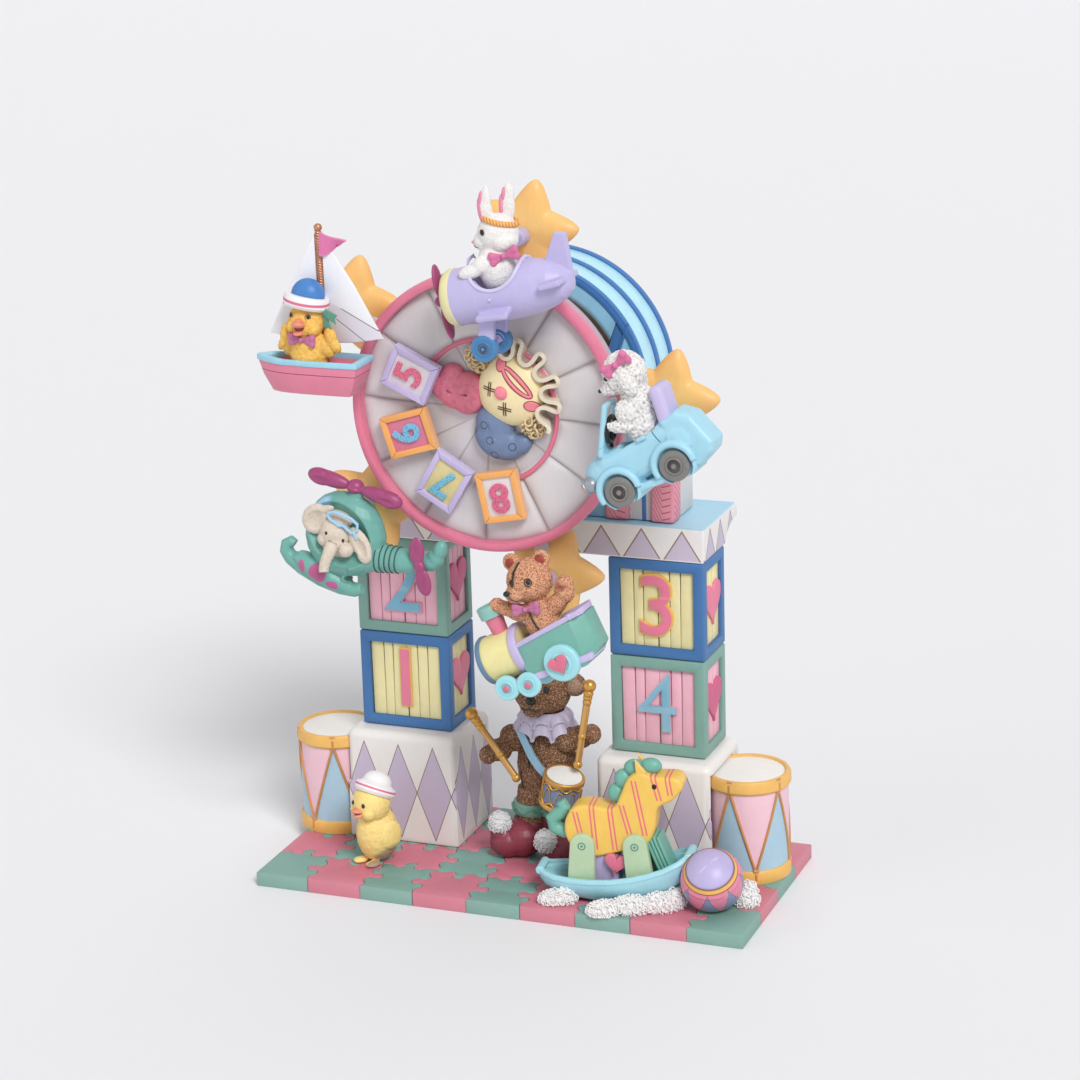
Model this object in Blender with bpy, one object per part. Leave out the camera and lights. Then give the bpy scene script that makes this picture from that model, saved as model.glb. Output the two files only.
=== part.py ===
"""Ferris wheel music box, in metres, +Z up.

The origin is the centre of the slab's underside, -Y is the front and +X the viewer's right.
Blender 4.5: blender --background --python part.py
"""

import math

import bmesh
import bpy
from mathutils import Matrix, Vector

MM = 0.001

# Clearances
SEAT_GAP = 0.0003
RUNNING_GAP = 0.0001

# Base slab and the two towers
SLAB_LENGTH = 0.200
SLAB_DEPTH = 0.0917
SLAB_HEIGHT = 0.0055
SLAB_CHAMFER = 0.0016
TOWER_CENTRE_X = -0.0034
TOWER_SPACING = 0.1058
PEDESTAL_WIDTH = 0.0470
PEDESTAL_DEPTH = 0.0380
PEDESTAL_HEIGHT = 0.0458
PEDESTAL_ROUNDING = 0.0040
PEDESTAL_FRONT_Y = 0.0002
BLOCK_WIDTH = 0.0383
BLOCK_DEPTH = 0.0261
BLOCK_HEIGHT = 0.0392
BLOCK_SETBACK = 0.0077
BLOCK_FRAME = 0.0045
PANEL_RECESS = 0.0012
HEART_HEIGHT = 0.0170
HEART_RELIEF = 0.0010

# Lintel and the rainbow housing on it
LINTEL_LENGTH = 0.1448
LINTEL_DEPTH = 0.0420
LINTEL_HEIGHT = 0.0135
LINTEL_NOSE = 0.0042
RAINBOW_RADIUS = 0.0482
RAINBOW_DEPTH = 0.0335
RAINBOW_SETBACK = 0.0047
RAINBOW_WALL = 0.0026
RIB_HEIGHT = 0.0013
RIB_WIDTH = 0.0032
FOOT_INNER = 0.0322
FOOT_OUTER = 0.0600
FOOT_HEIGHT = 0.0190
FOOT_DEPTH = 0.0260
FOOT_POST = 0.0095
FOOT_PROUD = 0.0022
COVER_THICKNESS = 0.0023

# Big wheel
AXIS_X = -0.0036
AXIS_RISE = 0.0494
WHEEL_RADIUS = 0.0535
RIM_WIDTH = 0.0036
RIM_FRONT_Y = -0.0290
RIM_DEPTH = 0.0100
DISC_FRONT_Y = -0.0245
DISC_THICKNESS = 0.0040
WHEEL_SEGMENTS = 30
PANEL_COUNT = 12
PANEL_TILT = 3.4
RING_RADIUS = 0.0280
RING_WIDTH = 0.0016
RING_HEIGHT = 0.0013
AXLE_RADIUS = 0.0020
STAR_CIRCLE = 0.0673
STAR_RADIUS = 0.0215
STAR_WAIST = 0.0115
STAR_ARM_WIDTH = 0.0060
STAR_ARM_DEPTH = 0.0025
STAR_THICKNESS = 0.0090
STAR_PLANE_Y = -0.0150
STAR_ANGLES = {"top": 78, "upper_left": 149, "lower_left": 219, "bottom": 288, "right": 5}
WHEEL_BLOCK_ANGLES = (281, 239, 197, 155)
WHEEL_BLOCK_CIRCLE = 0.0315
WHEEL_BLOCK_WIDTH = 0.0162
WHEEL_BLOCK_HEIGHT = 0.0192
WHEEL_BLOCK_THICKNESS = 0.0046
CLOWN_ANGLE = 222

# Gondolas: reach of the middle of a vehicle in front of the stars, and the pins
GONDOLA_REACH = 0.0280
PIN_RADIUS = 0.0014
PIN_HEAD = 0.0030
PIN_LENGTH = 0.0190
HANGER_RADIUS = 0.0032

# Drums and toys on the slab
DRUM_RADIUS = 0.0168
DRUM_HEIGHT = 0.0418
DRUM_CENTRE_Y = 0.0150
DRUM_NEST = 0.0065
HOOP_HEIGHT = 0.0052
HOOP_PROUD = 0.0009
BALL_RADIUS = 0.0120
STICK_RADIUS = 0.0014

# Clockwork
PLATE_THICKNESS = 0.0020
PLATE_WIDTH = 0.0440
PILLAR_RADIUS = 0.0018
MODULE = 0.0010
BARREL_TEETH = 24
CYLINDER_TEETH = 12
FLY_TEETH = 8
BARREL_RADIUS = 0.0102
GEAR_WIDTH = 0.0030
CYLINDER_RADIUS = 0.0060
ARBOR_RADIUS = 0.0010
KEY_RADIUS = 0.0016

# Levels and places worked out from the sizes above
SLAB_TOP = SLAB_HEIGHT + SEAT_GAP
PEDESTAL_TOP = SLAB_TOP + PEDESTAL_HEIGHT
BLOCK_FRONT_Y = PEDESTAL_FRONT_Y + BLOCK_SETBACK
LOWER_BLOCK_Z = PEDESTAL_TOP + SEAT_GAP
UPPER_BLOCK_Z = LOWER_BLOCK_Z + BLOCK_HEIGHT + SEAT_GAP
LINTEL_Z = UPPER_BLOCK_Z + BLOCK_HEIGHT + SEAT_GAP
LINTEL_TOP = LINTEL_Z + LINTEL_HEIGHT
RAINBOW_Z = LINTEL_TOP + SEAT_GAP
RAINBOW_FRONT_Y = BLOCK_FRONT_Y + RAINBOW_SETBACK
RAINBOW_BACK_Y = RAINBOW_FRONT_Y + RAINBOW_DEPTH
AXIS_Z = LINTEL_TOP + AXIS_RISE
TOWERS = {"left": TOWER_CENTRE_X - TOWER_SPACING / 2, "right": TOWER_CENTRE_X + TOWER_SPACING / 2}
GEAR_FRONT_Y = RAINBOW_FRONT_Y + RAINBOW_WALL + SEAT_GAP + PLATE_THICKNESS + 0.0012
GEAR_BACK_Y = GEAR_FRONT_Y + GEAR_WIDTH
BACK_PLATE_Y = RAINBOW_BACK_Y - COVER_THICKNESS - 0.0008 - PLATE_THICKNESS
CYLINDER_Z = AXIS_Z - MODULE * (BARREL_TEETH + CYLINDER_TEETH) / 2 - 0.0001
FLY_X = AXIS_X + MODULE * (CYLINDER_TEETH + FLY_TEETH) / 2 + 0.0001

# Colours, sRGB
TEAL = (0.50, 0.68, 0.63)
ROSE = (0.85, 0.47, 0.55)
WHITE = (0.93, 0.91, 0.90)
CREAM = (0.92, 0.88, 0.66)
LILAC = (0.78, 0.75, 0.88)
SKY = (0.60, 0.82, 0.88)
BLUE = (0.25, 0.45, 0.68)
PINK = (0.90, 0.50, 0.60)
PLUM = (0.60, 0.26, 0.42)
ORANGE = (0.93, 0.66, 0.30)
YELLOW = (0.93, 0.74, 0.34)
TAN = (0.80, 0.56, 0.42)
BROWN = (0.52, 0.36, 0.25)
GOLD = (0.78, 0.56, 0.30)
GREY = (0.80, 0.77, 0.74)
STEEL = (0.70, 0.70, 0.72)
BRASS = (0.80, 0.65, 0.35)


def linear(channel):
    return channel / 12.92 if channel <= 0.04045 else ((channel + 0.055) / 1.055) ** 2.4


def paint(name, colour, roughness=0.55, metallic=0.0):
    """A Principled material, made once for each name."""
    made = bpy.data.materials.get(name)
    if made:
        return made
    made = bpy.data.materials.new(name)
    made.use_nodes = True
    shader = made.node_tree.nodes["Principled BSDF"]
    rgba = [linear(channel) for channel in colour] + [1.0]
    shader.inputs["Base Color"].default_value = rgba
    shader.inputs["Roughness"].default_value = roughness
    shader.inputs["Metallic"].default_value = metallic
    made.diffuse_color = rgba
    return made


def start_scene():
    for old in list(bpy.data.objects):
        bpy.data.objects.remove(old)
    kept = bpy.data.collections.new("ferris_wheel_music_box")
    bpy.context.scene.collection.children.link(kept)
    return kept


COLLECTION = start_scene()


# Shapes. Each maker returns a function that gives one closed mesh, facing outwards.


def placed(centre, turn=(0, 0, 0)):
    x, y, z = (math.radians(angle) for angle in turn)
    spun = Matrix.Rotation(z, 4, "Z") @ Matrix.Rotation(y, 4, "Y") @ Matrix.Rotation(x, 4, "X")
    return Matrix.Translation(centre) @ spun


def ball(centre, radii, turn=(0, 0, 0), segments=8, rings=4):
    """An ellipsoid, in millimetres."""

    def make():
        mesh = bmesh.new()
        size = Matrix.Diagonal([radius * MM for radius in radii] + [1])
        where = placed(Vector(centre) * MM, turn) @ size
        bmesh.ops.create_uvsphere(mesh, u_segments=segments, v_segments=rings, radius=1, matrix=where)
        return mesh

    return make


def box(centre, size, turn=(0, 0, 0), rounding=0.0, steps=1):
    """A box, in metres, with all its edges bevelled if a rounding is given."""

    def make():
        mesh = bmesh.new()
        bmesh.ops.create_cube(mesh, size=1, matrix=Matrix.Diagonal([*size, 1]))
        if rounding:
            soften(mesh, mesh.edges[:], rounding, steps)
        mesh.transform(placed(centre, turn))
        return mesh

    return make


def soften(mesh, edges, rounding, steps=1):
    bmesh.ops.bevel(
        mesh, geom=edges, offset=rounding, offset_type="OFFSET", segments=steps, profile=0.5,
        affect="EDGES", material=-1,
    )


def brick(centre, size, turn=(0, 0, 0), rounding=0.0, steps=1):
    """A box given in millimetres."""
    return box(Vector(centre) * MM, [side * MM for side in size], turn, rounding * MM, steps)


def rod(start, end, radius, end_radius=None, segments=12):
    """A cylinder or cone between two points, in metres."""
    start, end = Vector(start), Vector(end)
    end_radius = radius if end_radius is None else end_radius

    def make():
        mesh = bmesh.new()
        along = end - start
        aimed = along.to_track_quat("Z", "Y").to_matrix().to_4x4()
        bmesh.ops.create_cone(
            mesh, cap_ends=True, segments=segments, radius1=radius, radius2=end_radius,
            depth=along.length, matrix=Matrix.Translation((start + end) / 2) @ aimed,
        )
        return mesh

    return make


def peg(start, end, radius, end_radius=None, segments=8):
    """A rod given in millimetres."""
    end_radius = None if end_radius is None else end_radius * MM
    return rod(Vector(start) * MM, Vector(end) * MM, radius * MM, end_radius, segments)


def slab_of(outline, near, far, rounding=0.0):
    """A flat outline in X and Z, in metres, extruded from Y = near to Y = far."""

    def make():
        mesh = bmesh.new()
        face = mesh.faces.new([mesh.verts.new((x, near, z)) for x, z in outline])
        made = bmesh.ops.extrude_face_region(mesh, geom=[face])["geom"]
        ends = [vert for vert in made if isinstance(vert, bmesh.types.BMVert)]
        bmesh.ops.translate(mesh, vec=(0, far - near, 0), verts=ends)
        if rounding:
            rims = [edge for edge in mesh.edges if edge.verts[0].co.y == edge.verts[1].co.y]
            soften(mesh, rims, rounding)
        bmesh.ops.recalc_face_normals(mesh, faces=mesh.faces)
        return mesh

    return make


def board(outline, near, far, rounding=0.0):
    """A slab given in millimetres."""
    return slab_of([(x * MM, z * MM) for x, z in outline], near * MM, far * MM, rounding * MM)


def turned(profile, centre, segments=24, turn=(0, 0, 0)):
    """A profile of (radius, height) points, in metres, spun about Z and then placed.

    A profile that starts and ends on the axis closes by itself, and any other is a ring.
    """

    def make():
        mesh = bmesh.new()
        verts = [mesh.verts.new((radius, 0, height)) for radius, height in profile]
        count = len(verts)
        on_axis = profile[0][0] == 0 and profile[-1][0] == 0
        last = count - 1 if on_axis else count
        edges = [mesh.edges.new((verts[i], verts[(i + 1) % count])) for i in range(last)]
        bmesh.ops.spin(
            mesh, geom=verts + edges, cent=(0, 0, 0), axis=(0, 0, 1), angle=math.tau,
            steps=segments, use_merge=True,
        )
        bmesh.ops.remove_doubles(mesh, verts=mesh.verts, dist=1e-6)
        bmesh.ops.recalc_face_normals(mesh, faces=mesh.faces)
        mesh.transform(placed(centre, turn))
        return mesh

    return make


def lathe(profile, centre, segments=12, turn=(0, 0, 0)):
    """A turned shape given in millimetres."""
    return turned([(radius * MM, z * MM) for radius, z in profile], Vector(centre) * MM, segments, turn)


def lofted(rings):
    """A skin over rings of points, in metres, each with the same count, closed at both ends."""

    def make():
        mesh = bmesh.new()
        loops = []
        for ring in rings:
            verts = [mesh.verts.new(point) for point in ring]
            count = len(verts)
            loops.append([mesh.edges.new((verts[i], verts[(i + 1) % count])) for i in range(count)])
            if ring is rings[0] or ring is rings[-1]:
                mesh.faces.new(verts)
        for first, second in zip(loops, loops[1:]):
            bmesh.ops.bridge_loops(mesh, edges=first + second)
        bmesh.ops.recalc_face_normals(mesh, faces=mesh.faces)
        return mesh

    return make


def moved(shape, matrix):
    """The same shape, carried by a matrix."""

    def make():
        mesh = shape()
        mesh.transform(matrix)
        return mesh

    return make


def helper(shape, growth=0.0):
    """An object with the shape's mesh, its walls moved out by the growth."""
    mesh = shape()
    if growth:
        mesh.normal_update()
        steps = [vert.normal * vert.calc_shell_factor() * growth for vert in mesh.verts]
        for vert, step in zip(mesh.verts, steps):
            vert.co += step
    data = bpy.data.meshes.new("helper")
    mesh.to_mesh(data)
    mesh.free()
    return bpy.data.objects.new("helper", data)


def combined(first, others, operation):
    """One mesh object: the first, joined with the others or cut by them."""
    if not others:
        return first
    tools = bpy.data.collections.new("tools")
    scene = bpy.context.scene.collection
    scene.children.link(tools)
    scene.objects.link(first)
    for other in others:
        tools.objects.link(other)
    step = first.modifiers.new(operation, "BOOLEAN")
    step.operation = operation
    step.operand_type = "COLLECTION"
    step.collection = tools
    step.solver = "EXACT"
    graph = bpy.context.evaluated_depsgraph_get()
    data = bpy.data.meshes.new_from_object(first.evaluated_get(graph))
    for used in [first, *others]:
        bpy.data.objects.remove(used)
    bpy.data.collections.remove(tools)
    data.materials.clear()
    return bpy.data.objects.new("helper", data)


class Piece:
    """A body: shapes joined, then shapes or other pieces cut away, then raised shapes joined.

    A piece that cuts another leaves the clearance round itself.
    """

    def __init__(self, joined, cut=(), raised=(), matrix=None):
        self.joined, self.cut, self.raised = list(joined), list(cut), list(raised)
        self.matrix = matrix or Matrix()

    def built(self, growth=0.0):
        first, *others = [helper(shape, growth) for shape in self.joined]
        body = combined(first, others, "UNION")
        cutters = [
            cutter.built(SEAT_GAP - growth) if isinstance(cutter, Piece) else helper(cutter, -growth)
            for cutter in self.cut
        ]
        body = combined(body, cutters, "DIFFERENCE")
        body = combined(body, [helper(shape, growth) for shape in self.raised], "UNION")
        body.data.transform(self.matrix)
        return body


def axis_empty(name, where, turn=(0, 0, 0)):
    """An empty on a joint's axis, for the pieces that move with it."""
    empty = bpy.data.objects.new(name, None)
    empty.matrix_world = placed(where, turn)
    COLLECTION.objects.link(empty)
    return empty


def add(name, piece, material, carrier=None, local=False):
    """A named part from a piece: one object, smooth where it is round.

    A local piece is drawn about its carrier, and any other in the frame of the whole model.
    """
    made = piece.built()
    made.name = name
    made.data.name = name
    made.data.materials.append(material)
    made.data.shade_smooth()
    made.data.set_sharp_from_angle(angle=math.radians(35))
    COLLECTION.objects.link(made)
    if carrier:
        made.parent = carrier
        if not local:
            made.matrix_parent_inverse = carrier.matrix_world.inverted()
    return made


# The stand


def base_slab():
    body = box((0, 0, SLAB_HEIGHT / 2), (SLAB_LENGTH, SLAB_DEPTH, SLAB_HEIGHT))

    def make():
        mesh = body()
        upper = [edge for edge in mesh.edges if all(vert.co.z > SLAB_HEIGHT / 2 for vert in edge.verts)]
        soften(mesh, upper, SLAB_CHAMFER, 2)
        return mesh

    add("base_slab", Piece([make]), paint("jigsaw_teal", TEAL))


def drum_x(side):
    reach = PEDESTAL_WIDTH / 2 + DRUM_RADIUS - DRUM_NEST
    return TOWERS[side] + (reach if side == "right" else -reach)


def drums():
    shell = DRUM_RADIUS - HOOP_PROUD
    rim = shell - HOOP_PROUD
    profile = [
        (0, DRUM_HEIGHT - HOOP_PROUD), (rim, DRUM_HEIGHT - HOOP_PROUD), (rim, DRUM_HEIGHT),
        (DRUM_RADIUS, DRUM_HEIGHT), (DRUM_RADIUS, DRUM_HEIGHT - HOOP_HEIGHT),
        (shell, DRUM_HEIGHT - HOOP_HEIGHT), (shell, HOOP_HEIGHT), (DRUM_RADIUS, HOOP_HEIGHT),
        (DRUM_RADIUS, 0), (0, 0),
    ]
    for side in TOWERS:
        shape = turned(profile, (drum_x(side), DRUM_CENTRE_Y, SLAB_TOP), 20)
        add(f"drum_{side}", Piece([shape]), paint("drum_shell", (0.88, 0.80, 0.84)))


def pedestals():
    for side, x in TOWERS.items():
        y = PEDESTAL_FRONT_Y + PEDESTAL_DEPTH / 2
        body = box(
            (x, y, SLAB_TOP + PEDESTAL_HEIGHT / 2), (PEDESTAL_WIDTH, PEDESTAL_DEPTH, PEDESTAL_HEIGHT),
            rounding=PEDESTAL_ROUNDING, steps=2,
        )
        foot = box(
            (x, y, SLAB_TOP + PEDESTAL_HEIGHT / 4),
            (PEDESTAL_WIDTH, PEDESTAL_DEPTH, PEDESTAL_HEIGHT / 2),
        )
        nest = (drum_x(side), DRUM_CENTRE_Y)
        scallop = rod(
            (*nest, 0), (*nest, SLAB_TOP + DRUM_HEIGHT + SEAT_GAP), DRUM_RADIUS + SEAT_GAP,
            segments=20,
        )
        add(f"pedestal_{side}", Piece([body, foot], [scallop]), paint("harlequin_white", WHITE))


def heart_outline(height):
    """A plain heart, point down, centred on the origin."""
    points = []
    for step in range(14):
        t = math.tau * step / 14
        x = 16 * math.sin(t) ** 3
        z = 13 * math.cos(t) - 5 * math.cos(2 * t) - 2 * math.cos(3 * t) - math.cos(4 * t)
        points.append((x * height / 29, (z + 2.5) * height / 29))
    return points


def toy_blocks():
    frames = {
        ("left", "lower"): BLUE, ("left", "upper"): TEAL,
        ("right", "lower"): TEAL, ("right", "upper"): BLUE,
    }
    floors = {"lower": LOWER_BLOCK_Z, "upper": UPPER_BLOCK_Z}
    tall = BLOCK_HEIGHT - 2 * BLOCK_FRAME
    wide = BLOCK_WIDTH - 2 * BLOCK_FRAME
    deep = BLOCK_DEPTH - 2 * BLOCK_FRAME
    heart = slab_of(heart_outline(HEART_HEIGHT), -HEART_RELIEF, HEART_RELIEF)
    for (side, level), colour in frames.items():
        x, y = TOWERS[side], BLOCK_FRONT_Y + BLOCK_DEPTH / 2
        z = floors[level] + BLOCK_HEIGHT / 2
        body = box((x, y, z), (BLOCK_WIDTH, BLOCK_DEPTH, BLOCK_HEIGHT))
        panels, hearts = [], []
        for end in (-1, 1):
            front_y = y + end * BLOCK_DEPTH / 2
            side_x = x + end * BLOCK_WIDTH / 2
            panels.append(box((x, front_y, z), (wide, 2 * PANEL_RECESS, tall)))
            panels.append(box((side_x, y, z), (2 * PANEL_RECESS, deep, tall)))
            spot = placed((side_x - end * PANEL_RECESS, y, z), (0, 0, 90))
            hearts.append(moved(heart, spot))
        add(f"block_{side}_{level}", Piece([body], panels, hearts), paint(f"frame_{side}_{level}", colour))


def lintel():
    """The outline runs from front to back: flat top, rounded nose and a cove down to the blocks."""
    seat = BLOCK_DEPTH + 0.0012
    centre_x = LINTEL_DEPTH - LINTEL_NOSE
    centre_z = LINTEL_HEIGHT - LINTEL_NOSE
    outline = [(0, 0), (0, LINTEL_HEIGHT)]
    for angle in (90, 60, 30, 0, -30):
        turn = math.radians(angle)
        outline.append(
            (centre_x + LINTEL_NOSE * math.cos(turn), centre_z + LINTEL_NOSE * math.sin(turn))
        )
    nose_x, nose_z = outline[-1]
    for angle in (22.5, 45, 67.5, 90):
        turn = math.radians(angle)
        outline.append((nose_x - (nose_x - seat) * math.sin(turn), nose_z * math.cos(turn)))
    outline[-1] = (seat, 0)
    shape = slab_of(outline, -LINTEL_LENGTH / 2, LINTEL_LENGTH / 2)
    where = placed((TOWER_CENTRE_X, BLOCK_FRONT_Y, LINTEL_Z), (0, 0, 90))
    add("lintel", Piece([shape], matrix=where), paint("lintel_white", WHITE))


def arch_outline(radius, floor, steps=18):
    """Two legs and a half circle on the wheel's axis."""
    points = [(AXIS_X - radius, floor)]
    for step in range(steps + 1):
        angle = math.pi * (1 - step / steps)
        points.append((AXIS_X + radius * math.cos(angle), AXIS_Z + radius * math.sin(angle)))
    return points + [(AXIS_X + radius, floor)]


def along_y(centre, near, far, radius, segments=12):
    """A rod parallel to the wheel's axis, its centre given in X and Z."""
    return rod((centre[0], near, centre[1]), (centre[0], far, centre[1]), radius, segments=segments)


WHEEL_CENTRE = (AXIS_X, AXIS_Z)
CYLINDER_CENTRE = (AXIS_X, CYLINDER_Z)
FLY_CENTRE = (FLY_X, CYLINDER_Z)


def rainbow_arch():
    joined = [slab_of(arch_outline(RAINBOW_RADIUS, RAINBOW_Z), RAINBOW_FRONT_Y, RAINBOW_BACK_Y)]
    rib = arch_outline(RAINBOW_RADIUS + RIB_HEIGHT, RAINBOW_Z)
    for share in (0, 0.5, 1):
        y = RAINBOW_FRONT_Y + share * (RAINBOW_DEPTH - RIB_WIDTH)
        joined.append(slab_of(rib, y, y + RIB_WIDTH))
    front = RAINBOW_FRONT_Y - FOOT_PROUD
    inner = RAINBOW_RADIUS - RAINBOW_WALL
    floor = RAINBOW_Z - 0.001
    cuts = [
        slab_of(arch_outline(inner, floor), RAINBOW_FRONT_Y + RAINBOW_WALL, RAINBOW_BACK_Y + 0.001),
        along_y(WHEEL_CENTRE, RAINBOW_FRONT_Y - 0.01, GEAR_FRONT_Y, AXLE_RADIUS + 2 * RUNNING_GAP, 16),
    ]
    width = FOOT_OUTER - FOOT_INNER
    for end in (-1, 1):
        x = AXIS_X + end * (FOOT_INNER + FOOT_OUTER) / 2
        z = RAINBOW_Z + FOOT_HEIGHT / 2
        joined.append(box((x, front + FOOT_DEPTH / 2, z), (width, FOOT_DEPTH, FOOT_HEIGHT)))
        niche = (width - 2 * FOOT_POST, 0.0030, FOOT_HEIGHT - 0.0020)
        cuts.append(box((x, front, z - 0.0010), niche))
        patch = (AXIS_X + end * 0.0365, RAINBOW_FRONT_Y, AXIS_Z + 0.0170)
        cuts.append(box(patch, (0.0052, 0.0024, 0.0210), turn=(0, end * 20, 0)))
    add("rainbow_arch", Piece(joined, cuts), paint("rainbow_blue", SKY))
    cover = slab_of(
        arch_outline(inner - SEAT_GAP, RAINBOW_Z), RAINBOW_BACK_Y - COVER_THICKNESS, RAINBOW_BACK_Y
    )
    key_hole = along_y(
        WHEEL_CENTRE, RAINBOW_BACK_Y - 0.01, RAINBOW_BACK_Y + 0.01, KEY_RADIUS + 0.0006, 12
    )
    add("back_cover", Piece([cover], [key_hole]), paint("cover_blue", BLUE))


# Clockwork inside the rainbow: a spring barrel on the wheel's own shaft turns the pinned
# cylinder, and the cylinder turns the fly that holds the speed.


def gear(teeth, centre, near, turn):
    """Tapered teeth at the common module, with room to run in mesh."""
    pitch = MODULE * teeth / 2
    root, tip = pitch - 1.1 * MODULE, pitch + 0.75 * MODULE
    points = []
    for tooth in range(teeth):
        for share, radius in ((-0.27, root), (-0.12, tip), (0.12, tip), (0.27, root)):
            angle = math.tau * (tooth + turn + share) / teeth
            points.append((centre[0] + radius * math.cos(angle), centre[1] + radius * math.sin(angle)))
    return slab_of(points, near, near + GEAR_WIDTH)


def clockwork():
    front = RAINBOW_FRONT_Y + RAINBOW_WALL + SEAT_GAP
    steel, brass = paint("steel", STEEL, 0.3, 1.0), paint("brass", BRASS, 0.35, 1.0)
    movement_plates(front, brass)
    comb(front, steel)
    wheel = axis_empty("wheel_axis", (AXIS_X, 0, AXIS_Z))
    spring(wheel, brass)
    key(steel)

    turning = axis_empty("cylinder_axis", (AXIS_X, 0, CYLINDER_Z))
    arbor = (front + 0.0002, BACK_PLATE_Y + PLATE_THICKNESS, ARBOR_RADIUS)
    shapes = [
        along_y(CYLINDER_CENTRE, GEAR_BACK_Y + SEAT_GAP, BACK_PLATE_Y - 0.002, CYLINDER_RADIUS, 14),
        along_y(CYLINDER_CENTRE, GEAR_FRONT_Y, BACK_PLATE_Y - 0.003, 0.0040, 10),
        along_y(CYLINDER_CENTRE, *arbor),
        gear(CYLINDER_TEETH, CYLINDER_CENTRE, GEAR_FRONT_Y, 0.5),
        *cylinder_pins(),
    ]
    add("music_cylinder", Piece(shapes), brass, turning)

    spinning = axis_empty("fly_axis", (FLY_X, 0, CYLINDER_Z))
    vane = box((FLY_X, BACK_PLATE_Y - 0.0070, CYLINDER_Z), (0.0060, 0.0070, 0.0008))
    shapes = [along_y(FLY_CENTRE, *arbor), gear(FLY_TEETH, FLY_CENTRE, GEAR_FRONT_Y, 0.0), vane]
    add("governor_fly", Piece(shapes), steel, spinning)


def movement_plates(front, brass):
    top, foot = AXIS_Z + 0.0200, CYLINDER_Z - 0.0130
    height, middle = top - foot, (top + foot) / 2
    pillar_x = PLATE_WIDTH / 2 - 0.003

    def plate(y):
        return box((AXIS_X, y + PLATE_THICKNESS / 2, middle), (PLATE_WIDTH, PLATE_THICKNESS, height))

    def bearing(centre, radius):
        return along_y(centre, RAINBOW_FRONT_Y, RAINBOW_BACK_Y, radius + RUNNING_GAP, 12)

    pillars = [
        along_y((AXIS_X + end * pillar_x, z), front + PLATE_THICKNESS / 2, BACK_PLATE_Y - SEAT_GAP,
                PILLAR_RADIUS, 8)
        for end in (-1, 1)
        for z in (top - 0.003, foot + 0.003)
    ]
    holes = [bearing(CYLINDER_CENTRE, ARBOR_RADIUS), bearing(FLY_CENTRE, ARBOR_RADIUS)]
    front_piece = Piece([plate(front), *pillars], [bearing(WHEEL_CENTRE, AXLE_RADIUS), *holes])
    add("movement_front_plate", front_piece, brass)
    back_piece = Piece([plate(BACK_PLATE_Y)], [bearing(WHEEL_CENTRE, KEY_RADIUS), *holes])
    add("movement_back_plate", back_piece, brass)


def spring(wheel, brass):
    """The barrel: a bore for the wheel's shaft in front and one for the key's at the back."""
    back = BACK_PLATE_Y - 0.0100
    shapes = [
        along_y(WHEEL_CENTRE, GEAR_FRONT_Y + 0.001, back, BARREL_RADIUS, 20),
        gear(BARREL_TEETH, WHEEL_CENTRE, GEAR_FRONT_Y, 0.0),
    ]
    bore = along_y(WHEEL_CENTRE, GEAR_FRONT_Y - 0.01, back - 0.0035, AXLE_RADIUS + RUNNING_GAP, 12)
    socket = along_y(WHEEL_CENTRE, back - 0.0030, back + 0.01, KEY_RADIUS + RUNNING_GAP, 12)
    add("spring_barrel", Piece(shapes, [bore, socket]), brass, wheel)


def cylinder_pins():
    """Short pins on the cylinder, in rows that step round it."""
    start, end = GEAR_BACK_Y + 0.0015, BACK_PLATE_Y - 0.0035
    rows = 5
    pins = []
    for row in range(rows):
        angle = math.radians(137 * row + 20)
        out = Vector((math.cos(angle), 0, math.sin(angle)))
        base = Vector((AXIS_X, start + (end - start) * row / (rows - 1), CYLINDER_Z))
        base += out * (CYLINDER_RADIUS - 0.0005)
        pins.append(rod(base, base + out * 0.0010, 0.0003, segments=4))
    return pins


def comb(front, steel):
    """The comb lies beside the cylinder, its tips just off the pins."""
    near, far = GEAR_BACK_Y + 0.0008, BACK_PLATE_Y - 0.0028
    tip, root = CYLINDER_RADIUS + 0.0008, CYLINDER_RADIUS + 0.0078
    back = root + 0.0055
    count = 8
    pitch = (far - near) / count
    outline = [(-back, near), (-back, far)]
    for tooth in reversed(range(count)):
        start = near + pitch * tooth
        outline += [
            (-root, start + pitch), (-tip, start + pitch * 0.9), (-tip, start + pitch * 0.3),
            (-root, start + pitch * 0.2),
        ]
    outline[-1] = (-root, near)
    flat = slab_of(outline, -0.0005, 0.0005)
    teeth = moved(flat, placed((AXIS_X, 0, CYLINDER_Z), (-90, 0, 0)))
    start = front + PLATE_THICKNESS + SEAT_GAP
    bed = box(
        (AXIS_X - root - 0.0030, (start + far) / 2, CYLINDER_Z - 0.0030), (0.0050, far - start, 0.0056)
    )
    add("music_comb", Piece([teeth, bed]), steel)


def key(steel):
    """The winding key at the back, on the spring's arbor."""
    holder = axis_empty("key_axis", (AXIS_X, 0, AXIS_Z))
    out = RAINBOW_BACK_Y + 0.0010
    wing = [(0.0026, -0.0008), (0.0026, 0.0008), (0.0056, 0.0008), (0.0056, -0.0008)]
    shapes = [
        along_y(WHEEL_CENTRE, BACK_PLATE_Y - 0.0126, out + 0.004, KEY_RADIUS),
        along_y(WHEEL_CENTRE, out, out + 0.0080, 0.0027, 10),
        box((AXIS_X, out + 0.0090, AXIS_Z), (0.0060, 0.0040, 0.0014)),
        *(turned(wing, (AXIS_X + end * 0.0060, out + 0.0102, AXIS_Z), 12) for end in (-1, 1)),
    ]
    add("winding_key", Piece(shapes), steel, holder)


# The wheel


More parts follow.
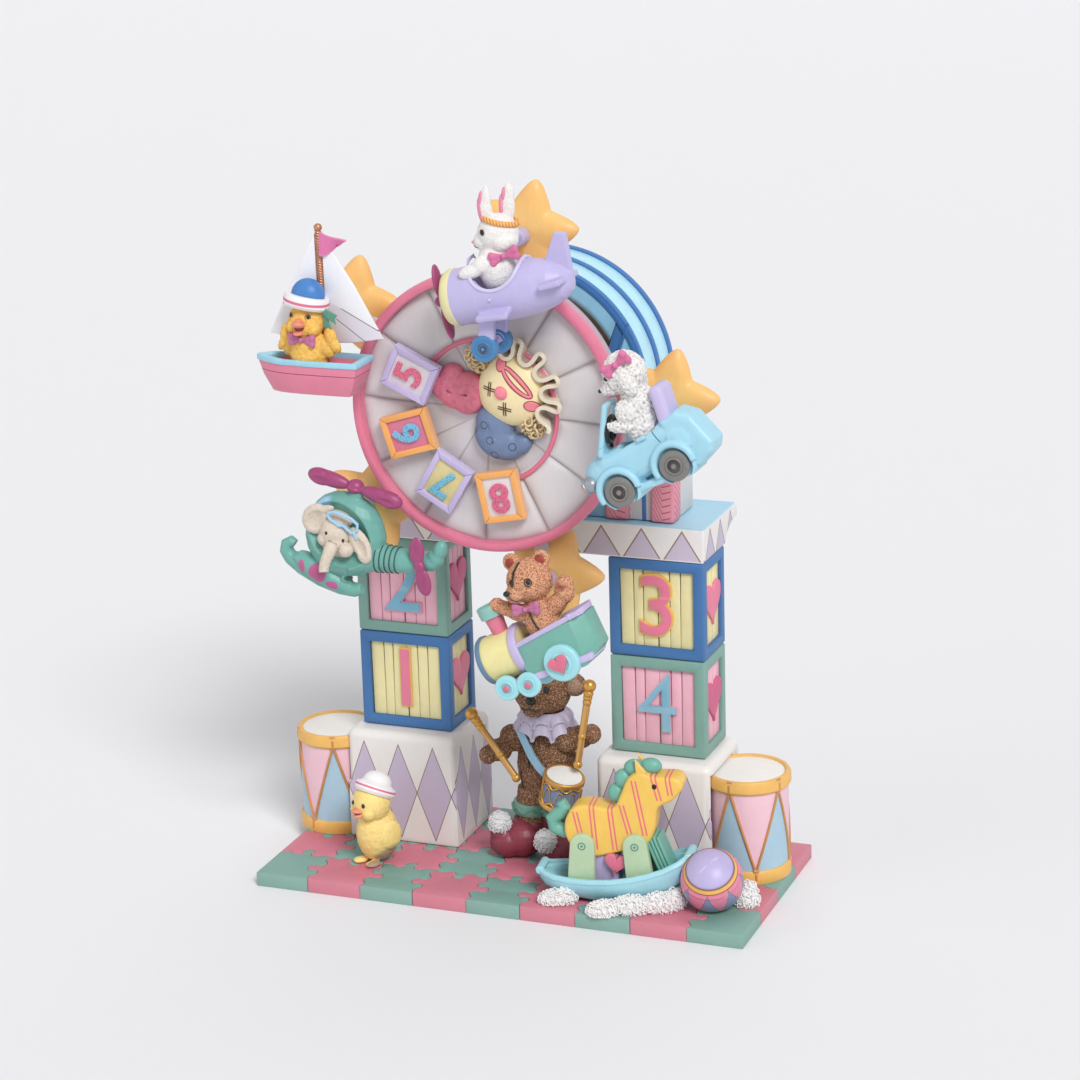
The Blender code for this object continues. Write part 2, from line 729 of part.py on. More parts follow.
def wheel_turned(profile, segments=WHEEL_SEGMENTS):
    """A profile of (radius, Y) points spun about the wheel's axis."""
    return turned([(radius, -y) for radius, y in profile], (AXIS_X, 0, AXIS_Z), segments, (90, 0, 0))


def on_wheel(circle, angle, y):
    turn = math.radians(angle)
    return Vector((AXIS_X + circle * math.cos(turn), y, AXIS_Z + circle * math.sin(turn)))


def star_arm():
    """The bar behind the disc that carries a star, drawn about the star with the hub below."""
    start, end = 0.0040, STAR_CIRCLE - 0.0075
    y = RIM_FRONT_Y + RIM_DEPTH + SEAT_GAP + STAR_ARM_DEPTH / 2 - STAR_PLANE_Y
    middle = (start + end) / 2 - STAR_CIRCLE
    return box((0, y, middle), (STAR_ARM_WIDTH, STAR_ARM_DEPTH, end - start))


def star_place(angle):
    return placed(on_wheel(STAR_CIRCLE, angle, STAR_PLANE_Y), (0, 90 - angle, 0))


def wheel_disc(carrier):
    back = DISC_FRONT_Y + DISC_THICKNESS
    edge = WHEEL_RADIUS - RIM_WIDTH - SEAT_GAP
    medallion = DISC_FRONT_Y + 0.0010
    ring_front = DISC_FRONT_Y - RING_HEIGHT
    profile = [
        (0, medallion), (RING_RADIUS - RING_WIDTH, medallion), (RING_RADIUS - RING_WIDTH, ring_front),
        (RING_RADIUS, ring_front), (RING_RADIUS, DISC_FRONT_Y), (edge, DISC_FRONT_Y),
        (edge, back), (0.0080, back), (0.0062, back + 0.0060), (0, back + 0.0060),
    ]
    joined = [wheel_turned(profile)]
    width = 2 * edge * math.tan(math.pi / PANEL_COUNT) * 0.78
    for panel in range(PANEL_COUNT):
        angle = 360 * (panel + 0.4) / PANEL_COUNT
        step = box(
            ((RING_RADIUS + edge) / 2, 0, 0), (edge - RING_RADIUS - 0.0012, 0.0022, width),
            turn=(PANEL_TILT, 0, 0),
        )
        joined.append(moved(step, placed((AXIS_X, DISC_FRONT_Y, AXIS_Z), (0, -angle, 0))))
    for angle in STAR_ANGLES.values():
        joined.append(moved(star_arm(), star_place(angle)))
    hole = along_y(WHEEL_CENTRE, back - 0.0020, back + 0.01, AXLE_RADIUS + RUNNING_GAP)
    trim_edge = edge - 0.0001
    trim = wheel_turned([
        (trim_edge, RIM_FRONT_Y), (2 * edge, RIM_FRONT_Y), (2 * edge, back + 0.001),
        (trim_edge, back + 0.001),
    ])
    add("wheel_disc", Piece(joined, [hole, trim]), paint("wheel_grey", GREY), carrier)


def wheel_rim(carrier):
    front, back = RIM_FRONT_Y, RIM_FRONT_Y + RIM_DEPTH
    inner = WHEEL_RADIUS - RIM_WIDTH
    soft = RIM_WIDTH / 3
    lip = DISC_FRONT_Y + DISC_THICKNESS + SEAT_GAP
    profile = [
        (inner, front + soft), (inner + soft, front), (WHEEL_RADIUS - soft, front),
        (WHEEL_RADIUS, front + soft), (WHEEL_RADIUS, back), (inner - 0.0040, back),
        (inner - 0.0040, lip), (inner, lip),
    ]
    add("wheel_rim", Piece([wheel_turned(profile)]), paint("rim_rose", PINK), carrier)


def wheel_blocks(carrier):
    sunk = 0.0010
    y = DISC_FRONT_Y - 0.0021 - WHEEL_BLOCK_THICKNESS / 2
    body = box((0, 0, 0), (WHEEL_BLOCK_WIDTH, WHEEL_BLOCK_THICKNESS, WHEEL_BLOCK_HEIGHT))
    panel = box(
        (0, -WHEEL_BLOCK_THICKNESS / 2, 0),
        (WHEEL_BLOCK_WIDTH - 0.0044, 2 * sunk, WHEEL_BLOCK_HEIGHT - 0.0044),
    )
    for number, angle in enumerate(WHEEL_BLOCK_ANGLES, 1):
        where = placed(on_wheel(WHEEL_BLOCK_CIRCLE, angle, y), (0, 90 - angle, 0))
        colour = ORANGE if number % 2 else LILAC
        material = paint(f"wheel_block_{number}", colour)
        add(f"wheel_block_{number}", Piece([body], [panel], matrix=where), material, carrier)


def clown(carrier):
    """The rag-doll clown's head in the middle of the wheel, its crown towards the blocks."""
    surface = DISC_FRONT_Y + 0.0010 - SEAT_GAP
    where = placed((AXIS_X, surface, AXIS_Z), (0, 90 - CLOWN_ANGLE, 0))
    face_x, face_z = 2.0, -12.8
    head = [
        ball((face_x, -1.0, face_z), (12.2, 7.0, 12.2), segments=12, rings=6),
        ball((face_x, -8.0, face_z - 1.0), (2.2, 1.6, 2.2)),
        ball((-14.4, -1.6, face_z + 1.6), (6.4, 3.4, 5.2)),
        ball((17.0, -1.6, face_z + 1.2), (5.8, 3.4, 5.0)),
        ball((-8.5, -1.0, 4.6), (9.0, 4.8, 12.3), (0, 42, 0), 9, 5),
        ball((12.3, -1.0, 4.2), (9.0, 5.0, 12.3), (0, -48, 0), 9, 5),
    ]
    flat = brick((0, 10, 0), (80, 20, 80))
    add("clown_head", Piece(head, [flat], matrix=where), paint("clown_cream", CREAM), carrier)
    waves, steps = 5, 6
    outline = []
    for step in range(waves * steps + 1):
        angle = math.radians(-168 + 130 * step / (waves * steps))
        reach = 21.4 + 2.0 * math.cos(math.tau * step / steps)
        outline.append((face_x + reach * math.cos(angle), face_z + reach * math.sin(angle)))
    ruff = board(outline, -5.8, -2.8)
    piece = Piece([ruff], [Piece(head, [flat])], matrix=where)
    add("clown_ruffle", piece, paint("ruffle_cream", WHITE), carrier)


def star_shape():
    """A puffy five-pointed star, one point along +Z, in the X Z plane about the origin."""
    count = 30
    rings = []
    for scale, depth in ((0.52, -0.44), (1, 0), (0.52, 0.44)):
        ring = []
        for step in range(count):
            angle = math.tau * (step + 0.5) / count
            lobe = (math.cos(5 * angle) + 1) / 2
            reach = scale * (STAR_WAIST + (STAR_RADIUS - STAR_WAIST) * lobe ** 1.2)
            ring.append((reach * math.sin(angle), depth * STAR_THICKNESS, reach * math.cos(angle)))
        rings.append(ring)
    return lofted(rings)


def stars(carrier):
    bore = rod((0, -0.02, 0), (0, 0.02, 0), PIN_RADIUS + RUNNING_GAP, segments=12)
    for name, angle in STAR_ANGLES.items():
        piece = Piece([star_shape()], [bore, Piece([star_arm()])], matrix=star_place(angle))
        add(f"star_{name}", piece, paint("star_orange", ORANGE), carrier)


def axle(carrier):
    """The shaft ends in the barrel, and its collar keeps the wheel off the rainbow."""
    back = DISC_FRONT_Y + DISC_THICKNESS
    shapes = [
        along_y(WHEEL_CENTRE, back - 0.0016, BACK_PLATE_Y - 0.0137, AXLE_RADIUS),
        along_y(WHEEL_CENTRE, back + 0.0063, RAINBOW_FRONT_Y - 0.0010, 0.0045),
    ]
    add("wheel_axle", Piece(shapes), paint("steel", STEEL, 0.3, 1.0), carrier)


# Gondolas. Each vehicle is drawn level about its own middle, in millimetres, facing -X, and
# its pivot's empty tilts it as it hangs in the photograph.


class Gondola:
    def __init__(self, name, tilt, middle):
        self.name = name
        self.middle = middle
        pivot = on_wheel(STAR_CIRCLE, STAR_ANGLES[name], STAR_PLANE_Y)
        self.empty = axis_empty(f"pivot_{name}", pivot, (0, -tilt, 0))
        self.shift = Matrix.Translation((middle[0] * MM, -GONDOLA_REACH, middle[1] * MM))

    def hanger(self, reach):
        """The boss round the pin, from just off the star to Y = reach in the vehicle's frame."""
        x, z = (-part * MM for part in self.middle)
        start = GONDOLA_REACH - STAR_THICKNESS / 2 - 0.0008
        return rod((x, start, z), (x, reach * MM, z), HANGER_RADIUS, segments=10)

    def add(self, name, joined, cut=(), material=None, raised=()):
        """Shapes are carried from the vehicle's middle to the pivot; cutting pieces already are."""
        cuts = [item if isinstance(item, Piece) else moved(item, self.shift) for item in cut]
        cuts.append(
            rod((0, -PIN_LENGTH - SEAT_GAP, 0), (0, 0, 0), PIN_RADIUS + SEAT_GAP, segments=12)
        )
        piece = Piece(
            [moved(shape, self.shift) for shape in joined], cuts,
            [moved(shape, self.shift) for shape in raised],
        )
        add(name, piece, material, self.empty, local=True)
        return piece

    def pin(self):
        back = STAR_THICKNESS / 2 + SEAT_GAP
        shapes = [
            rod((0, -PIN_LENGTH, 0), (0, back + 0.0012, 0), PIN_RADIUS, segments=10),
            rod((0, back, 0), (0, back + 0.0012, 0), PIN_HEAD, segments=10),
        ]
        steel = paint("steel", STEEL, 0.3, 1.0)
        add(f"pivot_pin_{self.name}", Piece(shapes), steel, self.empty, local=True)


def airplane():
    hung = Gondola("top", 11, (0, -13))
    fuselage = [
        (0, -23.5), (8.6, -23.5), (10.2, -20.5), (10.3, -17.0), (11.0, -10), (10.8, 0), (8.8, 10),
        (5.6, 20.5), (2.6, 25.4), (0, 26),
    ]
    wheel = (-10.3, -21.0)
    body = [
        lathe(fuselage, (0, 0, -2.4), 12, (0, 90, 0)),
        board([(13.5, 2), (22.2, 15.6), (26.6, 14.6), (26.0, -1)], -1.3, 1.3),
        ball((19.4, -2.5, -1.4), (5.4, 11.0, 1.7)),
        brick((-2.8, -9.8, -8.6), (13, 8.5, 2.4), (20, 0, 0)),
        peg((-6, -6, -9), (wheel[0], -6.5, wheel[1]), 2.3, 1.9, 6),
        peg((wheel[0], -9.6, wheel[1]), (wheel[0], -5.0, wheel[1]), 5.0, 5.0, 12),
        peg((wheel[0], -9.0, wheel[1]), (wheel[0], 7.8, wheel[1]), 1.1, 1.1, 6),
        peg((wheel[0], 3.8, wheel[1]), (wheel[0], 8.2, wheel[1]), 5.0, 5.0, 12),
        peg((-28.4, 0, -3.0), (-22, 0, -3.0), 2.0, 2.0, 6),
        ball((-26.6, 0, 3.6), (1.3, 3.2, 6.8)),
        ball((-25.9, 0, -10.4), (1.3, 3.2, 6.8), (0, -4, 0)),
        hung.hanger(6.2),
        brick((0, 8.0, 7.4), (5.6, 3.2, 11.6)),
    ]
    cockpit = ball((-2.4, -0.5, 9.0), (10.6, 7.4, 8.8), segments=12, rings=6)
    plane = hung.add("airplane", body, [cockpit], paint("plane_lilac", LILAC))
    bunny = [
        ball((-2.0, 0, 7.4), (6.6, 5.2, 8.6), rings=5),
        ball((1.0, -0.5, 18.2), (7.8, 6.6, 7.4), segments=9, rings=5),
        ball((-5.2, -1.5, 16.0), (3.4, 3.4, 3.0)),
        ball((-1.0, -2.4, 28.2), (3.0, 1.9, 7.2), (0, 2, 0)),
        ball((6.6, 1.6, 28.0), (3.0, 1.9, 7.2), (0, 12, 0)),
        ball((-7.8, -5.8, 7.6), (6.8, 2.5, 2.5), (0, -6, 12)),
        ball((-7.8, 5.0, 7.6), (6.4, 2.4, 2.5), (0, -6, -10)),
    ]
    hung.add("rabbit", bunny, [plane], paint("rabbit_white", WHITE, 0.8))
    hung.pin()


def car():
    hung = Gondola("right", 28, (-6.7, -13))
    wheels = ((-10.6, -6.2), (13.0, -6.0))
    body = [
        brick((3.4, 0, 1.4), (42, 14, 16.0), (0, -4, 0), 3.4),
        ball((-13, 0, 0.8), (11.2, 7.4, 7.8), segments=9, rings=5),
        ball((18.2, 0, 1.2), (10.0, 8.2, 10.2), segments=9, rings=5),
        *(ball((x, 0, z + 1.6), (9.6, 8.8, 9.2), segments=10, rings=5) for x, z in wheels),
        *(peg((-24.0, y, 0.2), (-17, y, 0.2), 3.0, 3.0, 8) for y in (-4.4, 4.4)),
        brick((26.4, 0, -5.6), (4, 14, 4.4)),
        brick((-6.6, 0, 16.2), (2.2, 13, 20.4), (0, 34, 0)),
        brick((17.4, 0.5, 14.4), (5.6, 11.5, 16), (0, 10, 0)),
        hung.hanger(6.2),
        brick((6.7, 7.2, 7.0), (5.6, 2.6, 13.0)),
    ]
    cuts = [
        brick((3.4, 0, 10), (17.5, 10.6, 15)),
        brick((-4.4, 0, 19.4), (8, 9.4, 9.0), (0, 34, 0)),
        brick((0, 0, -18.6), (70, 40, 14)),
    ]
    tyres = [peg((x, y, z), (x, y + 2.6, z), 5.7, 5.7, 12) for x, z in wheels for y in (-9.2, 6.6)]
    cab = hung.add("car", body, cuts, paint("car_blue", SKY), tyres)
    dog = [
        ball((5.2, 0, 14.0), (6.2, 5.0, 11.0), (0, 14, 0), rings=5),
        ball((9.2, -0.5, 31.2), (8.2, 7.0, 8.0), segments=9, rings=5),
        ball((2.0, -1.0, 28.8), (3.6, 3.4, 3.0)),
        ball((10.2, -6.4, 28.6), (3.2, 2.2, 5.6)),
        ball((10.2, 5.4, 28.6), (3.2, 2.2, 5.6)),
        ball((-0.4, -3.6, 14.4), (6.6, 2.2, 2.4), (0, 14, 0)),
        ball((-0.4, 3.6, 14.4), (6.6, 2.2, 2.4), (0, 14, 0)),
    ]
    hung.add("dog", dog, [cab], paint("dog_white", WHITE, 0.85))
    hung.pin()


def train():
    hung = Gondola("bottom", 25, (-6, -20))
    boiler = [
        (0, -21.6), (6.5, -21.6), (9.2, -20.4), (9.2, -18.4), (8.3, -18.4), (8.3, -5.6), (9.2, -5.6),
        (9.2, -2.6), (0, -2.6),
    ]
    flue = [(0, 7), (2.8, 7), (3.6, 17.6), (4.8, 17.6), (4.8, 21.8), (3.0, 21.8), (3.0, 19), (0, 19)]
    wheels = ((-13.6, -8.4), (-4.8, -10.0))
    body = [
        lathe(boiler, (0, 0, 2.2), 12, (0, 90, 0)),
        board([(-3.4, -10), (-3.4, 4.8), (25, 8.2), (26, -6), (21, -10.4)], -8.4, 6.0, 2.4),
        brick((2, -1, -8.8), (38, 12.6, 2.6)),
        lathe(flue, (-10.6, 0, 0), 10),
        *(peg((x, y, z), (x, y + 2.4, z), 4.8, 4.8, 12) for x, z in wheels for y in (-9.4, 5.6)),
        peg((11.8, -10.8, -6.6), (11.8, -7.0, -6.6), 7.0, 7.0, 14),
        peg((11.8, 4.6, -6.6), (11.8, 8.4, -6.6), 7.0, 7.0, 14),
        peg((-13.6, -8, -8.4), (-13.6, 7, -8.4), 2.0, 2.0, 6),
        hung.hanger(6.4),
        brick((6, 7.0, 11.6), (5.6, 3.2, 17)),
    ]
    well = brick((10.6, -1.2, 7), (25.0, 11.0, 18))
    engine = hung.add("train", body, [well], paint("train_teal", TEAL))
    bear = [
        ball((8.0, -0.8, 8.5), (6.8, 5.0, 10.4), rings=5),
        ball((10.0, -1.0, 25.2), (9.0, 7.4, 8.4), segments=9, rings=5),
        ball((3.4, -4.8, 22.6), (4.6, 4.0, 3.8)),
        ball((6.4, 0, 33.2), (3.4, 2.0, 3.4)),
        ball((17.0, 0, 31.0), (3.4, 2.0, 3.4)),
        ball((-0.6, -1.8, 15.4), (8.4, 2.6, 2.8), (0, 22, 0)),
        ball((17.0, -1.0, 13.6), (7.4, 2.6, 2.8), (0, -24, 0)),
        ball((22.6, -1.0, 17.0), (3.2, 2.6, 3.4)),
    ]
    hung.add("train_bear", bear, [engine], paint("bear_tan", TAN, 0.8))
    hung.pin()


def helicopter():
    hung = Gondola("lower_left", 0, (0, 0))
    boom = [(0, 8), (6.4, 8)]
    for rib in range(3):
        boom += [(6.7 - 0.6 * rib, 13 + 4 * rib), (5.6 - 0.6 * rib, 15 + 4 * rib)]
    boom += [(3.9, 29), (0, 33)]
    body = [
        ball((0.6, 0, -4.8), (16.4, 8.6, 16.2), segments=13, rings=7),
        lathe(boom, (0, 0, -11.4), 8, (0, 93, 0)),
        ball((34.0, 0, -12.4), (4.8, 3.4, 3.4)),
        ball((38.4, 0, -8.0), (2.9, 2.8, 4.4), (0, 20, 0)),
        peg((5.4, 0, 9), (5.8, 0, 14.5), 2.1, 2.1, 6),
        ball((5.7, 0, 14.6), (3.4, 3.0, 2.8)),
        ball((-5.0, 0, 17.2), (9.2, 2.2, 2.5), (0, 14, 0)),
        ball((16.4, 0, 11.8), (9.2, 2.2, 2.5), (0, 14, 0)),
        ball((31.4, -4.6, -7.2), (2.4, 1.1, 5.9)),
        ball((33.4, -4.6, -18.6), (2.4, 1.1, 5.9), (0, -12, 0)),
        peg((32.2, -5.6, -12.9), (32.2, 0, -12.9), 1.8, 1.8, 6),
        ball((-8.4, 0, -20.8), (17.4, 6.2, 5.2), (0, 27, 0), 9, 5),
        ball((-21.8, 0, -13.8), (4.0, 4.0, 4.4)),
        ball((-23.2, 0, -9.8), (3.2, 3.4, 3.2)),
        ball((4.6, 0, -26.2), (6.0, 4.6, 3.4)),
        hung.hanger(4.0),
    ]
    window = ball((-2.4, -8.2, -4.6), (12.2, 6.4, 12.0), segments=12, rings=6)
    cabin = hung.add("helicopter", body, [window], paint("helicopter_teal", TEAL))
    elephant = [
        ball((-2.6, -4.2, -3.4), (5.8, 4.6, 6.2), segments=9, rings=5),
        ball((-9.4, -5.0, -1.8), (4.6, 1.6, 5.8), (0, 12, 0)),
        ball((3.8, -4.8, -5.6), (4.2, 1.6, 6.0), (0, -18, 0)),
        ball((-4.4, -7.4, -10.2), (2.3, 2.2, 6.6), (0, 12, 0)),
        ball((-7.6, -6.4, -8.6), (3.2, 2.2, 2.8)),
        ball((0.4, -6.0, -9.8), (3.4, 2.2, 2.8)),
    ]
    hung.add("elephant", elephant, [cabin], paint("elephant_grey", GREY, 0.7))
    hung.pin()


def sailboat():
    hung = Gondola("upper_left", 0, (0, 0))

    def ring(points, level):
        return [(x * MM, y * MM, level * MM) for x, y in points]

    keel = [(-20.0, -3.4), (-8.0, -5.4), (13.4, -5.4), (13.4, 5.4), (-8.0, 5.4), (-20.0, 3.4)]
    deck = [(-27.0, -1.2), (-14.0, -8.0), (17.0, -8.0), (17.0, 8.0), (-14.0, 8.0), (-27.0, 1.2)]
    rail = [(x * 1.02, y * 1.05) for x, y in deck]
    hull = lofted([ring(keel, -26.6), ring(deck, -14.0)])
    gunwale = lofted([ring(rail, -16.0), ring(rail, -13.4)])
    well = brick((-1.0, 0, -13.0), (31.0, 12.0, 17.0))
    mast = peg((0.0, 3.4, -23.0), (-1.0, 3.4, 34.5), 1.2, 0.9)
    boat = hung.add("sailboat", [hull, gunwale], [well], paint("boat_pink", PINK), [mast])
    cloth = (2.8, 4.0)
    sails = [
        board([(-2.5, 32.5), (-22.5, -6.0), (-2.2, -8.5)], *cloth),
        board([(0.4, 32.5), (0.8, -8.5), (23.5, -6.0)], *cloth),
        brick((-0.7, 5.0, 12.0), (5.2, 2.0, 34.0)),
        hung.hanger(4.6),
    ]
    rig = hung.add("boat_sails", sails, [boat], paint("sail_white", WHITE))
    duck = [
        ball((-4.4, -2.4, -11.2), (7.0, 4.4, 9.2), rings=6),
        ball((-5.6, -2.8, 1.0), (6.8, 5.0, 6.6), segments=9, rings=5),
        ball((-8.2, -8.0, -1.4), (2.8, 3.0, 1.8)),
        ball((-12.2, -2.6, -6.6), (3.0, 2.0, 6.6), (0, 34, 0)),
        ball((3.8, -2.6, -6.6), (3.0, 2.0, 6.6), (0, -34, 0)),
        peg((-4.4, -2.8, 4.0), (-3.8, -2.8, 8.6), 6.9, 6.7, 12),
        ball((-3.8, -2.8, 9.0), (5.6, 4.8, 5.2)),
    ]
    hung.add("boat_duck", duck, [boat, rig], paint("duck_yellow", YELLOW))
    hung.pin()


# Figures on the slab, in millimetres about their own middle, standing on Z = 0


def standing(x, y, turn=0.0):
    return placed((x, y, SLAB_TOP), (0, 0, turn))


FLOOR = brick((0, 0, -20), (160, 160, 40))


def duckling():
    shapes = [
        ball((0, 0.5, 11.5), (8.8, 9.2, 11.8), segments=9, rings=5),
        ball((0, -2.0, 24.8), (7.8, 7.6, 7.6), segments=9, rings=5),
        ball((0, -9.0, 23.2), (2.8, 3.6, 1.8)),
        ball((-7.8, 1.0, 12.5), (2.2, 6.0, 6.4)),
        ball((7.8, 1.0, 12.5), (2.2, 6.0, 6.4)),
        ball((0, 8.6, 7.0), (3.4, 4.6, 3.0), (25, 0, 0)),
        ball((-4.2, -5.0, 1.0), (3.6, 5.0, 1.8)),
        ball((4.2, -5.0, 1.0), (3.6, 5.0, 1.8)),
        peg((0, -0.4, 28.4), (0.2, 1.8, 32.4), 7.2, 7.0, 10),
        ball((0.2, 2.0, 32.8), (5.4, 5.4, 3.2)),
    ]
    piece = Piece(shapes, [FLOOR], matrix=standing(-0.0590, -0.0200, -38))
    add("duckling", piece, paint("duck_yellow", YELLOW))


def drummer():
    where = standing(0, 0.0080)
    shapes = [
        ball((3.2, 0, 37.0), (12.4, 9.2, 16.5), segments=9, rings=5),
        ball((2.0, -0.5, 68.2), (11.8, 9.6, 10.4), segments=9, rings=5),
        ball((1.6, -9.0, 65.0), (6.2, 4.4, 4.6)),
        ball((-12.0, 0, 69.4), (4.4, 3.0, 4.6)),
        ball((16.4, -1.6, 70.6), (4.8, 4.4, 4.8)),
        peg((-5, -2, 50), (-15, -9.8, 43.8), 4.4, 3.6),
        ball((-15.0, -10.6, 43.6), (5.0, 4.2, 4.6)),
        peg((10, -2, 49), (23, -5.6, 53.2), 4.6, 3.6),
        ball((23.8, -6.0, 53.8), (4.6, 4.2, 4.6)),
        lathe([(0, 49), (11, 49), (14.4, 53), (14.0, 55), (9.5, 59), (0, 59)], (3.4, -0.6, 0), 12),
        peg((-3.6, 0, 10), (-2.0, 0, 25), 7.6, 7.0, 10),
        peg((9.6, 0, 10), (8.0, 0, 25), 7.6, 7.0, 10),
        ball((-7.6, -7.0, 6.2), (10.4, 7.6, 6.6), (0, 0, 8), 9, 5),
        ball((10.8, -7.6, 6.2), (10.0, 7.2, 6.6), (0, 0, -8), 9, 5),
        ball((-13.2, -10.8, 14.0), (4.5, 4.5, 4.5)),
    ]
    add("drummer_bear", Piece(shapes, [FLOOR], matrix=where), paint("bear_brown", BROWN, 0.85))
    upright = Piece(shapes)
    profile = [
        (0, -6.6), (8.2, -6.6), (8.2, -4.0), (7.4, -3.4), (7.4, 3.4), (8.2, 4.0), (8.2, 6.6), (0, 6.6),
    ]
    drum = lathe(profile, (14.4, -14.2, 33.0), 14, (6, 14, 0))
    gold = paint("gold", GOLD, 0.4, 0.6)
    add("toy_drum", Piece([drum], [upright], matrix=where), paint("toy_drum_blue", BLUE))
    sticks = {
        "left": ((-22.2, -14.6, 60.5), (-3.8, -14.6, 35.1)),
        "right": ((26.0, -11.7, 75.9), (20.2, -11.7, 42.1)),
    }
    for side, (knob, end) in sticks.items():
        shapes = [rod(Vector(knob) * MM, Vector(end) * MM, STICK_RADIUS, segments=8),
                  ball(knob, (2.6, 2.6, 2.6))]
        piece = Piece(shapes, [upright, Piece([drum])], matrix=where)
        add(f"drumstick_{side}", piece, gold)


HORSE_PLACE = placed((0.0430, -0.0255, SLAB_TOP), (0, 0, 8))


def rocker_piece(matrix=None):
    """The rocker: a boat-shaped trough, as (X, keel, rim, half width) from tail to nose."""
    sections = (
        (-29.0, 6.5, 11.0, 4.5), (-22.0, 2.2, 9.6, 9.0), (-8.0, 0.0, 9.4, 12.0),
        (8.0, 0.6, 11.6, 12.4), (20.0, 4.2, 15.0, 10.5), (29.5, 11.5, 20.0, 5.0),
    )

    def ring(x, low, high, half, flare=0.62):
        corners = ((flare * half, low), (half, high), (-half, high), (-flare * half, low))
        return [(x * MM, y * MM, z * MM) for y, z in corners]

    outside = lofted([ring(*section) for section in sections])
    inside = lofted([
        ring(x * 0.93, low + 3.0, high + 2.4, half - 1.6, 0.8) for x, low, high, half in sections
    ])
    return Piece([outside], [inside, toy_ball_piece(HORSE_PLACE.inverted())], matrix=matrix)


def rocking_horse():
    flank = [
        (-17.6, 24), (-18.4, 31), (-15, 37), (-9, 38.6), (0, 37.8), (3.2, 43), (6, 49.5),
        (10.5, 52.8), (17, 51.4), (25, 51.4), (27.2, 47.6), (23.5, 42.4), (17.8, 38.6), (16.4, 30),
        (13, 23.8), (4, 20.6), (-7, 17.6), (-13, 19),
    ]
    shapes = [
        board(flank, -5.6, 5.6, 2.0),
        ball((-18.6, 0, 33.4), (4.4, 2.6, 4.0)),
        ball((-21.8, 0, 28.2), (4.4, 2.6, 4.4)),
        ball((1.0, 0, 42.4), (3.4, 2.4, 4.0)),
        ball((3.6, 0, 48.2), (3.4, 2.4, 4.0)),
        ball((8.2, 0, 53.0), (4.2, 2.4, 3.4)),
        ball((14.4, 0, 54.0), (4.4, 2.4, 3.2)),
    ]
    for x, z, foot, low in ((-11.3, 22.9, -12.0, 5.4), (9.1, 23.8, 11.2, 7.4)):
        leg = [(foot - 5.4, low)]
        for angle in (180, 135, 90, 45, 0):
            turn = math.radians(angle)
            leg.append((x + 4.7 * math.cos(turn), z + 4.7 * math.sin(turn)))
        leg.append((foot + 5.4, low))
        shapes += [board(leg, -8.0, -4.4), board(leg, 4.4, 8.0)]
    add("horse_rocker", rocker_piece(HORSE_PLACE), paint("rocker_blue", SKY))
    horse = Piece(shapes, [rocker_piece()], matrix=HORSE_PLACE)
    add("rocking_horse", horse, paint("horse_yellow", YELLOW))


def toy_ball_piece(matrix=None):
    """The ball, with a small flat where it rests on the slab."""
    centre = Vector((0.0817, -0.0260, SLAB_TOP + BALL_RADIUS - 0.0003))
    sphere = ball((0, 0, 0), (BALL_RADIUS / MM,) * 3, segments=14, rings=8)
    low = box((centre.x, centre.y, SLAB_TOP - 0.01), (0.06, 0.06, 0.02))
    return Piece([moved(sphere, placed(centre, (20, 12, 30)))], [low], matrix=matrix)


def toy_ball():
    add("toy_ball", toy_ball_piece(), paint("ball_lilac", LILAC))


def fleece():
    """Three tufts of crinkled white fleece by the rocker."""
    tufts = {
        "left": ((0.0235, -0.0375, 28), [((0, 0, 1.5), (7.5, 5.0, 3.6)), ((3.2, -1.4, 2.4), (4.6, 3.6, 4.2))]),
        "middle": ((0.0560, -0.0370, 24), [
            ((-13.0, 0, 1.4), (7.0, 5.0, 3.6)), ((-3.0, 0.4, 2.0), (8.5, 5.2, 4.4)),
            ((8.0, 0.6, 2.0), (8.0, 4.8, 5.2)), ((14.0, 2.2, 3.0), (4.6, 3.8, 4.8)),
        ]),
        "right": ((0.0930, -0.0180, 10), [((0, 0, 1.5), (5.0, 5.0, 4.6)), ((0.2, 3.0, 3.4), (3.6, 3.4, 4.8))]),
    }
    for name, ((x, y, turn), lumps) in tufts.items():
        where = placed((x, y, SLAB_TOP), (0, 0, turn))
        shapes = [ball(centre, radii) for centre, radii in lumps]
        back = where.inverted()
        piece = Piece(
            shapes, [FLOOR, toy_ball_piece(back), rocker_piece(back @ HORSE_PLACE)], matrix=where
        )
        add(f"fleece_{name}", piece, paint("fleece", WHITE, 0.95))


def main():
    base_slab()
    pedestals()
    drums()
    toy_blocks()
    lintel()
    rainbow_arch()
    clockwork()
    carrier = bpy.data.objects["wheel_axis"]
    wheel_disc(carrier)
    wheel_rim(carrier)
    wheel_blocks(carrier)
    clown(carrier)
    stars(carrier)
    axle(carrier)
    airplane()
    car()
    train()
    helicopter()
    sailboat()
    duckling()
    drummer()
    rocking_horse()
    toy_ball()
    fleece()


main()
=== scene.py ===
"""Ferris wheel music box in cast, painted resin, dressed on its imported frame.

Sizes here are millimetres unless a name says otherwise. -Y is the front and +Z is up.
"""

import math

import bmesh
import bpy
import numpy as np
from mathutils import Matrix, Vector


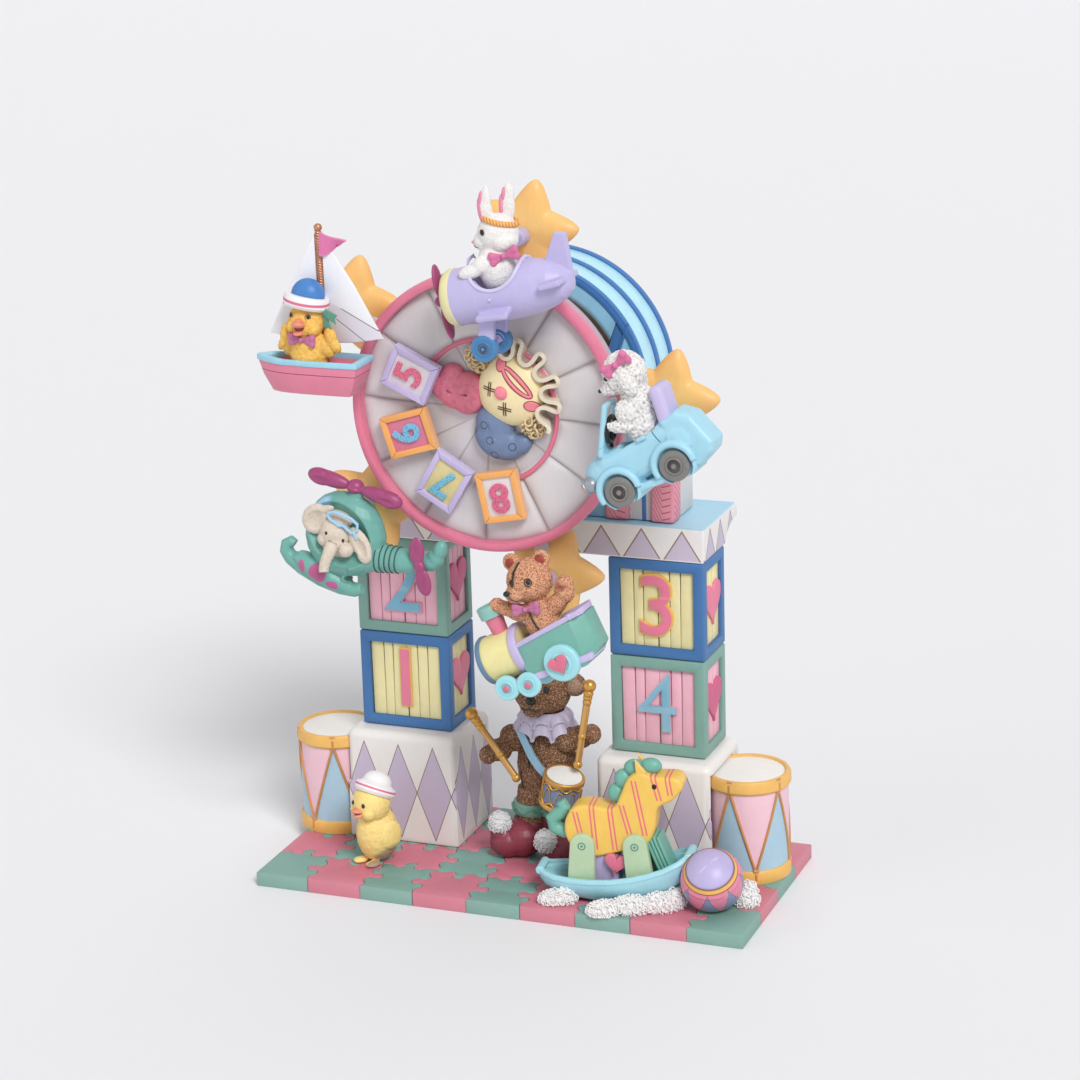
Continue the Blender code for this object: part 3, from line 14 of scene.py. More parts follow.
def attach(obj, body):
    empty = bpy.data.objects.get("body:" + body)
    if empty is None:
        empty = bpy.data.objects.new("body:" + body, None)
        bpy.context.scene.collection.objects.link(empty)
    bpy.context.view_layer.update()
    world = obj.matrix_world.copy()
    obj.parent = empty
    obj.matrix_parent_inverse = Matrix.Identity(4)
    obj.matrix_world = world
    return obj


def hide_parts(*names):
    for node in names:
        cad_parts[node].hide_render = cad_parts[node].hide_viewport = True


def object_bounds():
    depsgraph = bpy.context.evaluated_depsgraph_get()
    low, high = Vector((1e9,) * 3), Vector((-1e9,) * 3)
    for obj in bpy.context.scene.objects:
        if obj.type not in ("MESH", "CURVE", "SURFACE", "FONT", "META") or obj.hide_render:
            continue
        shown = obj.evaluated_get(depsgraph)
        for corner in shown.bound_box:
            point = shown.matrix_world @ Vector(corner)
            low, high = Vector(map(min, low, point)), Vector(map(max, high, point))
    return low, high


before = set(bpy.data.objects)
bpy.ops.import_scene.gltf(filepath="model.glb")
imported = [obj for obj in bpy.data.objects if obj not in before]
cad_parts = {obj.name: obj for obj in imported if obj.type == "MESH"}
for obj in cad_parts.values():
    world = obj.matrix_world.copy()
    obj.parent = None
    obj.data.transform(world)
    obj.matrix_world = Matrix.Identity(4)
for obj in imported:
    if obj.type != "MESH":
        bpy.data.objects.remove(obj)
CAD_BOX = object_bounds()

bl_info = {
    "name": "Ferris Wheel Music Box",
    "version": (1, 0, 0),
    "blender": (4, 5, 0),
    "location": "3D View > Sidebar > Music Box",
    "description": "Builds the painted pieces of a ferris wheel music box on its frame",
    "category": "Add Mesh",
}

MM = 0.001


# Shapes. Each maker returns a function that gives one closed mesh, facing outwards.


def placed(centre=(0, 0, 0), turn=(0, 0, 0)):
    x, y, z = (math.radians(angle) for angle in turn)
    spun = Matrix.Rotation(z, 4, "Z") @ Matrix.Rotation(y, 4, "Y") @ Matrix.Rotation(x, 4, "X")
    return Matrix.Translation(centre) @ spun


def soften(mesh, edges, rounding, steps):
    bmesh.ops.bevel(
        mesh, geom=edges, offset=rounding, offset_type="OFFSET", segments=steps, profile=0.5,
        affect="EDGES", material=-1,
    )


def ball(centre, radii, turn=(0, 0, 0), fine=20):
    """An ellipsoid."""

    def make():
        mesh = bmesh.new()
        sides = radii if isinstance(radii, tuple) else (radii,) * 3
        where = placed(centre, turn) @ Matrix.Diagonal((*sides, 1))
        rings = fine // 2
        bmesh.ops.create_uvsphere(mesh, u_segments=fine, v_segments=rings, radius=1, matrix=where)
        return mesh

    return make


def box(centre, size, turn=(0, 0, 0), rounding=0.0, steps=3):
    def make():
        mesh = bmesh.new()
        bmesh.ops.create_cube(mesh, size=1, matrix=Matrix.Diagonal((*size, 1)))
        if rounding:
            soften(mesh, mesh.edges[:], rounding, steps)
        mesh.transform(placed(centre, turn))
        return mesh

    return make


def rod(start, end, radius, end_radius=None, sides=24, rounding=0.0):
    """A round bar or cone between two points, its rims rounded if asked."""
    start, end = Vector(start), Vector(end)
    end_radius = radius if end_radius is None else end_radius

    def make():
        mesh = bmesh.new()
        along = end - start
        bmesh.ops.create_cone(
            mesh, cap_ends=True, segments=sides, radius1=radius, radius2=end_radius,
            depth=along.length,
        )
        if rounding:
            rims = [
                edge for edge in mesh.edges if abs(edge.verts[0].co.z - edge.verts[1].co.z) < 1e-5
            ]
            soften(mesh, rims, rounding, 3)
        aimed = along.to_track_quat("Z", "Y").to_matrix().to_4x4()
        mesh.transform(Matrix.Translation((start + end) / 2) @ aimed)
        return mesh

    return make


def board(outline, near, far, rounding=0.0, steps=3):
    """A flat outline in X and Z, extruded from Y = near to Y = far, its rims rounded."""

    def make():
        mesh = bmesh.new()
        face = mesh.faces.new([mesh.verts.new((x, near, z)) for x, z in outline])
        made = bmesh.ops.extrude_face_region(mesh, geom=[face])["geom"]
        ends = [vert for vert in made if isinstance(vert, bmesh.types.BMVert)]
        bmesh.ops.translate(mesh, vec=(0, far - near, 0), verts=ends)
        if rounding:
            level = [edge for edge in mesh.edges if edge.verts[0].co.y == edge.verts[1].co.y]
            soften(mesh, level, rounding, steps)
        bmesh.ops.recalc_face_normals(mesh, faces=mesh.faces)
        return mesh

    return make


def lathe(profile, centre=(0, 0, 0), turn=(0, 0, 0), sides=48):
    """A profile of (radius, height) points spun about Z; off the axis at its ends it is a ring."""

    def make():
        mesh = bmesh.new()
        verts = [mesh.verts.new((radius, 0, height)) for radius, height in profile]
        count = len(verts)
        on_axis = profile[0][0] == 0 and profile[-1][0] == 0
        last = count - 1 if on_axis else count
        edges = [mesh.edges.new((verts[i], verts[(i + 1) % count])) for i in range(last)]
        bmesh.ops.spin(
            mesh, geom=verts + edges, cent=(0, 0, 0), axis=(0, 0, 1), angle=math.tau, steps=sides,
            use_merge=True,
        )
        bmesh.ops.remove_doubles(mesh, verts=mesh.verts, dist=1e-4)
        bmesh.ops.recalc_face_normals(mesh, faces=mesh.faces)
        mesh.transform(placed(centre, turn))
        return mesh

    return make


def loft(rings):
    """A skin over rings of points, each with the same count, closed at both ends."""

    def make():
        mesh = bmesh.new()
        loops = []
        for ring in rings:
            verts = [mesh.verts.new(point) for point in ring]
            count = len(verts)
            loops.append([mesh.edges.new((verts[i], verts[(i + 1) % count])) for i in range(count)])
            if ring is rings[0] or ring is rings[-1]:
                mesh.faces.new(verts)
        for first, second in zip(loops, loops[1:]):
            bmesh.ops.bridge_loops(mesh, edges=first + second)
        bmesh.ops.recalc_face_normals(mesh, faces=mesh.faces)
        return mesh

    return make


def sheet(surface, across, along, thickness):
    """A grid whose points go where surface(u, v) says, u and v from 0 to 1, given a thickness."""

    def make():
        mesh = bmesh.new()
        bmesh.ops.create_grid(mesh, x_segments=across, y_segments=along, size=0.5)
        for vert in mesh.verts:
            vert.co = Vector(surface(vert.co.x + 0.5, vert.co.y + 0.5))
        bmesh.ops.remove_doubles(mesh, verts=mesh.verts, dist=1e-4)
        bmesh.ops.recalc_face_normals(mesh, faces=mesh.faces)
        mesh.normal_update()
        made = bmesh.ops.extrude_face_region(mesh, geom=mesh.faces[:], use_keep_orig=True)["geom"]
        for vert in made:
            if isinstance(vert, bmesh.types.BMVert):
                vert.co -= vert.normal * thickness
        bmesh.ops.recalc_face_normals(mesh, faces=mesh.faces)
        return mesh

    return make


def from_curve(curve, matrix=Matrix()):
    """The mesh of a curve or a text, which is then removed."""
    holder = bpy.data.objects.new("curve", curve)
    bpy.context.scene.collection.objects.link(holder)
    graph = bpy.context.evaluated_depsgraph_get()
    data = bpy.data.meshes.new_from_object(holder.evaluated_get(graph))
    bpy.data.objects.remove(holder)
    mesh = bmesh.new()
    mesh.from_mesh(data)
    bpy.data.meshes.remove(data)
    bpy.data.curves.remove(curve)
    bmesh.ops.remove_doubles(mesh, verts=mesh.verts, dist=1e-4)
    bmesh.ops.recalc_face_normals(mesh, faces=mesh.faces)
    mesh.transform(matrix)
    return mesh


def tube(points, radius, closed=False, swell=None, fine=3):
    """A round wire along points; swell gives its thickness at each point."""

    def make():
        curve = bpy.data.curves.new("wire", "CURVE")
        curve.dimensions = "3D"
        curve.bevel_depth = radius
        curve.bevel_resolution = fine
        curve.use_fill_caps = True
        line = curve.splines.new("POLY")
        line.points.add(len(points) - 1)
        line.use_cyclic_u = closed
        for index, point in enumerate(points):
            line.points[index].co = (*point, 1)
            line.points[index].radius = swell[index] if swell else 1
        return from_curve(curve)

    return make


def hoop(centre, radius, wire, turn=(0, 0, 0), sides=40):
    """A closed ring of wire about Z; the radius may be a pair for an oval."""
    wide, deep = radius if isinstance(radius, tuple) else (radius, radius)
    where = placed(centre, turn)
    steps = [math.tau * step / sides for step in range(sides)]
    return tube(
        [where @ Vector((wide * math.cos(t), deep * math.sin(t), 0)) for t in steps], wire, True
    )


def numeral(text, height, near, far, bold=0.0):
    """A plain numeral in the X Z plane, facing -Y.

    A bold or rounded 4 would fold over in its counter, so it stays as the font draws it.
    """

    def make():
        curve = bpy.data.curves.new("numeral", "FONT")
        curve.body = text
        curve.size = height / 0.7
        curve.align_x = "CENTER"
        curve.align_y = "CENTER"
        plain_face = text == "4"
        curve.offset = 0 if plain_face else bold
        curve.extrude = (far - near) / 2
        curve.bevel_depth = 0 if plain_face else 0.12
        curve.bevel_resolution = 2
        return from_curve(curve, placed((0, (near + far) / 2, 0), (90, 0, 0)))

    return make


def moved(shape, matrix):
    def make():
        mesh = shape()
        mesh.transform(matrix)
        if matrix.determinant() < 0:
            bmesh.ops.reverse_faces(mesh, faces=mesh.faces)
        return mesh

    return make


def heart(height, steps=44):
    """The outline of a plain heart, point down."""
    points = []
    for step in range(steps):
        t = math.tau * step / steps
        x = 16 * math.sin(t) ** 3
        z = 13 * math.cos(t) - 5 * math.cos(2 * t) - 2 * math.cos(3 * t) - math.cos(4 * t)
        points.append((x * height / 29, (z + 2.5) * height / 29))
    return points


def bow(centre, size, turn=(0, 0, 0)):
    """The shapes of a bow tie, and the creases to cut from it."""
    where = placed(centre, turn) @ Matrix.Diagonal((size, size, size, 1))
    shapes, creases = [ball((0, -0.12, 0), (0.16, 0.2, 0.2))], []
    for end in (-1, 1):
        for lift in (-1, 1):
            loop = rod((0.05 * end, 0, 0.02 * lift), (0.88 * end, 0, 0.2 * lift), 0.1, 0.3)
            shapes.append(moved(loop, Matrix.Diagonal((1, 0.6, 1, 1))))
            shapes.append(ball((0.74 * end, 0, 0.2 * lift), (0.24, 0.2, 0.26)))
        for lean in (-0.2, 0.02, 0.24):
            line = [
                (0.16 * end, -0.12, lean * 0.2), (0.5 * end, -0.2, lean * 0.7),
                (0.86 * end, -0.26, lean)
            ]
            creases.append(tube(line, 0.055))
    return [moved(shape, where) for shape in shapes], [moved(shape, where) for shape in creases]


def cleaned(data):
    """Merges stray points, drops slivers and splits the many-sided faces."""
    mesh = bmesh.new()
    mesh.from_mesh(data)
    bmesh.ops.remove_doubles(mesh, verts=mesh.verts, dist=1e-4)
    bmesh.ops.dissolve_degenerate(mesh, edges=mesh.edges, dist=1e-4)
    bmesh.ops.triangulate(mesh, faces=[face for face in mesh.faces if len(face.verts) > 4])
    mesh.to_mesh(data)
    mesh.free()


def kept_inside(data):
    """Presses what stands a hair proud of the CAD box back to it."""
    spots = np.empty(len(data.vertices) * 3)
    data.vertices.foreach_get("co", spots)
    spots = np.clip(spots.reshape(-1, 3), *CAD_BOX)
    data.vertices.foreach_set("co", spots.ravel())
    data.update()


def joined(shapes):
    whole = bmesh.new()
    data = bpy.data.meshes.new("part")
    for shape in shapes:
        part = shape()
        part.to_mesh(data)
        part.free()
        whole.from_mesh(data)
    bpy.data.meshes.remove(data)
    return whole


def object_of(name, shapes):
    mesh = joined(shapes)
    data = bpy.data.meshes.new(name)
    mesh.to_mesh(data)
    mesh.free()
    made = bpy.data.objects.new(name, data)
    bpy.context.scene.collection.objects.link(made)
    return made


def curled(made, kind, size, depth):
    """Fine relief over the surface, from a noise that Blender works out."""
    noise = bpy.data.textures.new("relief", kind)
    noise.noise_scale = size
    step = made.modifiers.new("relief", "DISPLACE")
    step.texture = noise
    step.texture_coords = "LOCAL"
    step.strength = depth
    step.mid_level = 0.5


def piece(
    name, body, finish, shapes, place=None, cast=0.0, soft=8, cut=(), curl=None, edge=0.0,
    sharp=35, replaces=(),
):
    """A finished piece, its shapes drawn about a place of their own.

    cast melts the shapes into one skin with that grain, soft smooths it, cut carves it, curl
    gives it a relief (kind, size, depth) and edge rounds its corners.
    """
    draft = object_of(name, shapes)
    cutter = object_of("cutter", cut) if cut else None
    if cutter:
        step = draft.modifiers.new("carve", "BOOLEAN")
        step.operation = "DIFFERENCE"
        step.object = cutter
        step.solver = "EXACT"
        step.use_self = True
    if cast:
        step = draft.modifiers.new("melt", "REMESH")
        step.mode = "VOXEL"
        step.voxel_size = cast
        step = draft.modifiers.new("smooth", "SMOOTH")
        step.factor = 0.5
        step.iterations = soft
    if curl:
        curled(draft, *curl)
    if edge:
        step = draft.modifiers.new("edge", "BEVEL")
        step.width = edge
        step.segments = 2
        step.limit_method = "ANGLE"
        step.angle_limit = math.radians(40)
    graph = bpy.context.evaluated_depsgraph_get()
    data = bpy.data.meshes.new_from_object(draft.evaluated_get(graph))
    for used in (draft, cutter):
        if used:
            bpy.data.objects.remove(used)
    if not data.polygons:
        raise RuntimeError(f"{name} came out with no faces")
    if not cast:
        cleaned(data)
    data.transform(Matrix.Diagonal((MM, MM, MM, 1)) @ (place or Matrix()))
    kept_inside(data)
    data.name = name
    made = bpy.data.objects.new(name, data)
    bpy.context.scene.collection.objects.link(made)
    data.materials.clear()
    data.materials.append(finish)
    data.shade_smooth()
    if not cast:
        data.set_sharp_from_angle(angle=math.radians(sharp))
    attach(made, body)
    if replaces:
        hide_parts(*replaces)
    return made


# Finishes


class Field:
    """A number over a surface. Sums on it add Math nodes to its material."""

    def __init__(self, tree, socket):
        self.tree = tree
        self.socket = socket

    def math(self, operation, *others, clamp=False):
        node = self.tree.nodes.new("ShaderNodeMath")
        node.operation = operation
        node.use_clamp = clamp
        for place, value in enumerate((self, *others)):
            if isinstance(value, Field):
                self.tree.links.new(value.socket, node.inputs[place])
            else:
                node.inputs[place].default_value = value
        return Field(self.tree, node.outputs[0])

    def __add__(self, other):
        return self.math("ADD", other)

    def __sub__(self, other):
        return self.math("SUBTRACT", other)

    def __mul__(self, other):
        return self.math("MULTIPLY", other)

    def __abs__(self):
        return self.math("ABSOLUTE")

    def rest(self, period):
        """How far along its period, from 0 to 1."""
        return (self * (1 / period)).math("FRACT")

    def zigzag(self, period):
        """1 at whole periods and 0 half way between them."""
        return abs(self.rest(period) - 0.5) * 2

    def below(self, limit, soft=0.02):
        """1 where the number is under the limit, with a soft edge."""
        other = limit if isinstance(limit, Field) else None
        gap = (other - self) if other else (self * -1 + limit)
        return (gap * (1 / soft) + 0.5).math("ADD", 0, clamp=True)

    def above(self, limit, soft=0.02):
        return self.below(limit, soft) * -1 + 1

    def near(self, limit, width, soft=0.02):
        gap = abs(self - limit)
        return gap.below(width, soft)

    def either(self, other):
        return self.math("MAXIMUM", other)


def shade(colour):
    """An sRGB colour as the shader's own numbers."""
    return [c / 12.92 if c <= 0.04045 else ((c + 0.055) / 1.055) ** 2.4 for c in colour] + [1.0]


def mixed(tree, factor, under, over):
    node = tree.nodes.new("ShaderNodeMix")
    node.data_type = "RGBA"
    tree.links.new(factor.socket, node.inputs[0])
    for place, value in ((6, under), (7, over)):
        if isinstance(value, bpy.types.NodeSocket):
            tree.links.new(value, node.inputs[place])
        else:
            node.inputs[place].default_value = shade(value)
    return node.outputs[2]


def noise(tree, coordinates, scale, detail=3.0, stretch=None):
    node = tree.nodes.new("ShaderNodeTexNoise")
    node.inputs["Detail"].default_value = detail
    if stretch:
        mapping = tree.nodes.new("ShaderNodeMapping")
        mapping.inputs["Scale"].default_value = stretch
        tree.links.new(coordinates, mapping.inputs["Vector"])
        coordinates = mapping.outputs["Vector"]
    tree.links.new(coordinates, node.inputs["Vector"])
    if isinstance(scale, bpy.types.NodeSocket):
        tree.links.new(scale, node.inputs["Scale"])
    else:
        node.inputs["Scale"].default_value = scale
    return Field(tree, node.outputs["Fac"])


def group_with(name, inputs, outputs):
    tree = bpy.data.node_groups.new(name, "ShaderNodeTree")
    for label, kind, value in inputs:
        socket = tree.interface.new_socket(label, in_out="INPUT", socket_type=kind)
        socket.default_value = value
    for label, kind in outputs:
        tree.interface.new_socket(label, in_out="OUTPUT", socket_type=kind)
    return tree, tree.nodes.new("NodeGroupInput"), tree.nodes.new("NodeGroupOutput")


FLOAT, COLOUR = "NodeSocketFloat", "NodeSocketColor"
UMBER = (0.36, 0.24, 0.17)
FINISHES = {}


def resin_group():
    """Hand-painted cast resin: uneven paint, a brown wash in the hollows, rubbed edges, flecks."""
    found = bpy.data.node_groups.get("painted_resin")
    if found:
        return found
    tree, given, out = group_with(
        "painted_resin",
        [
            ("Colour", COLOUR, (1, 1, 1, 1)), ("Wash Colour", COLOUR, (0.1, 0.05, 0.03, 1)),
            ("Fleck Colour", COLOUR, (0.1, 0.05, 0.03, 1)), ("Washed", FLOAT, 0.5),
            ("Mottle", FLOAT, 0.06), ("Flecked", FLOAT, 0.0), ("Fleck Scale", FLOAT, 900.0),
            ("Roughness", FLOAT, 0.5), ("Grain", FLOAT, 0.4),
        ],
        [("Colour", COLOUR), ("Roughness", FLOAT), ("Height", FLOAT)],
    )
    value = {
        label: Field(tree, given.outputs[label])
        for label in ("Washed", "Mottle", "Flecked", "Grain")
    }
    where = tree.nodes.new("ShaderNodeTexCoord").outputs["Object"]
    broad = noise(tree, where, 150, 4)
    brushed = noise(tree, where, 700, 3, (1, 1, 0.35))
    fine = noise(tree, where, 2600, 2)
    fleck = noise(tree, where, given.outputs["Fleck Scale"], 2)
    bend = Field(tree, tree.nodes.new("ShaderNodeNewGeometry").outputs["Pointiness"])
    tone = ((broad - 0.5) * 1.6 + (brushed - 0.5)) * value["Mottle"] + 1
    toned = tree.nodes.new("ShaderNodeHueSaturation")
    tree.links.new(given.outputs["Colour"], toned.inputs["Color"])
    tree.links.new(tone.socket, toned.inputs["Value"])
    hollow = (bend * -1 + 0.4945).math("MULTIPLY", 22, clamp=True) * value["Washed"]
    hollow = hollow * ((broad - 0.5) * 1.5 + 0.9).math("ADD", 0, clamp=True)
    colour = mixed(tree, hollow, toned.outputs["Color"], given.outputs["Wash Colour"])
    ridge = (bend - 0.53).math("MULTIPLY", 5, clamp=True) * 0.22
    colour = mixed(tree, ridge, colour, (0.97, 0.95, 0.92))
    spots = (fleck - 0.5).math("MULTIPLY", 9, clamp=True) * value["Flecked"]
    colour = mixed(tree, spots, colour, given.outputs["Fleck Colour"])
    tree.links.new(colour, out.inputs["Colour"])
    rough = Field(tree, given.outputs["Roughness"]) + (broad - 0.5) * 0.22 + (brushed - 0.5) * 0.12
    tree.links.new(rough.socket, out.inputs["Roughness"])
    height = (fine + brushed * 0.8) * value["Grain"] - spots * 1.2
    tree.links.new(height.socket, out.inputs["Height"])
    return tree


def metal_group():
    """Turned or rolled metal: fine brushing and light tarnish."""
    found = bpy.data.node_groups.get("brushed_metal")
    if found:
        return found
    tree, given, out = group_with(
        "brushed_metal",
        [
            ("Colour", COLOUR, (0.8, 0.8, 0.8, 1)), ("Tarnish", FLOAT, 0.3),
            ("Roughness", FLOAT, 0.3)
        ],
        [("Colour", COLOUR), ("Roughness", FLOAT), ("Height", FLOAT)],
    )
    where = tree.nodes.new("ShaderNodeTexCoord").outputs["Object"]
    broad = noise(tree, where, 220, 4)
    brushed = noise(tree, where, 1500, 2, (1, 0.08, 1))
    dull = (broad - 0.45).math("MULTIPLY", 3, clamp=True) * Field(tree, given.outputs["Tarnish"])
    colour = mixed(tree, dull, given.outputs["Colour"], (0.34, 0.27, 0.18))
    tree.links.new(colour, out.inputs["Colour"])
    rough = Field(tree, given.outputs["Roughness"]) + dull * 0.4 + (brushed - 0.5) * 0.3
    tree.links.new(rough.socket, out.inputs["Roughness"])
    tree.links.new(brushed.socket, out.inputs["Height"])
    return tree


def surfaced(material, group, values, relief):
    """Places a group in a material and joins it to the shader."""
    tree = material.node_tree
    shader = tree.nodes["Principled BSDF"]
    node = tree.nodes.new("ShaderNodeGroup")
    node.node_tree = group
    for label, value in values.items():
        socket = node.inputs[label]
        socket.default_value = shade(value) if isinstance(value, tuple) else value
    tree.links.new(node.outputs["Colour"], shader.inputs["Base Color"])
    tree.links.new(node.outputs["Roughness"], shader.inputs["Roughness"])
    bump = tree.nodes.new("ShaderNodeBump")
    bump.inputs["Distance"].default_value = relief
    bump.inputs["Strength"].default_value = 0.6
    tree.links.new(node.outputs["Height"], bump.inputs["Height"])
    tree.links.new(bump.outputs["Normal"], shader.inputs["Normal"])
    return node


def resin(
    name, colour, layers=None, place=None, wash=UMBER, washed=0.55, mottle=0.07, fleck=UMBER,
    flecked=0.0, fleck_scale=900.0, roughness=0.52, grain=0.4, relief=0.00012, metallic=0.0,
    coat=0.0,
):
    """A painted resin finish. layers(x, y, z, facing) lists (mask, colour) over the ground.

    The fields are millimetres in the place's own frame; facing is |normal x| in the model's.
    """
    if name in FINISHES:
        return FINISHES[name]
    material = bpy.data.materials.new(f"{name}_paint")
    FINISHES[name] = material
    material.use_nodes = True
    material.diffuse_color = shade(colour)
    tree = material.node_tree
    shader = tree.nodes["Principled BSDF"]
    shader.inputs["Metallic"].default_value = metallic
    shader.inputs["Coat Weight"].default_value = coat
    shader.inputs["Coat Roughness"].default_value = 0.35
    shader.inputs["Specular IOR Level"].default_value = 0.4
    values = {
        "Colour": tuple(colour), "Wash Colour": tuple(wash), "Fleck Colour": tuple(fleck),
        "Washed": washed, "Mottle": mottle, "Flecked": flecked, "Fleck Scale": fleck_scale,
        "Roughness": roughness, "Grain": grain,
    }
    node = surfaced(material, resin_group(), values, relief)
    if layers:
        source = tree.nodes.new("ShaderNodeTexCoord")
        mapping = tree.nodes.new("ShaderNodeMapping")
        mapping.vector_type = "TEXTURE"
        where = place or Matrix()
        mapping.inputs["Location"].default_value = where.translation * MM
        mapping.inputs["Rotation"].default_value = where.to_euler()
        mapping.inputs["Scale"].default_value = (MM, MM, MM)
        tree.links.new(source.outputs["Object"], mapping.inputs["Vector"])
        split = tree.nodes.new("ShaderNodeSeparateXYZ")
        tree.links.new(mapping.outputs["Vector"], split.inputs["Vector"])
        turned = tree.nodes.new("ShaderNodeSeparateXYZ")
        tree.links.new(source.outputs["Normal"], turned.inputs["Vector"])
        x, y, z = (Field(tree, split.outputs[axis]) for axis in range(3))
        facing = abs(Field(tree, turned.outputs[0]))
        painted = None
        for mask, over in layers(x, y, z, facing):
            painted = mixed(tree, mask, painted or tuple(colour), tuple(over))
        tree.links.new(painted, node.inputs["Colour"])
    return material


def metal(name, colour, roughness=0.3, tarnish=0.3):
    if name in FINISHES:
        return FINISHES[name]
    material = bpy.data.materials.new(name)
    FINISHES[name] = material
    material.use_nodes = True
    material.diffuse_color = shade(colour)
    material.node_tree.nodes["Principled BSDF"].inputs["Metallic"].default_value = 1.0
    values = {"Colour": tuple(colour), "Tarnish": tarnish, "Roughness": roughness}
    surfaced(material, metal_group(), values, 0.00003)
    return material


def refinish(node, material):
    """A better finish on a solid of the frame that stays in view."""
    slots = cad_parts[node].material_slots
    if not slots:
        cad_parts[node].data.materials.append(material)
    for slot in slots:
        slot.material = material


# The stand


TEAL = (0.48, 0.64, 0.60)
ROSE = (0.80, 0.47, 0.54)
CREAM = (0.92, 0.88, 0.66)
PALE_LILAC = (0.76, 0.71, 0.80)
DEEP_BLUE = (0.24, 0.44, 0.66)
PINK = (0.90, 0.49, 0.60)
PALE_PINK = (0.93, 0.70, 0.77)
PLUM = (0.62, 0.27, 0.45)
OCHRE = (0.90, 0.70, 0.36)
COPPER = (0.80, 0.57, 0.34)
LINE = (0.50, 0.36, 0.25)
BLACK = (0.05, 0.045, 0.045)

SLAB = (200.0, 91.7, 5.5)
SLAB_TOP = 5.8
TOWERS = {"left": -56.3, "right": 49.5}
DRUMS = {"left": (-90.1, 15.0), "right": (83.3, 15.0)}
BLOCK = (38.3, 26.1, 39.2)
BLOCK_Y = 20.95
BLOCK_Z = {"lower": 51.9, "upper": 91.4}
LINTEL_Z = 130.9
LINTEL_TOP = 144.4
RAINBOW_Z = 144.7
RAINBOW_Y = (12.6, 46.1)
AXIS = (-3.6, 193.8)
WHEEL_FRAME = placed((AXIS[0], 0, AXIS[1]))


def jigsaw_edge(start, end, side):
    """The wavy line with one tab between two corners of the jigsaw."""
    wave = (
        (0, 0), (0.14, 0.045), (0.28, -0.05), (0.38, -0.03), (0.43, 0.05), (0.385, 0.12),
        (0.42, 0.19), (0.5, 0.215), (0.58, 0.19), (0.615, 0.12), (0.57, 0.05), (0.62, -0.03),
        (0.72, -0.05), (0.86, 0.045),
    )
    along = end - start
    across = Vector((-along.y, along.x)) * side
    return [start + along * a + across * b for a, b in wave]


def jigsaw_tile(column, row, columns, rows):
    """The outline of a tile, its outer sides straight and past the slab's own."""
    wide, deep = SLAB[0] / columns, SLAB[1] / rows
    x, y = -SLAB[0] / 2 + column * wide, -SLAB[1] / 2 + row * deep
    corners = [Vector(c) for c in ((x, y), (x + wide, y), (x + wide, y + deep), (x, y + deep))]
    signs = ((column * 3 + row) % 2, (column + row * 3 + 1) % 2, (column * 3 + row + 1) % 2,
             (column + row * 3) % 2)
    outer = (row == 0, column == columns - 1, row == rows - 1, column == 0)
    points = []
    for side in range(4):
        start, end = corners[side], corners[(side + 1) % 4]
        if outer[side]:
            points.append(start)
        elif side in (0, 1):
            points += jigsaw_edge(start, end, 1 if signs[side] else -1)
        else:
            line = jigsaw_edge(end, start, 1 if signs[side] else -1)
            points += [start] + line[:0:-1]
    return points


class MUSICBOX_OT_slab(bpy.types.Operator):
    """Jigsaw floor: teal and rose tiles over a dark core that shows in the seams"""

    bl_idname = "music_box.slab"
    bl_label = "Jigsaw Slab"

    def execute(self, context):
        sizes = context.scene.music_box_sizes
        columns, rows = sizes.tile_columns, sizes.tile_rows
        tiles = {"teal": [], "rose": []}
        flat = placed((0, 0, 0), (-90, 0, 0))
        for column in range(columns):
            for row in range(rows):
                outline = jigsaw_tile(column, row, columns, rows)
                centre = sum(outline, Vector((0, 0))) / len(outline)
                inner = [centre + (point - centre) * 0.992 for point in outline]
                shape = board([(x, y) for x, y in inner], -SLAB[2] - 0.2, 0)
                kind = "teal" if (column + row) % 2 == 0 else "rose"
                tiles[kind].append(moved(shape, flat))
        for kind, colour, ground in (("teal", TEAL, "jigsaw_slab"), ("rose", ROSE, "jigsaw_slab")):
            finish = resin(f"{kind}_tile", colour, washed=0.35, mottle=0.08, roughness=0.5)
            made = piece(
                f"slab_tiles_{kind}", "stand", finish, tiles[kind], edge=0.35,
            )
        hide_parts("base_slab")
        core = box((0, 0, 2.55), (SLAB[0] - 1.0, SLAB[1] - 1.0, 5.0), rounding=1.2)
        seam = resin("seam_brown", (0.33, 0.22, 0.20), washed=0)
        piece("slab_core", "stand", seam, [core])
        return {"FINISHED"}


def harlequin(x, y, z, facing):
    """One row of tall lilac diamonds round the pedestal, with fine brown lines."""
    tall = abs((z - 27.4) * (1 / 39.5))
    over_front = (x + 1.0).zigzag(14.8) * -0.5 + 0.5
    over_side = (y - 19.2).zigzag(13.2) * -0.5 + 0.5
    side = facing.above(0.7, 0.2)
    reach = over_front * (side * -1 + 1) + over_side * side
    total = reach + tall
    return [(total.below(0.5, 0.012), PALE_LILAC), (total.near(0.5, 0.011, 0.008), LINE)]


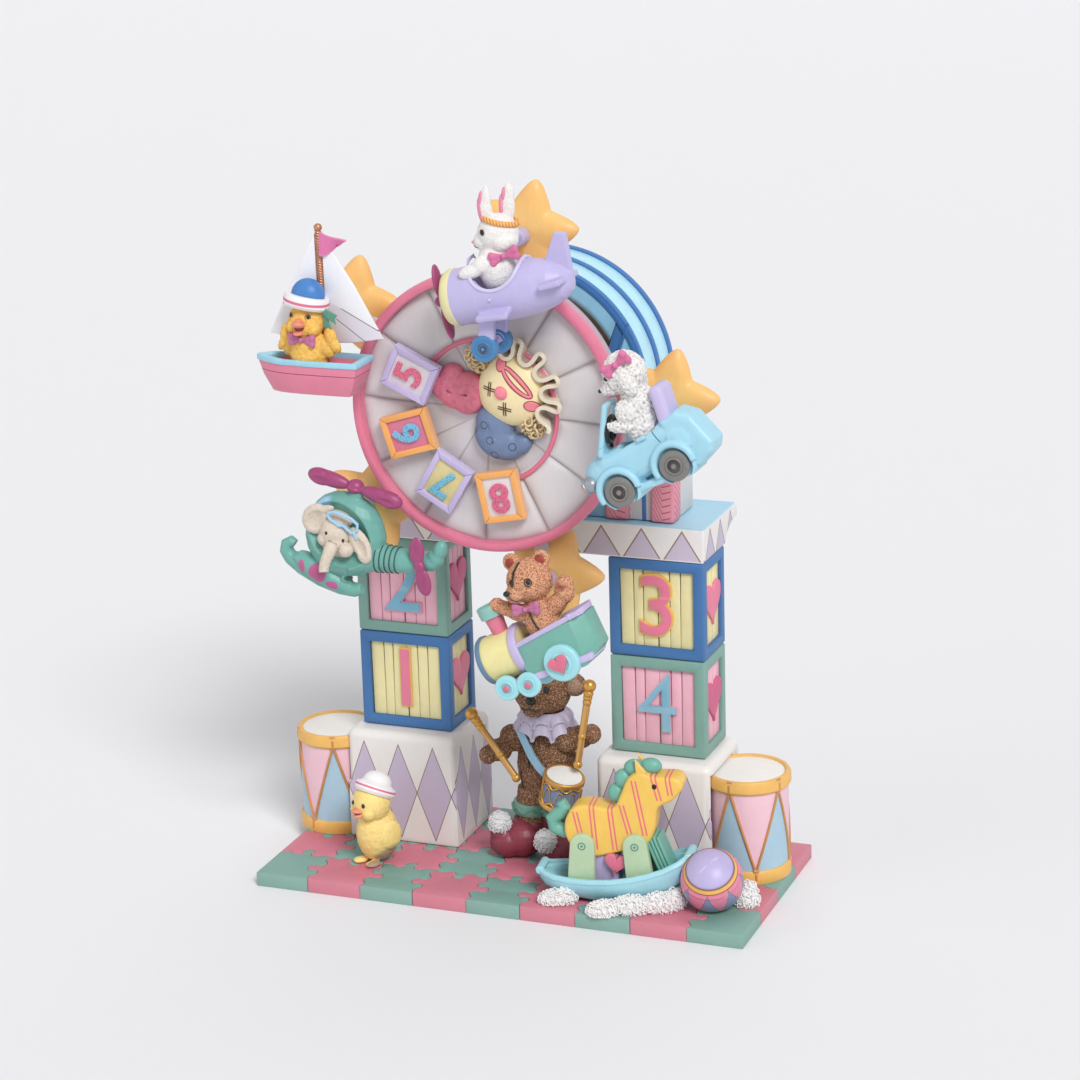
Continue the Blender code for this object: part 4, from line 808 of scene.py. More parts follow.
class MUSICBOX_OT_pedestals(bpy.types.Operator):
    """White marble-like pedestals with lilac diamonds, hollowed where the drums nest"""

    bl_idname = "music_box.pedestals"
    bl_label = "Pedestals"

    def execute(self, context):
        for side, x in TOWERS.items():
            finish = resin(
                f"harlequin_{side}", (0.90, 0.885, 0.875), harlequin, placed((x, 0, 0)),
                washed=0.3, mottle=0.05, roughness=0.38, coat=0.15,
            )
            body = box((x, 19.2, SLAB_TOP + 22.9), (47, 38, 45.8), rounding=3.4, steps=6)
            foot = box((x, 19.2, SLAB_TOP + 12), (47, 38, 24), rounding=1.0, steps=2)
            drum = DRUMS[side]
            nest = rod((*drum, -5), (*drum, SLAB_TOP + 42.2), 17.1, sides=64)
            piece(
                f"pedestal_block_{side}", "stand", finish, [body, foot], cut=[nest],
                replaces=[f"pedestal_{side}"],
            )
        return {"FINISHED"}


DRUM_CORDS = 5


def drum_paint(x, y, z, facing):
    """Pink triangles hanging from the top hoop and blue ones standing on the lower one."""
    around = y.math("ARCTAN2", x) * (1 / math.tau) * DRUM_CORDS
    rise = (z - 4.5) * (1 / 33.0)
    saw = around.zigzag(1)
    return [(rise.below(saw, 0.02), (0.66, 0.78, 0.85))]


class MUSICBOX_OT_drums(bpy.types.Operator):
    """Tall drums with ochre hoops, white heads and copper cords laced over triangles"""

    bl_idname = "music_box.drums"
    bl_label = "Drums"

    def execute(self, context):
        thick = context.scene.music_box_sizes.cord * 1000 / 2
        for side, (x, y) in DRUMS.items():
            first = -98.5 if side == "right" else -74.1
            where = placed((x, y, SLAB_TOP), (0, 0, first))
            shell = [(0, 0.4), (15.6, 0.4), (15.75, 14), (15.75, 28), (15.6, 41), (0, 41)]
            finish = resin(
                f"drum_paint_{side}", (0.92, 0.76, 0.81), drum_paint, where, washed=0.4,
                mottle=0.06, roughness=0.42, coat=0.1,
            )
            piece(
                f"drum_body_{side}", "stand", finish, [lathe(shell, sides=96)], where,
                replaces=[f"drum_{side}"],
            )
            ochre = resin("drum_ochre", OCHRE, washed=0.6, mottle=0.12, roughness=0.42)
            rims = [
                lathe([(14.2, 36.9), (16.2, 36.5), (16.8, 37.4), (16.7, 40.6), (16.1, 41.7),
                       (14.9, 41.8),
                       (14.2, 41.2)], sides=96),
                lathe(
                    [(14, 0), (16.6, 0), (16.8, 1.2), (16.7, 4.3), (16.1, 5.2), (14, 5.2)], sides=96
                ),
            ]
            piece(f"drum_hoops_{side}", "stand", ochre, rims, where)
            skin = resin("drum_head", (0.93, 0.92, 0.90), washed=0.1, mottle=0.05, roughness=0.4)
            head = lathe([(0, 41.45), (9, 41.35), (14.6, 41.0), (14.6, 40.4), (0, 40.4)], sides=64)
            piece(f"drum_skin_{side}", "stand", skin, [head], where)
            copper = resin(
                "copper_cord", COPPER, metallic=0.35, roughness=0.4, washed=0.5, mottle=0.2,
                wash=(0.25, 0.13, 0.08),
            )
            cords = []
            for lace in range(DRUM_CORDS):
                top, low = lace * math.tau / DRUM_CORDS, (lace + 0.5) * math.tau / DRUM_CORDS
                for start in (top, top + math.tau / DRUM_CORDS):
                    line = []
                    for step in range(9):
                        share = step / 8
                        angle = start + (low - start) * share
                        line.append(
                            (15.9 * math.cos(angle), 15.9 * math.sin(angle), 37.5 - 33 * share)
                        )
                    cords.append(tube(line, thick))
                for angle, z, tall in ((top, 38.9, 5.6), (low, 3.0, 6.0)):
                    spot = (15.95 * math.cos(angle), 15.95 * math.sin(angle), z)
                    turn = (0, 0, math.degrees(angle))
                    cords.append(box(spot, (1.1, 2.6, tall), turn, 0.45))
                    cords.append(box(spot, (1.9, 1.2, tall * 0.55), turn, 0.4))
            piece(f"drum_cords_{side}", "stand", copper, cords, where)
        return {"FINISHED"}


BLOCK_PAINT = {
    ("left", "lower"): (DEEP_BLUE, CREAM, PINK, "1"),
    ("left", "upper"): (TEAL, PALE_PINK, (0.47, 0.70, 0.80), "2"),
    ("right", "lower"): (TEAL, PALE_PINK, (0.47, 0.72, 0.82), "4"),
    ("right", "upper"): (DEEP_BLUE, CREAM, PINK, "3"),
}


class MUSICBOX_OT_blocks(bpy.types.Operator):
    """Toy blocks: a painted frame, planked panels, a raised numeral and a heart on each side"""

    bl_idname = "music_box.blocks"
    bl_label = "Toy Blocks"

    def execute(self, context):
        wide, deep, tall = BLOCK[0] - 8.6, BLOCK[1] - 8.6, BLOCK[2] - 8.6
        for (side, level), (frame_colour, panel_colour, glyph_colour, digit) in BLOCK_PAINT.items():
            place = placed((TOWERS[side], BLOCK_Y, BLOCK_Z[level] + BLOCK[2] / 2))
            name = f"{side}_{level}"
            kind = "blue" if frame_colour is DEEP_BLUE else "teal"
            body = box((0, 0, 0), BLOCK, rounding=0.7, steps=2)
            cuts, planks = [], []
            for end in (-1, 1):
                front, flank = end * BLOCK[1] / 2, end * BLOCK[0] / 2
                cuts.append(box((0, front, 0), (wide, 4.2, tall), rounding=0.4, steps=2))
                cuts.append(box((flank, 0, 0), (4.2, deep, tall), rounding=0.4, steps=2))
                for index, (start, stop) in enumerate(plank_spans(wide, 6)):
                    size = (stop - start - 0.28, 1.0, tall + 0.4)
                    lean = (0, (index % 3 - 1) * 0.5, 0)
                    planks.append(
                        box(((start + stop) / 2, front - end * 1.8, 0), size, lean, 0.3, 2)
                    )
                for start, stop in plank_spans(deep, 3):
                    size = (1.0, stop - start - 0.28, tall + 0.4)
                    planks.append(
                        box((flank - end * 1.8, (start + stop) / 2, 0), size, (0, 0, 0), 0.3, 2)
                    )
            coat = resin(f"frame_{kind}", frame_colour, washed=0.5, mottle=0.1, roughness=0.5)
            piece(
                f"block_frame_{name}", "stand", coat, [body], place, cut=cuts, edge=0.25,
                replaces=[f"block_{side}_{level}"],
            )
            paint = resin(
                f"plank_{kind}", panel_colour, plank_lines, place, washed=0.8, mottle=0.1,
                wash=(0.55, 0.27, 0.25) if kind == "teal" else (0.52, 0.42, 0.22), roughness=0.5,
            )
            piece(f"block_planks_{name}", "stand", paint, planks, place, edge=0.12)
            rim = resin(
                f"glyph_rim_{kind}", OCHRE if kind == "blue" else (0.85, 0.62, 0.70), washed=0.6
            )
            face = resin(f"glyph_{kind}", glyph_colour, washed=0.4, mottle=0.1, roughness=0.5)
            front = -BLOCK[1] / 2
            piece(
                f"block_glyph_rim_{name}", "stand", rim,
                [numeral(digit, 24, front + 0.35, front + 1.5, 0.55)], place
            )
            piece(
                f"block_glyph_{name}", "stand", face,
                [numeral(digit, 23.4, front - 0.05, front + 1.0, 0.1)], place
            )
            hearts = []
            for end in (-1, 1):
                shape = board(heart(17.0), -0.7, 0.7, 0.5)
                spot = placed((end * (BLOCK[0] / 2 - 0.95), 0, 0), (0, 0, 90))
                hearts.append(moved(shape, spot))
            tint = PINK if kind == "blue" else (0.80, 0.36, 0.52)
            love = resin(f"heart_{kind}", tint, washed=0.6, mottle=0.12, roughness=0.48)
            piece(f"block_hearts_{name}", "stand", love, hearts, place)
        return {"FINISHED"}


def plank_spans(width, count):
    """Uneven planks across a panel."""
    shares = [0, *((step + 0.13 * math.sin(step * 2.3)) / count for step in range(1, count)), 1]
    return [(width * (a - 0.5), width * (b - 0.5)) for a, b in zip(shares, shares[1:])]


def plank_lines(x, y, z, facing):
    grain = (x * 3.1 + z * 0.16).zigzag(1).below(0.05, 0.1) * 0.16
    return [(grain, (0.66, 0.48, 0.36))]


def lintel_outline():
    """From the flat back over the top, round the nose and down the cove, in (depth, height)."""
    points = [(0, 0), (0, 13.5)]
    for angle in range(90, -31, -10):
        turn = math.radians(angle)
        points.append((37.8 + 4.2 * math.cos(turn), 9.3 + 4.2 * math.sin(turn)))
    nose_x, nose_z = points[-1]
    for step in range(1, 11):
        turn = math.pi / 20 * step
        points.append((nose_x - (nose_x - 27.3) * math.sin(turn), nose_z * math.cos(turn)))
    return points


def lintel_paint(x, y, z, facing):
    """Lilac triangles standing along the front and the ends, and a sky-blue top."""
    rise = (z - LINTEL_Z - 0.4) * (1 / 11.4)
    side = facing.above(0.7, 0.2)
    over_front = (x + 4.5).zigzag(16.2)
    over_side = (y - 15.5).zigzag(12.6)
    reach = over_front * (side * -1 + 1) + over_side * side
    room = (reach - 0.1) * (1 / 0.9)
    top = (z - LINTEL_TOP).above(-0.55, 0.25)
    seen = rise.above(0.0, 0.01)
    line = (rise - room).near(0, 0.045, 0.02) * seen
    return [
        (rise.below(room, 0.02) * seen, PALE_LILAC), (line, LINE), (top, (0.62, 0.80, 0.89)),
    ]


class MUSICBOX_OT_lintel(bpy.types.Operator):
    """The lintel: white cove and rounded nose with lilac triangles under a sky-blue top"""

    bl_idname = "music_box.lintel"
    bl_label = "Lintel"

    def execute(self, context):
        shape = board(lintel_outline(), -72.4, 72.4, 0.9, 4)
        cove = moved(shape, placed((-3.4, 7.9, LINTEL_Z), (0, 0, 90)))
        finish = resin(
            "lintel_paint", (0.90, 0.885, 0.88), lintel_paint, washed=0.35, mottle=0.06,
            roughness=0.42, coat=0.1,
        )
        piece("lintel_slab", "stand", finish, [cove], replaces=["lintel"])
        return {"FINISHED"}


def arch(radius, floor, steps=72):
    x, z = AXIS
    line = [(x - radius, floor)]
    for step in range(steps + 1):
        angle = math.pi * (1 - step / steps)
        line.append((x + radius * math.cos(angle), z + radius * math.sin(angle)))
    return line + [(x + radius, floor)]


def arch_band(inner, outer, near, far, rounding):
    """A strip of the rainbow, open below, from an inner to an outer radius."""
    outline = arch(outer, RAINBOW_Z) + arch(inner, RAINBOW_Z)[::-1]
    return board(outline, near, far, rounding, 2)


def rainbow_painted_shadow(x, y, z, facing):
    """Painted shadow of the wheel on the front wall behind it, darkened further with a brown wash.
    """
    reach = (x * x + z * z).math("SQRT")
    # Painted shadow with a brown wash: dark within 41 mm of the axle, on the front wall only.
    return [(reach.below(41.0, 2.0) * y.below(15.5, 0.2), (0.27, 0.22, 0.16))]


def post_paint(x, y, z, facing):
    stripe = (x * (facing * -1 + 1) + y * facing + z).zigzag(2.6)
    return [(stripe.above(0.82, 0.1), (0.74, 0.30, 0.40))]


class MUSICBOX_OT_rainbow(bpy.types.Operator):
    """The rainbow: a hollow sky-blue arch, dark-blue ribs, striped corner posts and niches"""

    bl_idname = "music_box.rainbow"
    bl_label = "Rainbow"

    def execute(self, context):
        near, far = RAINBOW_Y
        x, z = AXIS
        sky = resin(
            "rainbow_sky", (0.55, 0.76, 0.88), rainbow_painted_shadow, WHEEL_FRAME, washed=0.5, mottle=0.14,
            roughness=0.42,
        )
        cuts = [
            board(arch(45.6, RAINBOW_Z - 1), near + 2.6, far + 1),
            rod((x, near - 10, z), (x, near + 10, z), 2.3),
        ]
        for end in (-1, 1):
            spot = (x + end * 36.5, near, z + 17.0)
            cuts.append(box(spot, (5.2, 2.4, 21.0), (0, end * 20, 0)))
        body = board(arch(48.2, RAINBOW_Z), near, far, 0.5, 2)
        piece(
            "rainbow_shell", "stand", sky, [body], cut=cuts,
            replaces=["rainbow_arch"]
        )
        blue = resin("rainbow_rib", (0.23, 0.45, 0.70), washed=0.35, mottle=0.12, roughness=0.42)
        ribs = []
        for share in (0, 0.5, 1):
            start = near + share * 30.3
            ribs.append(arch_band(47.6, 49.5, start, start + 3.2, 0.6))
        ribs.append(arch_band(46.5, 48.4, near - 0.35, near + 1.0, 0.3))
        patches = []
        for end in (-1, 1):
            spot = (x + end * 36.5, near + 0.75, z + 17.0)
            patches.append(box(spot, (4.8, 0.7, 20.4), (0, end * 20, 0), 0.2))
            edge = (x + end * 39.0, near + 0.2, z + 17.9)
            patches.append(box(edge, (0.9, 1.0, 20.0), (0, end * 20, 0), 0.3))
        piece("rainbow_ribs", "stand", blue, ribs + patches)
        bands = []
        for start in (near + 3.5, near + 18.7):
            bands.append(arch_band(47.9, 48.8, start, start + 11.4, 0.4))
        pale = resin(
            "rainbow_band", (0.70, 0.89, 0.95), washed=0.3, mottle=0.14, roughness=0.36, coat=0.2
        )
        piece("rainbow_bands", "stand", pale, bands)
        front = near - 2.2
        grey = resin("niche_grey", (0.80, 0.80, 0.81), washed=0.5, mottle=0.1)
        pink = resin("post_pink", (0.90, 0.60, 0.66), post_paint, washed=0.6, mottle=0.08)
        posts, niches = [], []
        for end in (-1, 1):
            middle = x + end * 46.1
            niches.append(
                box((middle, front + 14.0, RAINBOW_Z + 9.5), (26.0, 24.0, 18.9), rounding=0.5)
            )
            for corner in (-1, 1):
                spot = (middle + corner * 9.15, front + 4.6, RAINBOW_Z + 9.5)
                posts.append(box(spot, (9.5, 9.2, 19.0), (0, corner * 0.6, 0), 1.3, 4))
        inner = board(arch(45.6, RAINBOW_Z - 1), near + 2.6, far + 1)
        piece("rainbow_niches", "stand", grey, niches, cut=[inner])
        piece("rainbow_posts", "stand", pink, posts, cut=[inner])
        return {"FINISHED"}


class MUSICBOX_OT_movement(bpy.types.Operator):
    """Metal and paint for the clockwork, the shaft, the pins, the key and the back cover"""

    bl_idname = "music_box.movement"
    bl_label = "Movement and Key"

    def execute(self, context):
        brass = metal("movement_brass", (0.80, 0.65, 0.36), 0.32, 0.35)
        steel = metal("movement_steel", (0.72, 0.72, 0.74), 0.28, 0.15)
        for node in (
            "movement_front_plate", "movement_back_plate", "spring_barrel", "music_cylinder"
        ):
            refinish(node, brass)
        pins = [f"pivot_pin_{name}" for name in GONDOLAS]
        for node in ("music_comb", "governor_fly", "wheel_axle", *pins):
            refinish(node, steel)
        x, z = AXIS
        out = RAINBOW_Y[1] + 1.0
        brushed = metal("key_steel", (0.74, 0.73, 0.72), 0.25, 0.2)
        loops = [hoop((x + end * 6.0, out + 10.2, z), 4.1, 1.35, (90, 0, 0)) for end in (-1, 1)]
        stem = [
            rod((x, out - 4, z), (x, out + 4, z), 1.6),
            rod((x, out, z), (x, out + 8, z), 2.7, rounding=0.5),
            ball((x, out + 8.6, z), (3.4, 2.2, 1.5)),
        ]
        piece("key_handle", "winding_key", brushed, loops + stem, cast=0.28, soft=4)
        refinish("winding_key", brushed)
        cover = resin("cover_blue", (0.30, 0.50, 0.72), washed=0.2, mottle=0.1, roughness=0.5)
        refinish("back_cover", cover)
        screws = []
        for angle in (35, 145, 215, 325):
            turn = math.radians(angle)
            spot = (x + 33 * math.cos(turn), z + 33 * math.sin(turn))
            screws.append(
                rod((spot[0], 46.0, spot[1]), (spot[0], 46.7, spot[1]), 2.0, rounding=0.3)
            )
        piece("cover_screws", "stand", steel, screws)
        return {"FINISHED"}


# The wheel


def on_wheel(circle, angle, y):
    turn = math.radians(angle)
    return (AXIS[0] + circle * math.cos(turn), y, AXIS[1] + circle * math.sin(turn))


def wheel_turned(profile, sides=144):
    """A (radius, Y) profile spun about the wheel's axis."""
    return lathe([(radius, -y) for radius, y in profile], (AXIS[0], 0, AXIS[1]), (90, 0, 0), sides)


PANELS = 12


def panel_paint(x, y, z, facing):
    """Panels that darken into the seams and towards the rim."""
    around = z.math("ARCTAN2", x) * (PANELS / math.tau) - 0.4
    seam = (around + 0.5).zigzag(1).above(0.94, 0.1) * 0.5
    reach = (x * x + z * z).math("SQRT")
    rim = reach.above(47.5, 4.0) * 0.18
    warm = (x * 0.02 + z * 0.03).math("SINE") * 0.22 + 0.2
    return [
        (warm, (0.83, 0.79, 0.78)), (rim, (0.68, 0.60, 0.63)), (seam, (0.50, 0.43, 0.46)),
    ]


def pillow(index):
    """One radial panel: crowned, its rims rolled down to the floor, and stepped past the next."""
    middle = math.tau * (index + 0.4) / PANELS

    def surface(u, v):
        angle = middle + (u - 0.5) * 0.975 * math.tau / PANELS
        reach = 28.2 + 22.0 * v
        crown = (1 - abs(2 * u - 1) ** 7) * (1 - abs(2 * v - 1) ** 9)
        y = -24.2 - 1.25 * crown - 0.55 * (u - 0.5) * crown
        return (AXIS[0] + reach * math.cos(angle), y, AXIS[1] + reach * math.sin(angle))

    return sheet(surface, 26, 24, 0.9)


class MUSICBOX_OT_wheel(bpy.types.Operator):
    """The big wheel: pillow panels, a rose rim, the inner ring, the hub and the star arms"""

    bl_idname = "music_box.wheel"
    bl_label = "Wheel"

    def execute(self, context):
        colours = context.scene.music_box_colours
        finish = resin(
            "wheel_panels", colours.wheel_grey, panel_paint, WHEEL_FRAME, washed=0.7, mottle=0.06,
            wash=(0.50, 0.40, 0.44), roughness=0.42, coat=0.1,
        )
        floor = wheel_turned([
            (0, -23.6), (20, -23.5), (25.6, -23.9), (26.6, -24.9), (28.4, -24.9), (28.6, -24.0),
            (50.6, -24.0), (50.6, -20.6), (8.2, -20.5), (7.6, -19.6), (6.3, -14.7), (5.9, -14.5),
            (0, -14.5),
        ])
        shaft = rod((AXIS[0], -22.4, AXIS[1]), (AXIS[0], -10, AXIS[1]), 2.1)
        piece(
            "wheel_floor", "wheel", finish, [floor], cut=[shaft],
            replaces=["wheel_disc"]
        )
        panels = [pillow(index) for index in range(PANELS)]
        piece("wheel_panels", "wheel", finish, panels, sharp=60)
        arms = []
        for angle in (78, 149, 219, 288, 5):
            arm = box((0, -17.45, 31.9), (6, 2.5, 55.8), rounding=0.6)
            arms.append(moved(arm, WHEEL_FRAME @ placed((0, 0, 0), (0, 90 - angle, 0))))
        back = resin("wheel_back", (0.80, 0.78, 0.80), washed=0.4, mottle=0.08, roughness=0.5)
        piece("star_arms", "wheel", back, arms)
        rose = resin(
            "rim_rose", colours.rim_rose, washed=0.45, mottle=0.1, roughness=0.4, coat=0.15
        )
        rim = wheel_turned([
            (49.9, -24.5), (49.85, -27.6), (50.2, -28.6), (51.0, -29.0), (52.3, -28.95),
            (53.1, -28.5), (53.5, -27.5), (53.5, -24.4),
        ])
        piece("wheel_rim_rose", "wheel", rose, [rim], replaces=["wheel_rim"])
        lilac = resin("rim_lilac", (0.70, 0.63, 0.70), washed=0.5, mottle=0.1, roughness=0.48)
        side = wheel_turned([
            (49.95, -24.6), (53.2, -24.6), (53.1, -20.2), (52.6, -19.2), (45.9, -19.0),
            (45.9, -20.2), (49.9, -20.2),
        ])
        piece("wheel_rim_side", "wheel", lilac, [side])
        arc = [on_wheel(27.4, -63 + step * 2.5, -25.0) for step in range(83)]
        ring = resin("ring_rose", (0.86, 0.46, 0.56), washed=0.5, mottle=0.12, roughness=0.42)
        piece("wheel_inner_ring", "wheel", ring, [tube(arc, 0.95, fine=4)])
        return {"FINISHED"}


def mitred(width, height, strip, near, far, rounding):
    """A picture frame of four strips that meet on the mitre."""
    strips = []
    for turn, long, across in (
        (0, width, height), (90, height, width), (180, width, height), (270, height, width)
    ):
        half, out = long / 2 - 0.05, -across / 2
        outline = [
            (-half, out), (half, out), (half - strip, out + strip), (strip - half, out + strip)
        ]
        strips.append(
            moved(board(outline, near, far, rounding, 2), placed((0, 0, 0), (0, turn, 0)))
        )
    return strips


WHEEL_BLOCKS = {
    1: (281, (0.94, 0.66, 0.36), (0.86, 0.83, 0.84), (0.88, 0.42, 0.55), "8"),
    2: (239, (0.76, 0.71, 0.87), (0.84, 0.78, 0.56), (0.45, 0.74, 0.86), "7"),
    3: (197, (0.94, 0.66, 0.36), (0.84, 0.47, 0.57), (0.50, 0.74, 0.88), "6"),
    4: (155, (0.76, 0.71, 0.87), (0.86, 0.83, 0.86), (0.90, 0.45, 0.56), "5"),
}


class MUSICBOX_OT_wheel_blocks(bpy.types.Operator):
    """Four small toy blocks on the wheel, mitred frames round a sunk panel and a numeral"""

    bl_idname = "music_box.wheel_blocks"
    bl_label = "Wheel Blocks"

    def execute(self, context):
        for number, (angle, frame_colour, ground, glyph, digit) in WHEEL_BLOCKS.items():
            place = placed(on_wheel(31.5, angle, -28.9), (0, 90 - angle, 0))
            kind = "orange" if number % 2 else "lilac"
            finish = resin(
                f"wheel_frame_{kind}", frame_colour, washed=0.5, mottle=0.1, roughness=0.42
            )
            core = box((0, 0.75, 0), (15.7, 3.1, 18.7), rounding=0.4)
            piece(
                f"wheel_block_frame_{number}", "wheel", finish,
                mitred(16.2, 19.2, 2.3, -2.3, 1.9, 0.35) + [core], place,
                replaces=[f"wheel_block_{number}"],
            )
            panel = box((0, -0.9, 0), (12.2, 1.0, 15.2), rounding=0.3)
            paint = resin(
                f"wheel_block_panel_{number}", ground, washed=0.9, mottle=0.14, roughness=0.48
            )
            piece(f"wheel_block_ground_{number}", "wheel", paint, [panel], place)
            glyph_paint = resin(
                f"wheel_glyph_{number}", glyph, washed=0.4, mottle=0.1, flecked=0.5,
                fleck=tuple(c * 0.6 for c in glyph), fleck_scale=1500, roughness=0.45,
            )
            piece(
                f"wheel_glyph_{number}", "wheel", glyph_paint,
                [numeral(digit, 10.5, -2.25, -1.2, 0.28)], place,
            )
        return {"FINISHED"}


def star_paint(x, y, z, facing):
    """Yellow-orange, deeper at the tips and paler in the middle."""
    reach = (x * x + z * z).math("SQRT")
    tip = reach.above(14.0, 9.0) * 0.45
    heart_of = reach.below(7.0, 9.0) * 0.35
    low = z.below(-4.0, 12.0) * 0.3
    return [
        (heart_of, (0.98, 0.84, 0.56)), (tip, (0.95, 0.69, 0.42)), (low, (0.93, 0.68, 0.38)),
    ]


def star_shape():
    """A puffy five-pointed star with blunt tips."""
    rings = []
    count = 100
    long, short, wedge = 25.5, 12.6, math.radians(36)
    for step in range(-8, 9):
        lean = math.radians(step * 10)
        scale = math.cos(lean) ** 0.62
        ring = []
        for corner in range(count):
            angle = math.tau * (corner + 0.5) / count
            off = abs((angle + wedge) % (2 * wedge) - wedge)
            edge = long * short * math.sin(wedge) / (
                long * math.sin(off) + short * math.sin(wedge - off)
            )
            reach = (edge ** -7 + 21.2 ** -7) ** (-1 / 7) * scale
            ring.append((reach * math.sin(angle), 4.45 * math.sin(lean), reach * math.cos(angle)))
        rings.append(ring)
    return loft(rings)


class MUSICBOX_OT_stars(bpy.types.Operator):
    """Five puffy stars round the rim, each bored for the pin that a vehicle hangs on"""

    bl_idname = "music_box.stars"
    bl_label = "Stars"

    def execute(self, context):
        colours = context.scene.music_box_colours
        for name, (_, angle, _, _) in GONDOLAS.items():
            place = placed(on_wheel(67.3, angle, -15.0), (0, 90 - angle, 0))
            finish = resin(
                f"star_{name}", colours.star, star_paint, place, washed=0.4, mottle=0.09,
                wash=(0.72, 0.42, 0.18), roughness=0.44, coat=0.1,
            )
            bore = rod((0, -20, 0), (0, 20, 0), 1.5)
            piece(
                f"star_body_{name}", "wheel", finish, [star_shape()], place, cut=[bore],
                replaces=[f"star_{name}"],
            )
        return {"FINISHED"}


def front_of(centre, radii, x, z):
    """The Y of an ellipsoid's front skin over a point in X and Z."""
    rest = 1 - ((x - centre[0]) / radii[0]) ** 2 - ((z - centre[2]) / radii[2]) ** 2
    return centre[1] - radii[1] * math.sqrt(max(rest, 0.0))


def curls(centre, radii, count, ring, wire, seed=1.0):
    """Little loops of yarn spread evenly over an ellipsoid."""
    shapes = []
    for index in range(count):
        z = 1 - 2 * (index + 0.5) / count
        angle = 2.39996 * index
        flat = math.sqrt(1 - z * z)
        way = Vector((flat * math.cos(angle), flat * math.sin(angle), z))
        spot = Vector(centre) + Vector((way.x * radii[0], way.y * radii[1], way.z * radii[2]))
        turn = (index * 47 * seed, index * 83 * seed, math.degrees(angle))
        shapes.append(hoop(spot, ring * (0.8 + 0.3 * math.sin(index * 1.7)), wire, turn, 10))
    return shapes


FACE = ((-0.4, -1.0, -13.4), (13.4, 7.2, 13.4))


def on_face(x, z, proud=0.0):
    return (x, front_of(*FACE, x, z) - proud, z)


def stroke(start, end, radius, proud=0.1, steps=8):
    """A painted line that lies on the clown's face."""
    points = []
    for step in range(steps + 1):
        share = step / steps
        x, z = (start[i] + (end[i] - start[i]) * share for i in (0, 1))
        points.append(on_face(x, z, proud - radius * 0.4))
    return tube(points, radius)


def loop_on_face(centre, size, turn, radius, sides=28):
    lean = math.radians(turn)
    points = []
    for step in range(sides):
        angle = math.tau * step / sides
        a, b = size[0] * math.cos(angle), size[1] * math.sin(angle)
        x = centre[0] + a * math.cos(lean) - b * math.sin(lean)
        z = centre[1] + a * math.sin(lean) + b * math.cos(lean)
        points.append(on_face(x, z, 0.05))
    return tube(points, radius, True)


def ruffle(centre, inner, outer, first, last, waves, depth, thickness=1.5, base=-0.6):
    """A ribbon that stands towards -Y and winds in and out round a circle in X and Z."""

    def surface(u, v):
        phase = math.tau * waves * u
        angle = math.radians(first + (last - first) * u) + 0.045 * math.sin(2 * phase)
        middle, swing = (inner + outer) / 2, (outer - inner) / 2
        reach = middle + swing * (0.55 + 0.45 * v) * math.cos(phase) - 1.2 * (1 - v)
        y = base - depth * v
        return (centre[0] + reach * math.cos(angle), y, centre[1] + reach * math.sin(angle))

    return sheet(surface, waves * 22, 14, thickness)


def cap_spots(x, y, z, facing):
    """Open circles drawn on the blue lobe of the cap."""
    layers = []
    for spot_x, spot_z in ((-1.7, 7.9), (-3.2, 2.9), (-8.9, 5.0), (-16.2, 0.2), (-14.0, 7.9)):
        dx, dz = x - spot_x, z - spot_z
        layers.append(((dx * dx + dz * dz).math("SQRT").near(1.35, 0.16, 0.12), (0.24, 0.25, 0.34)))
    return layers


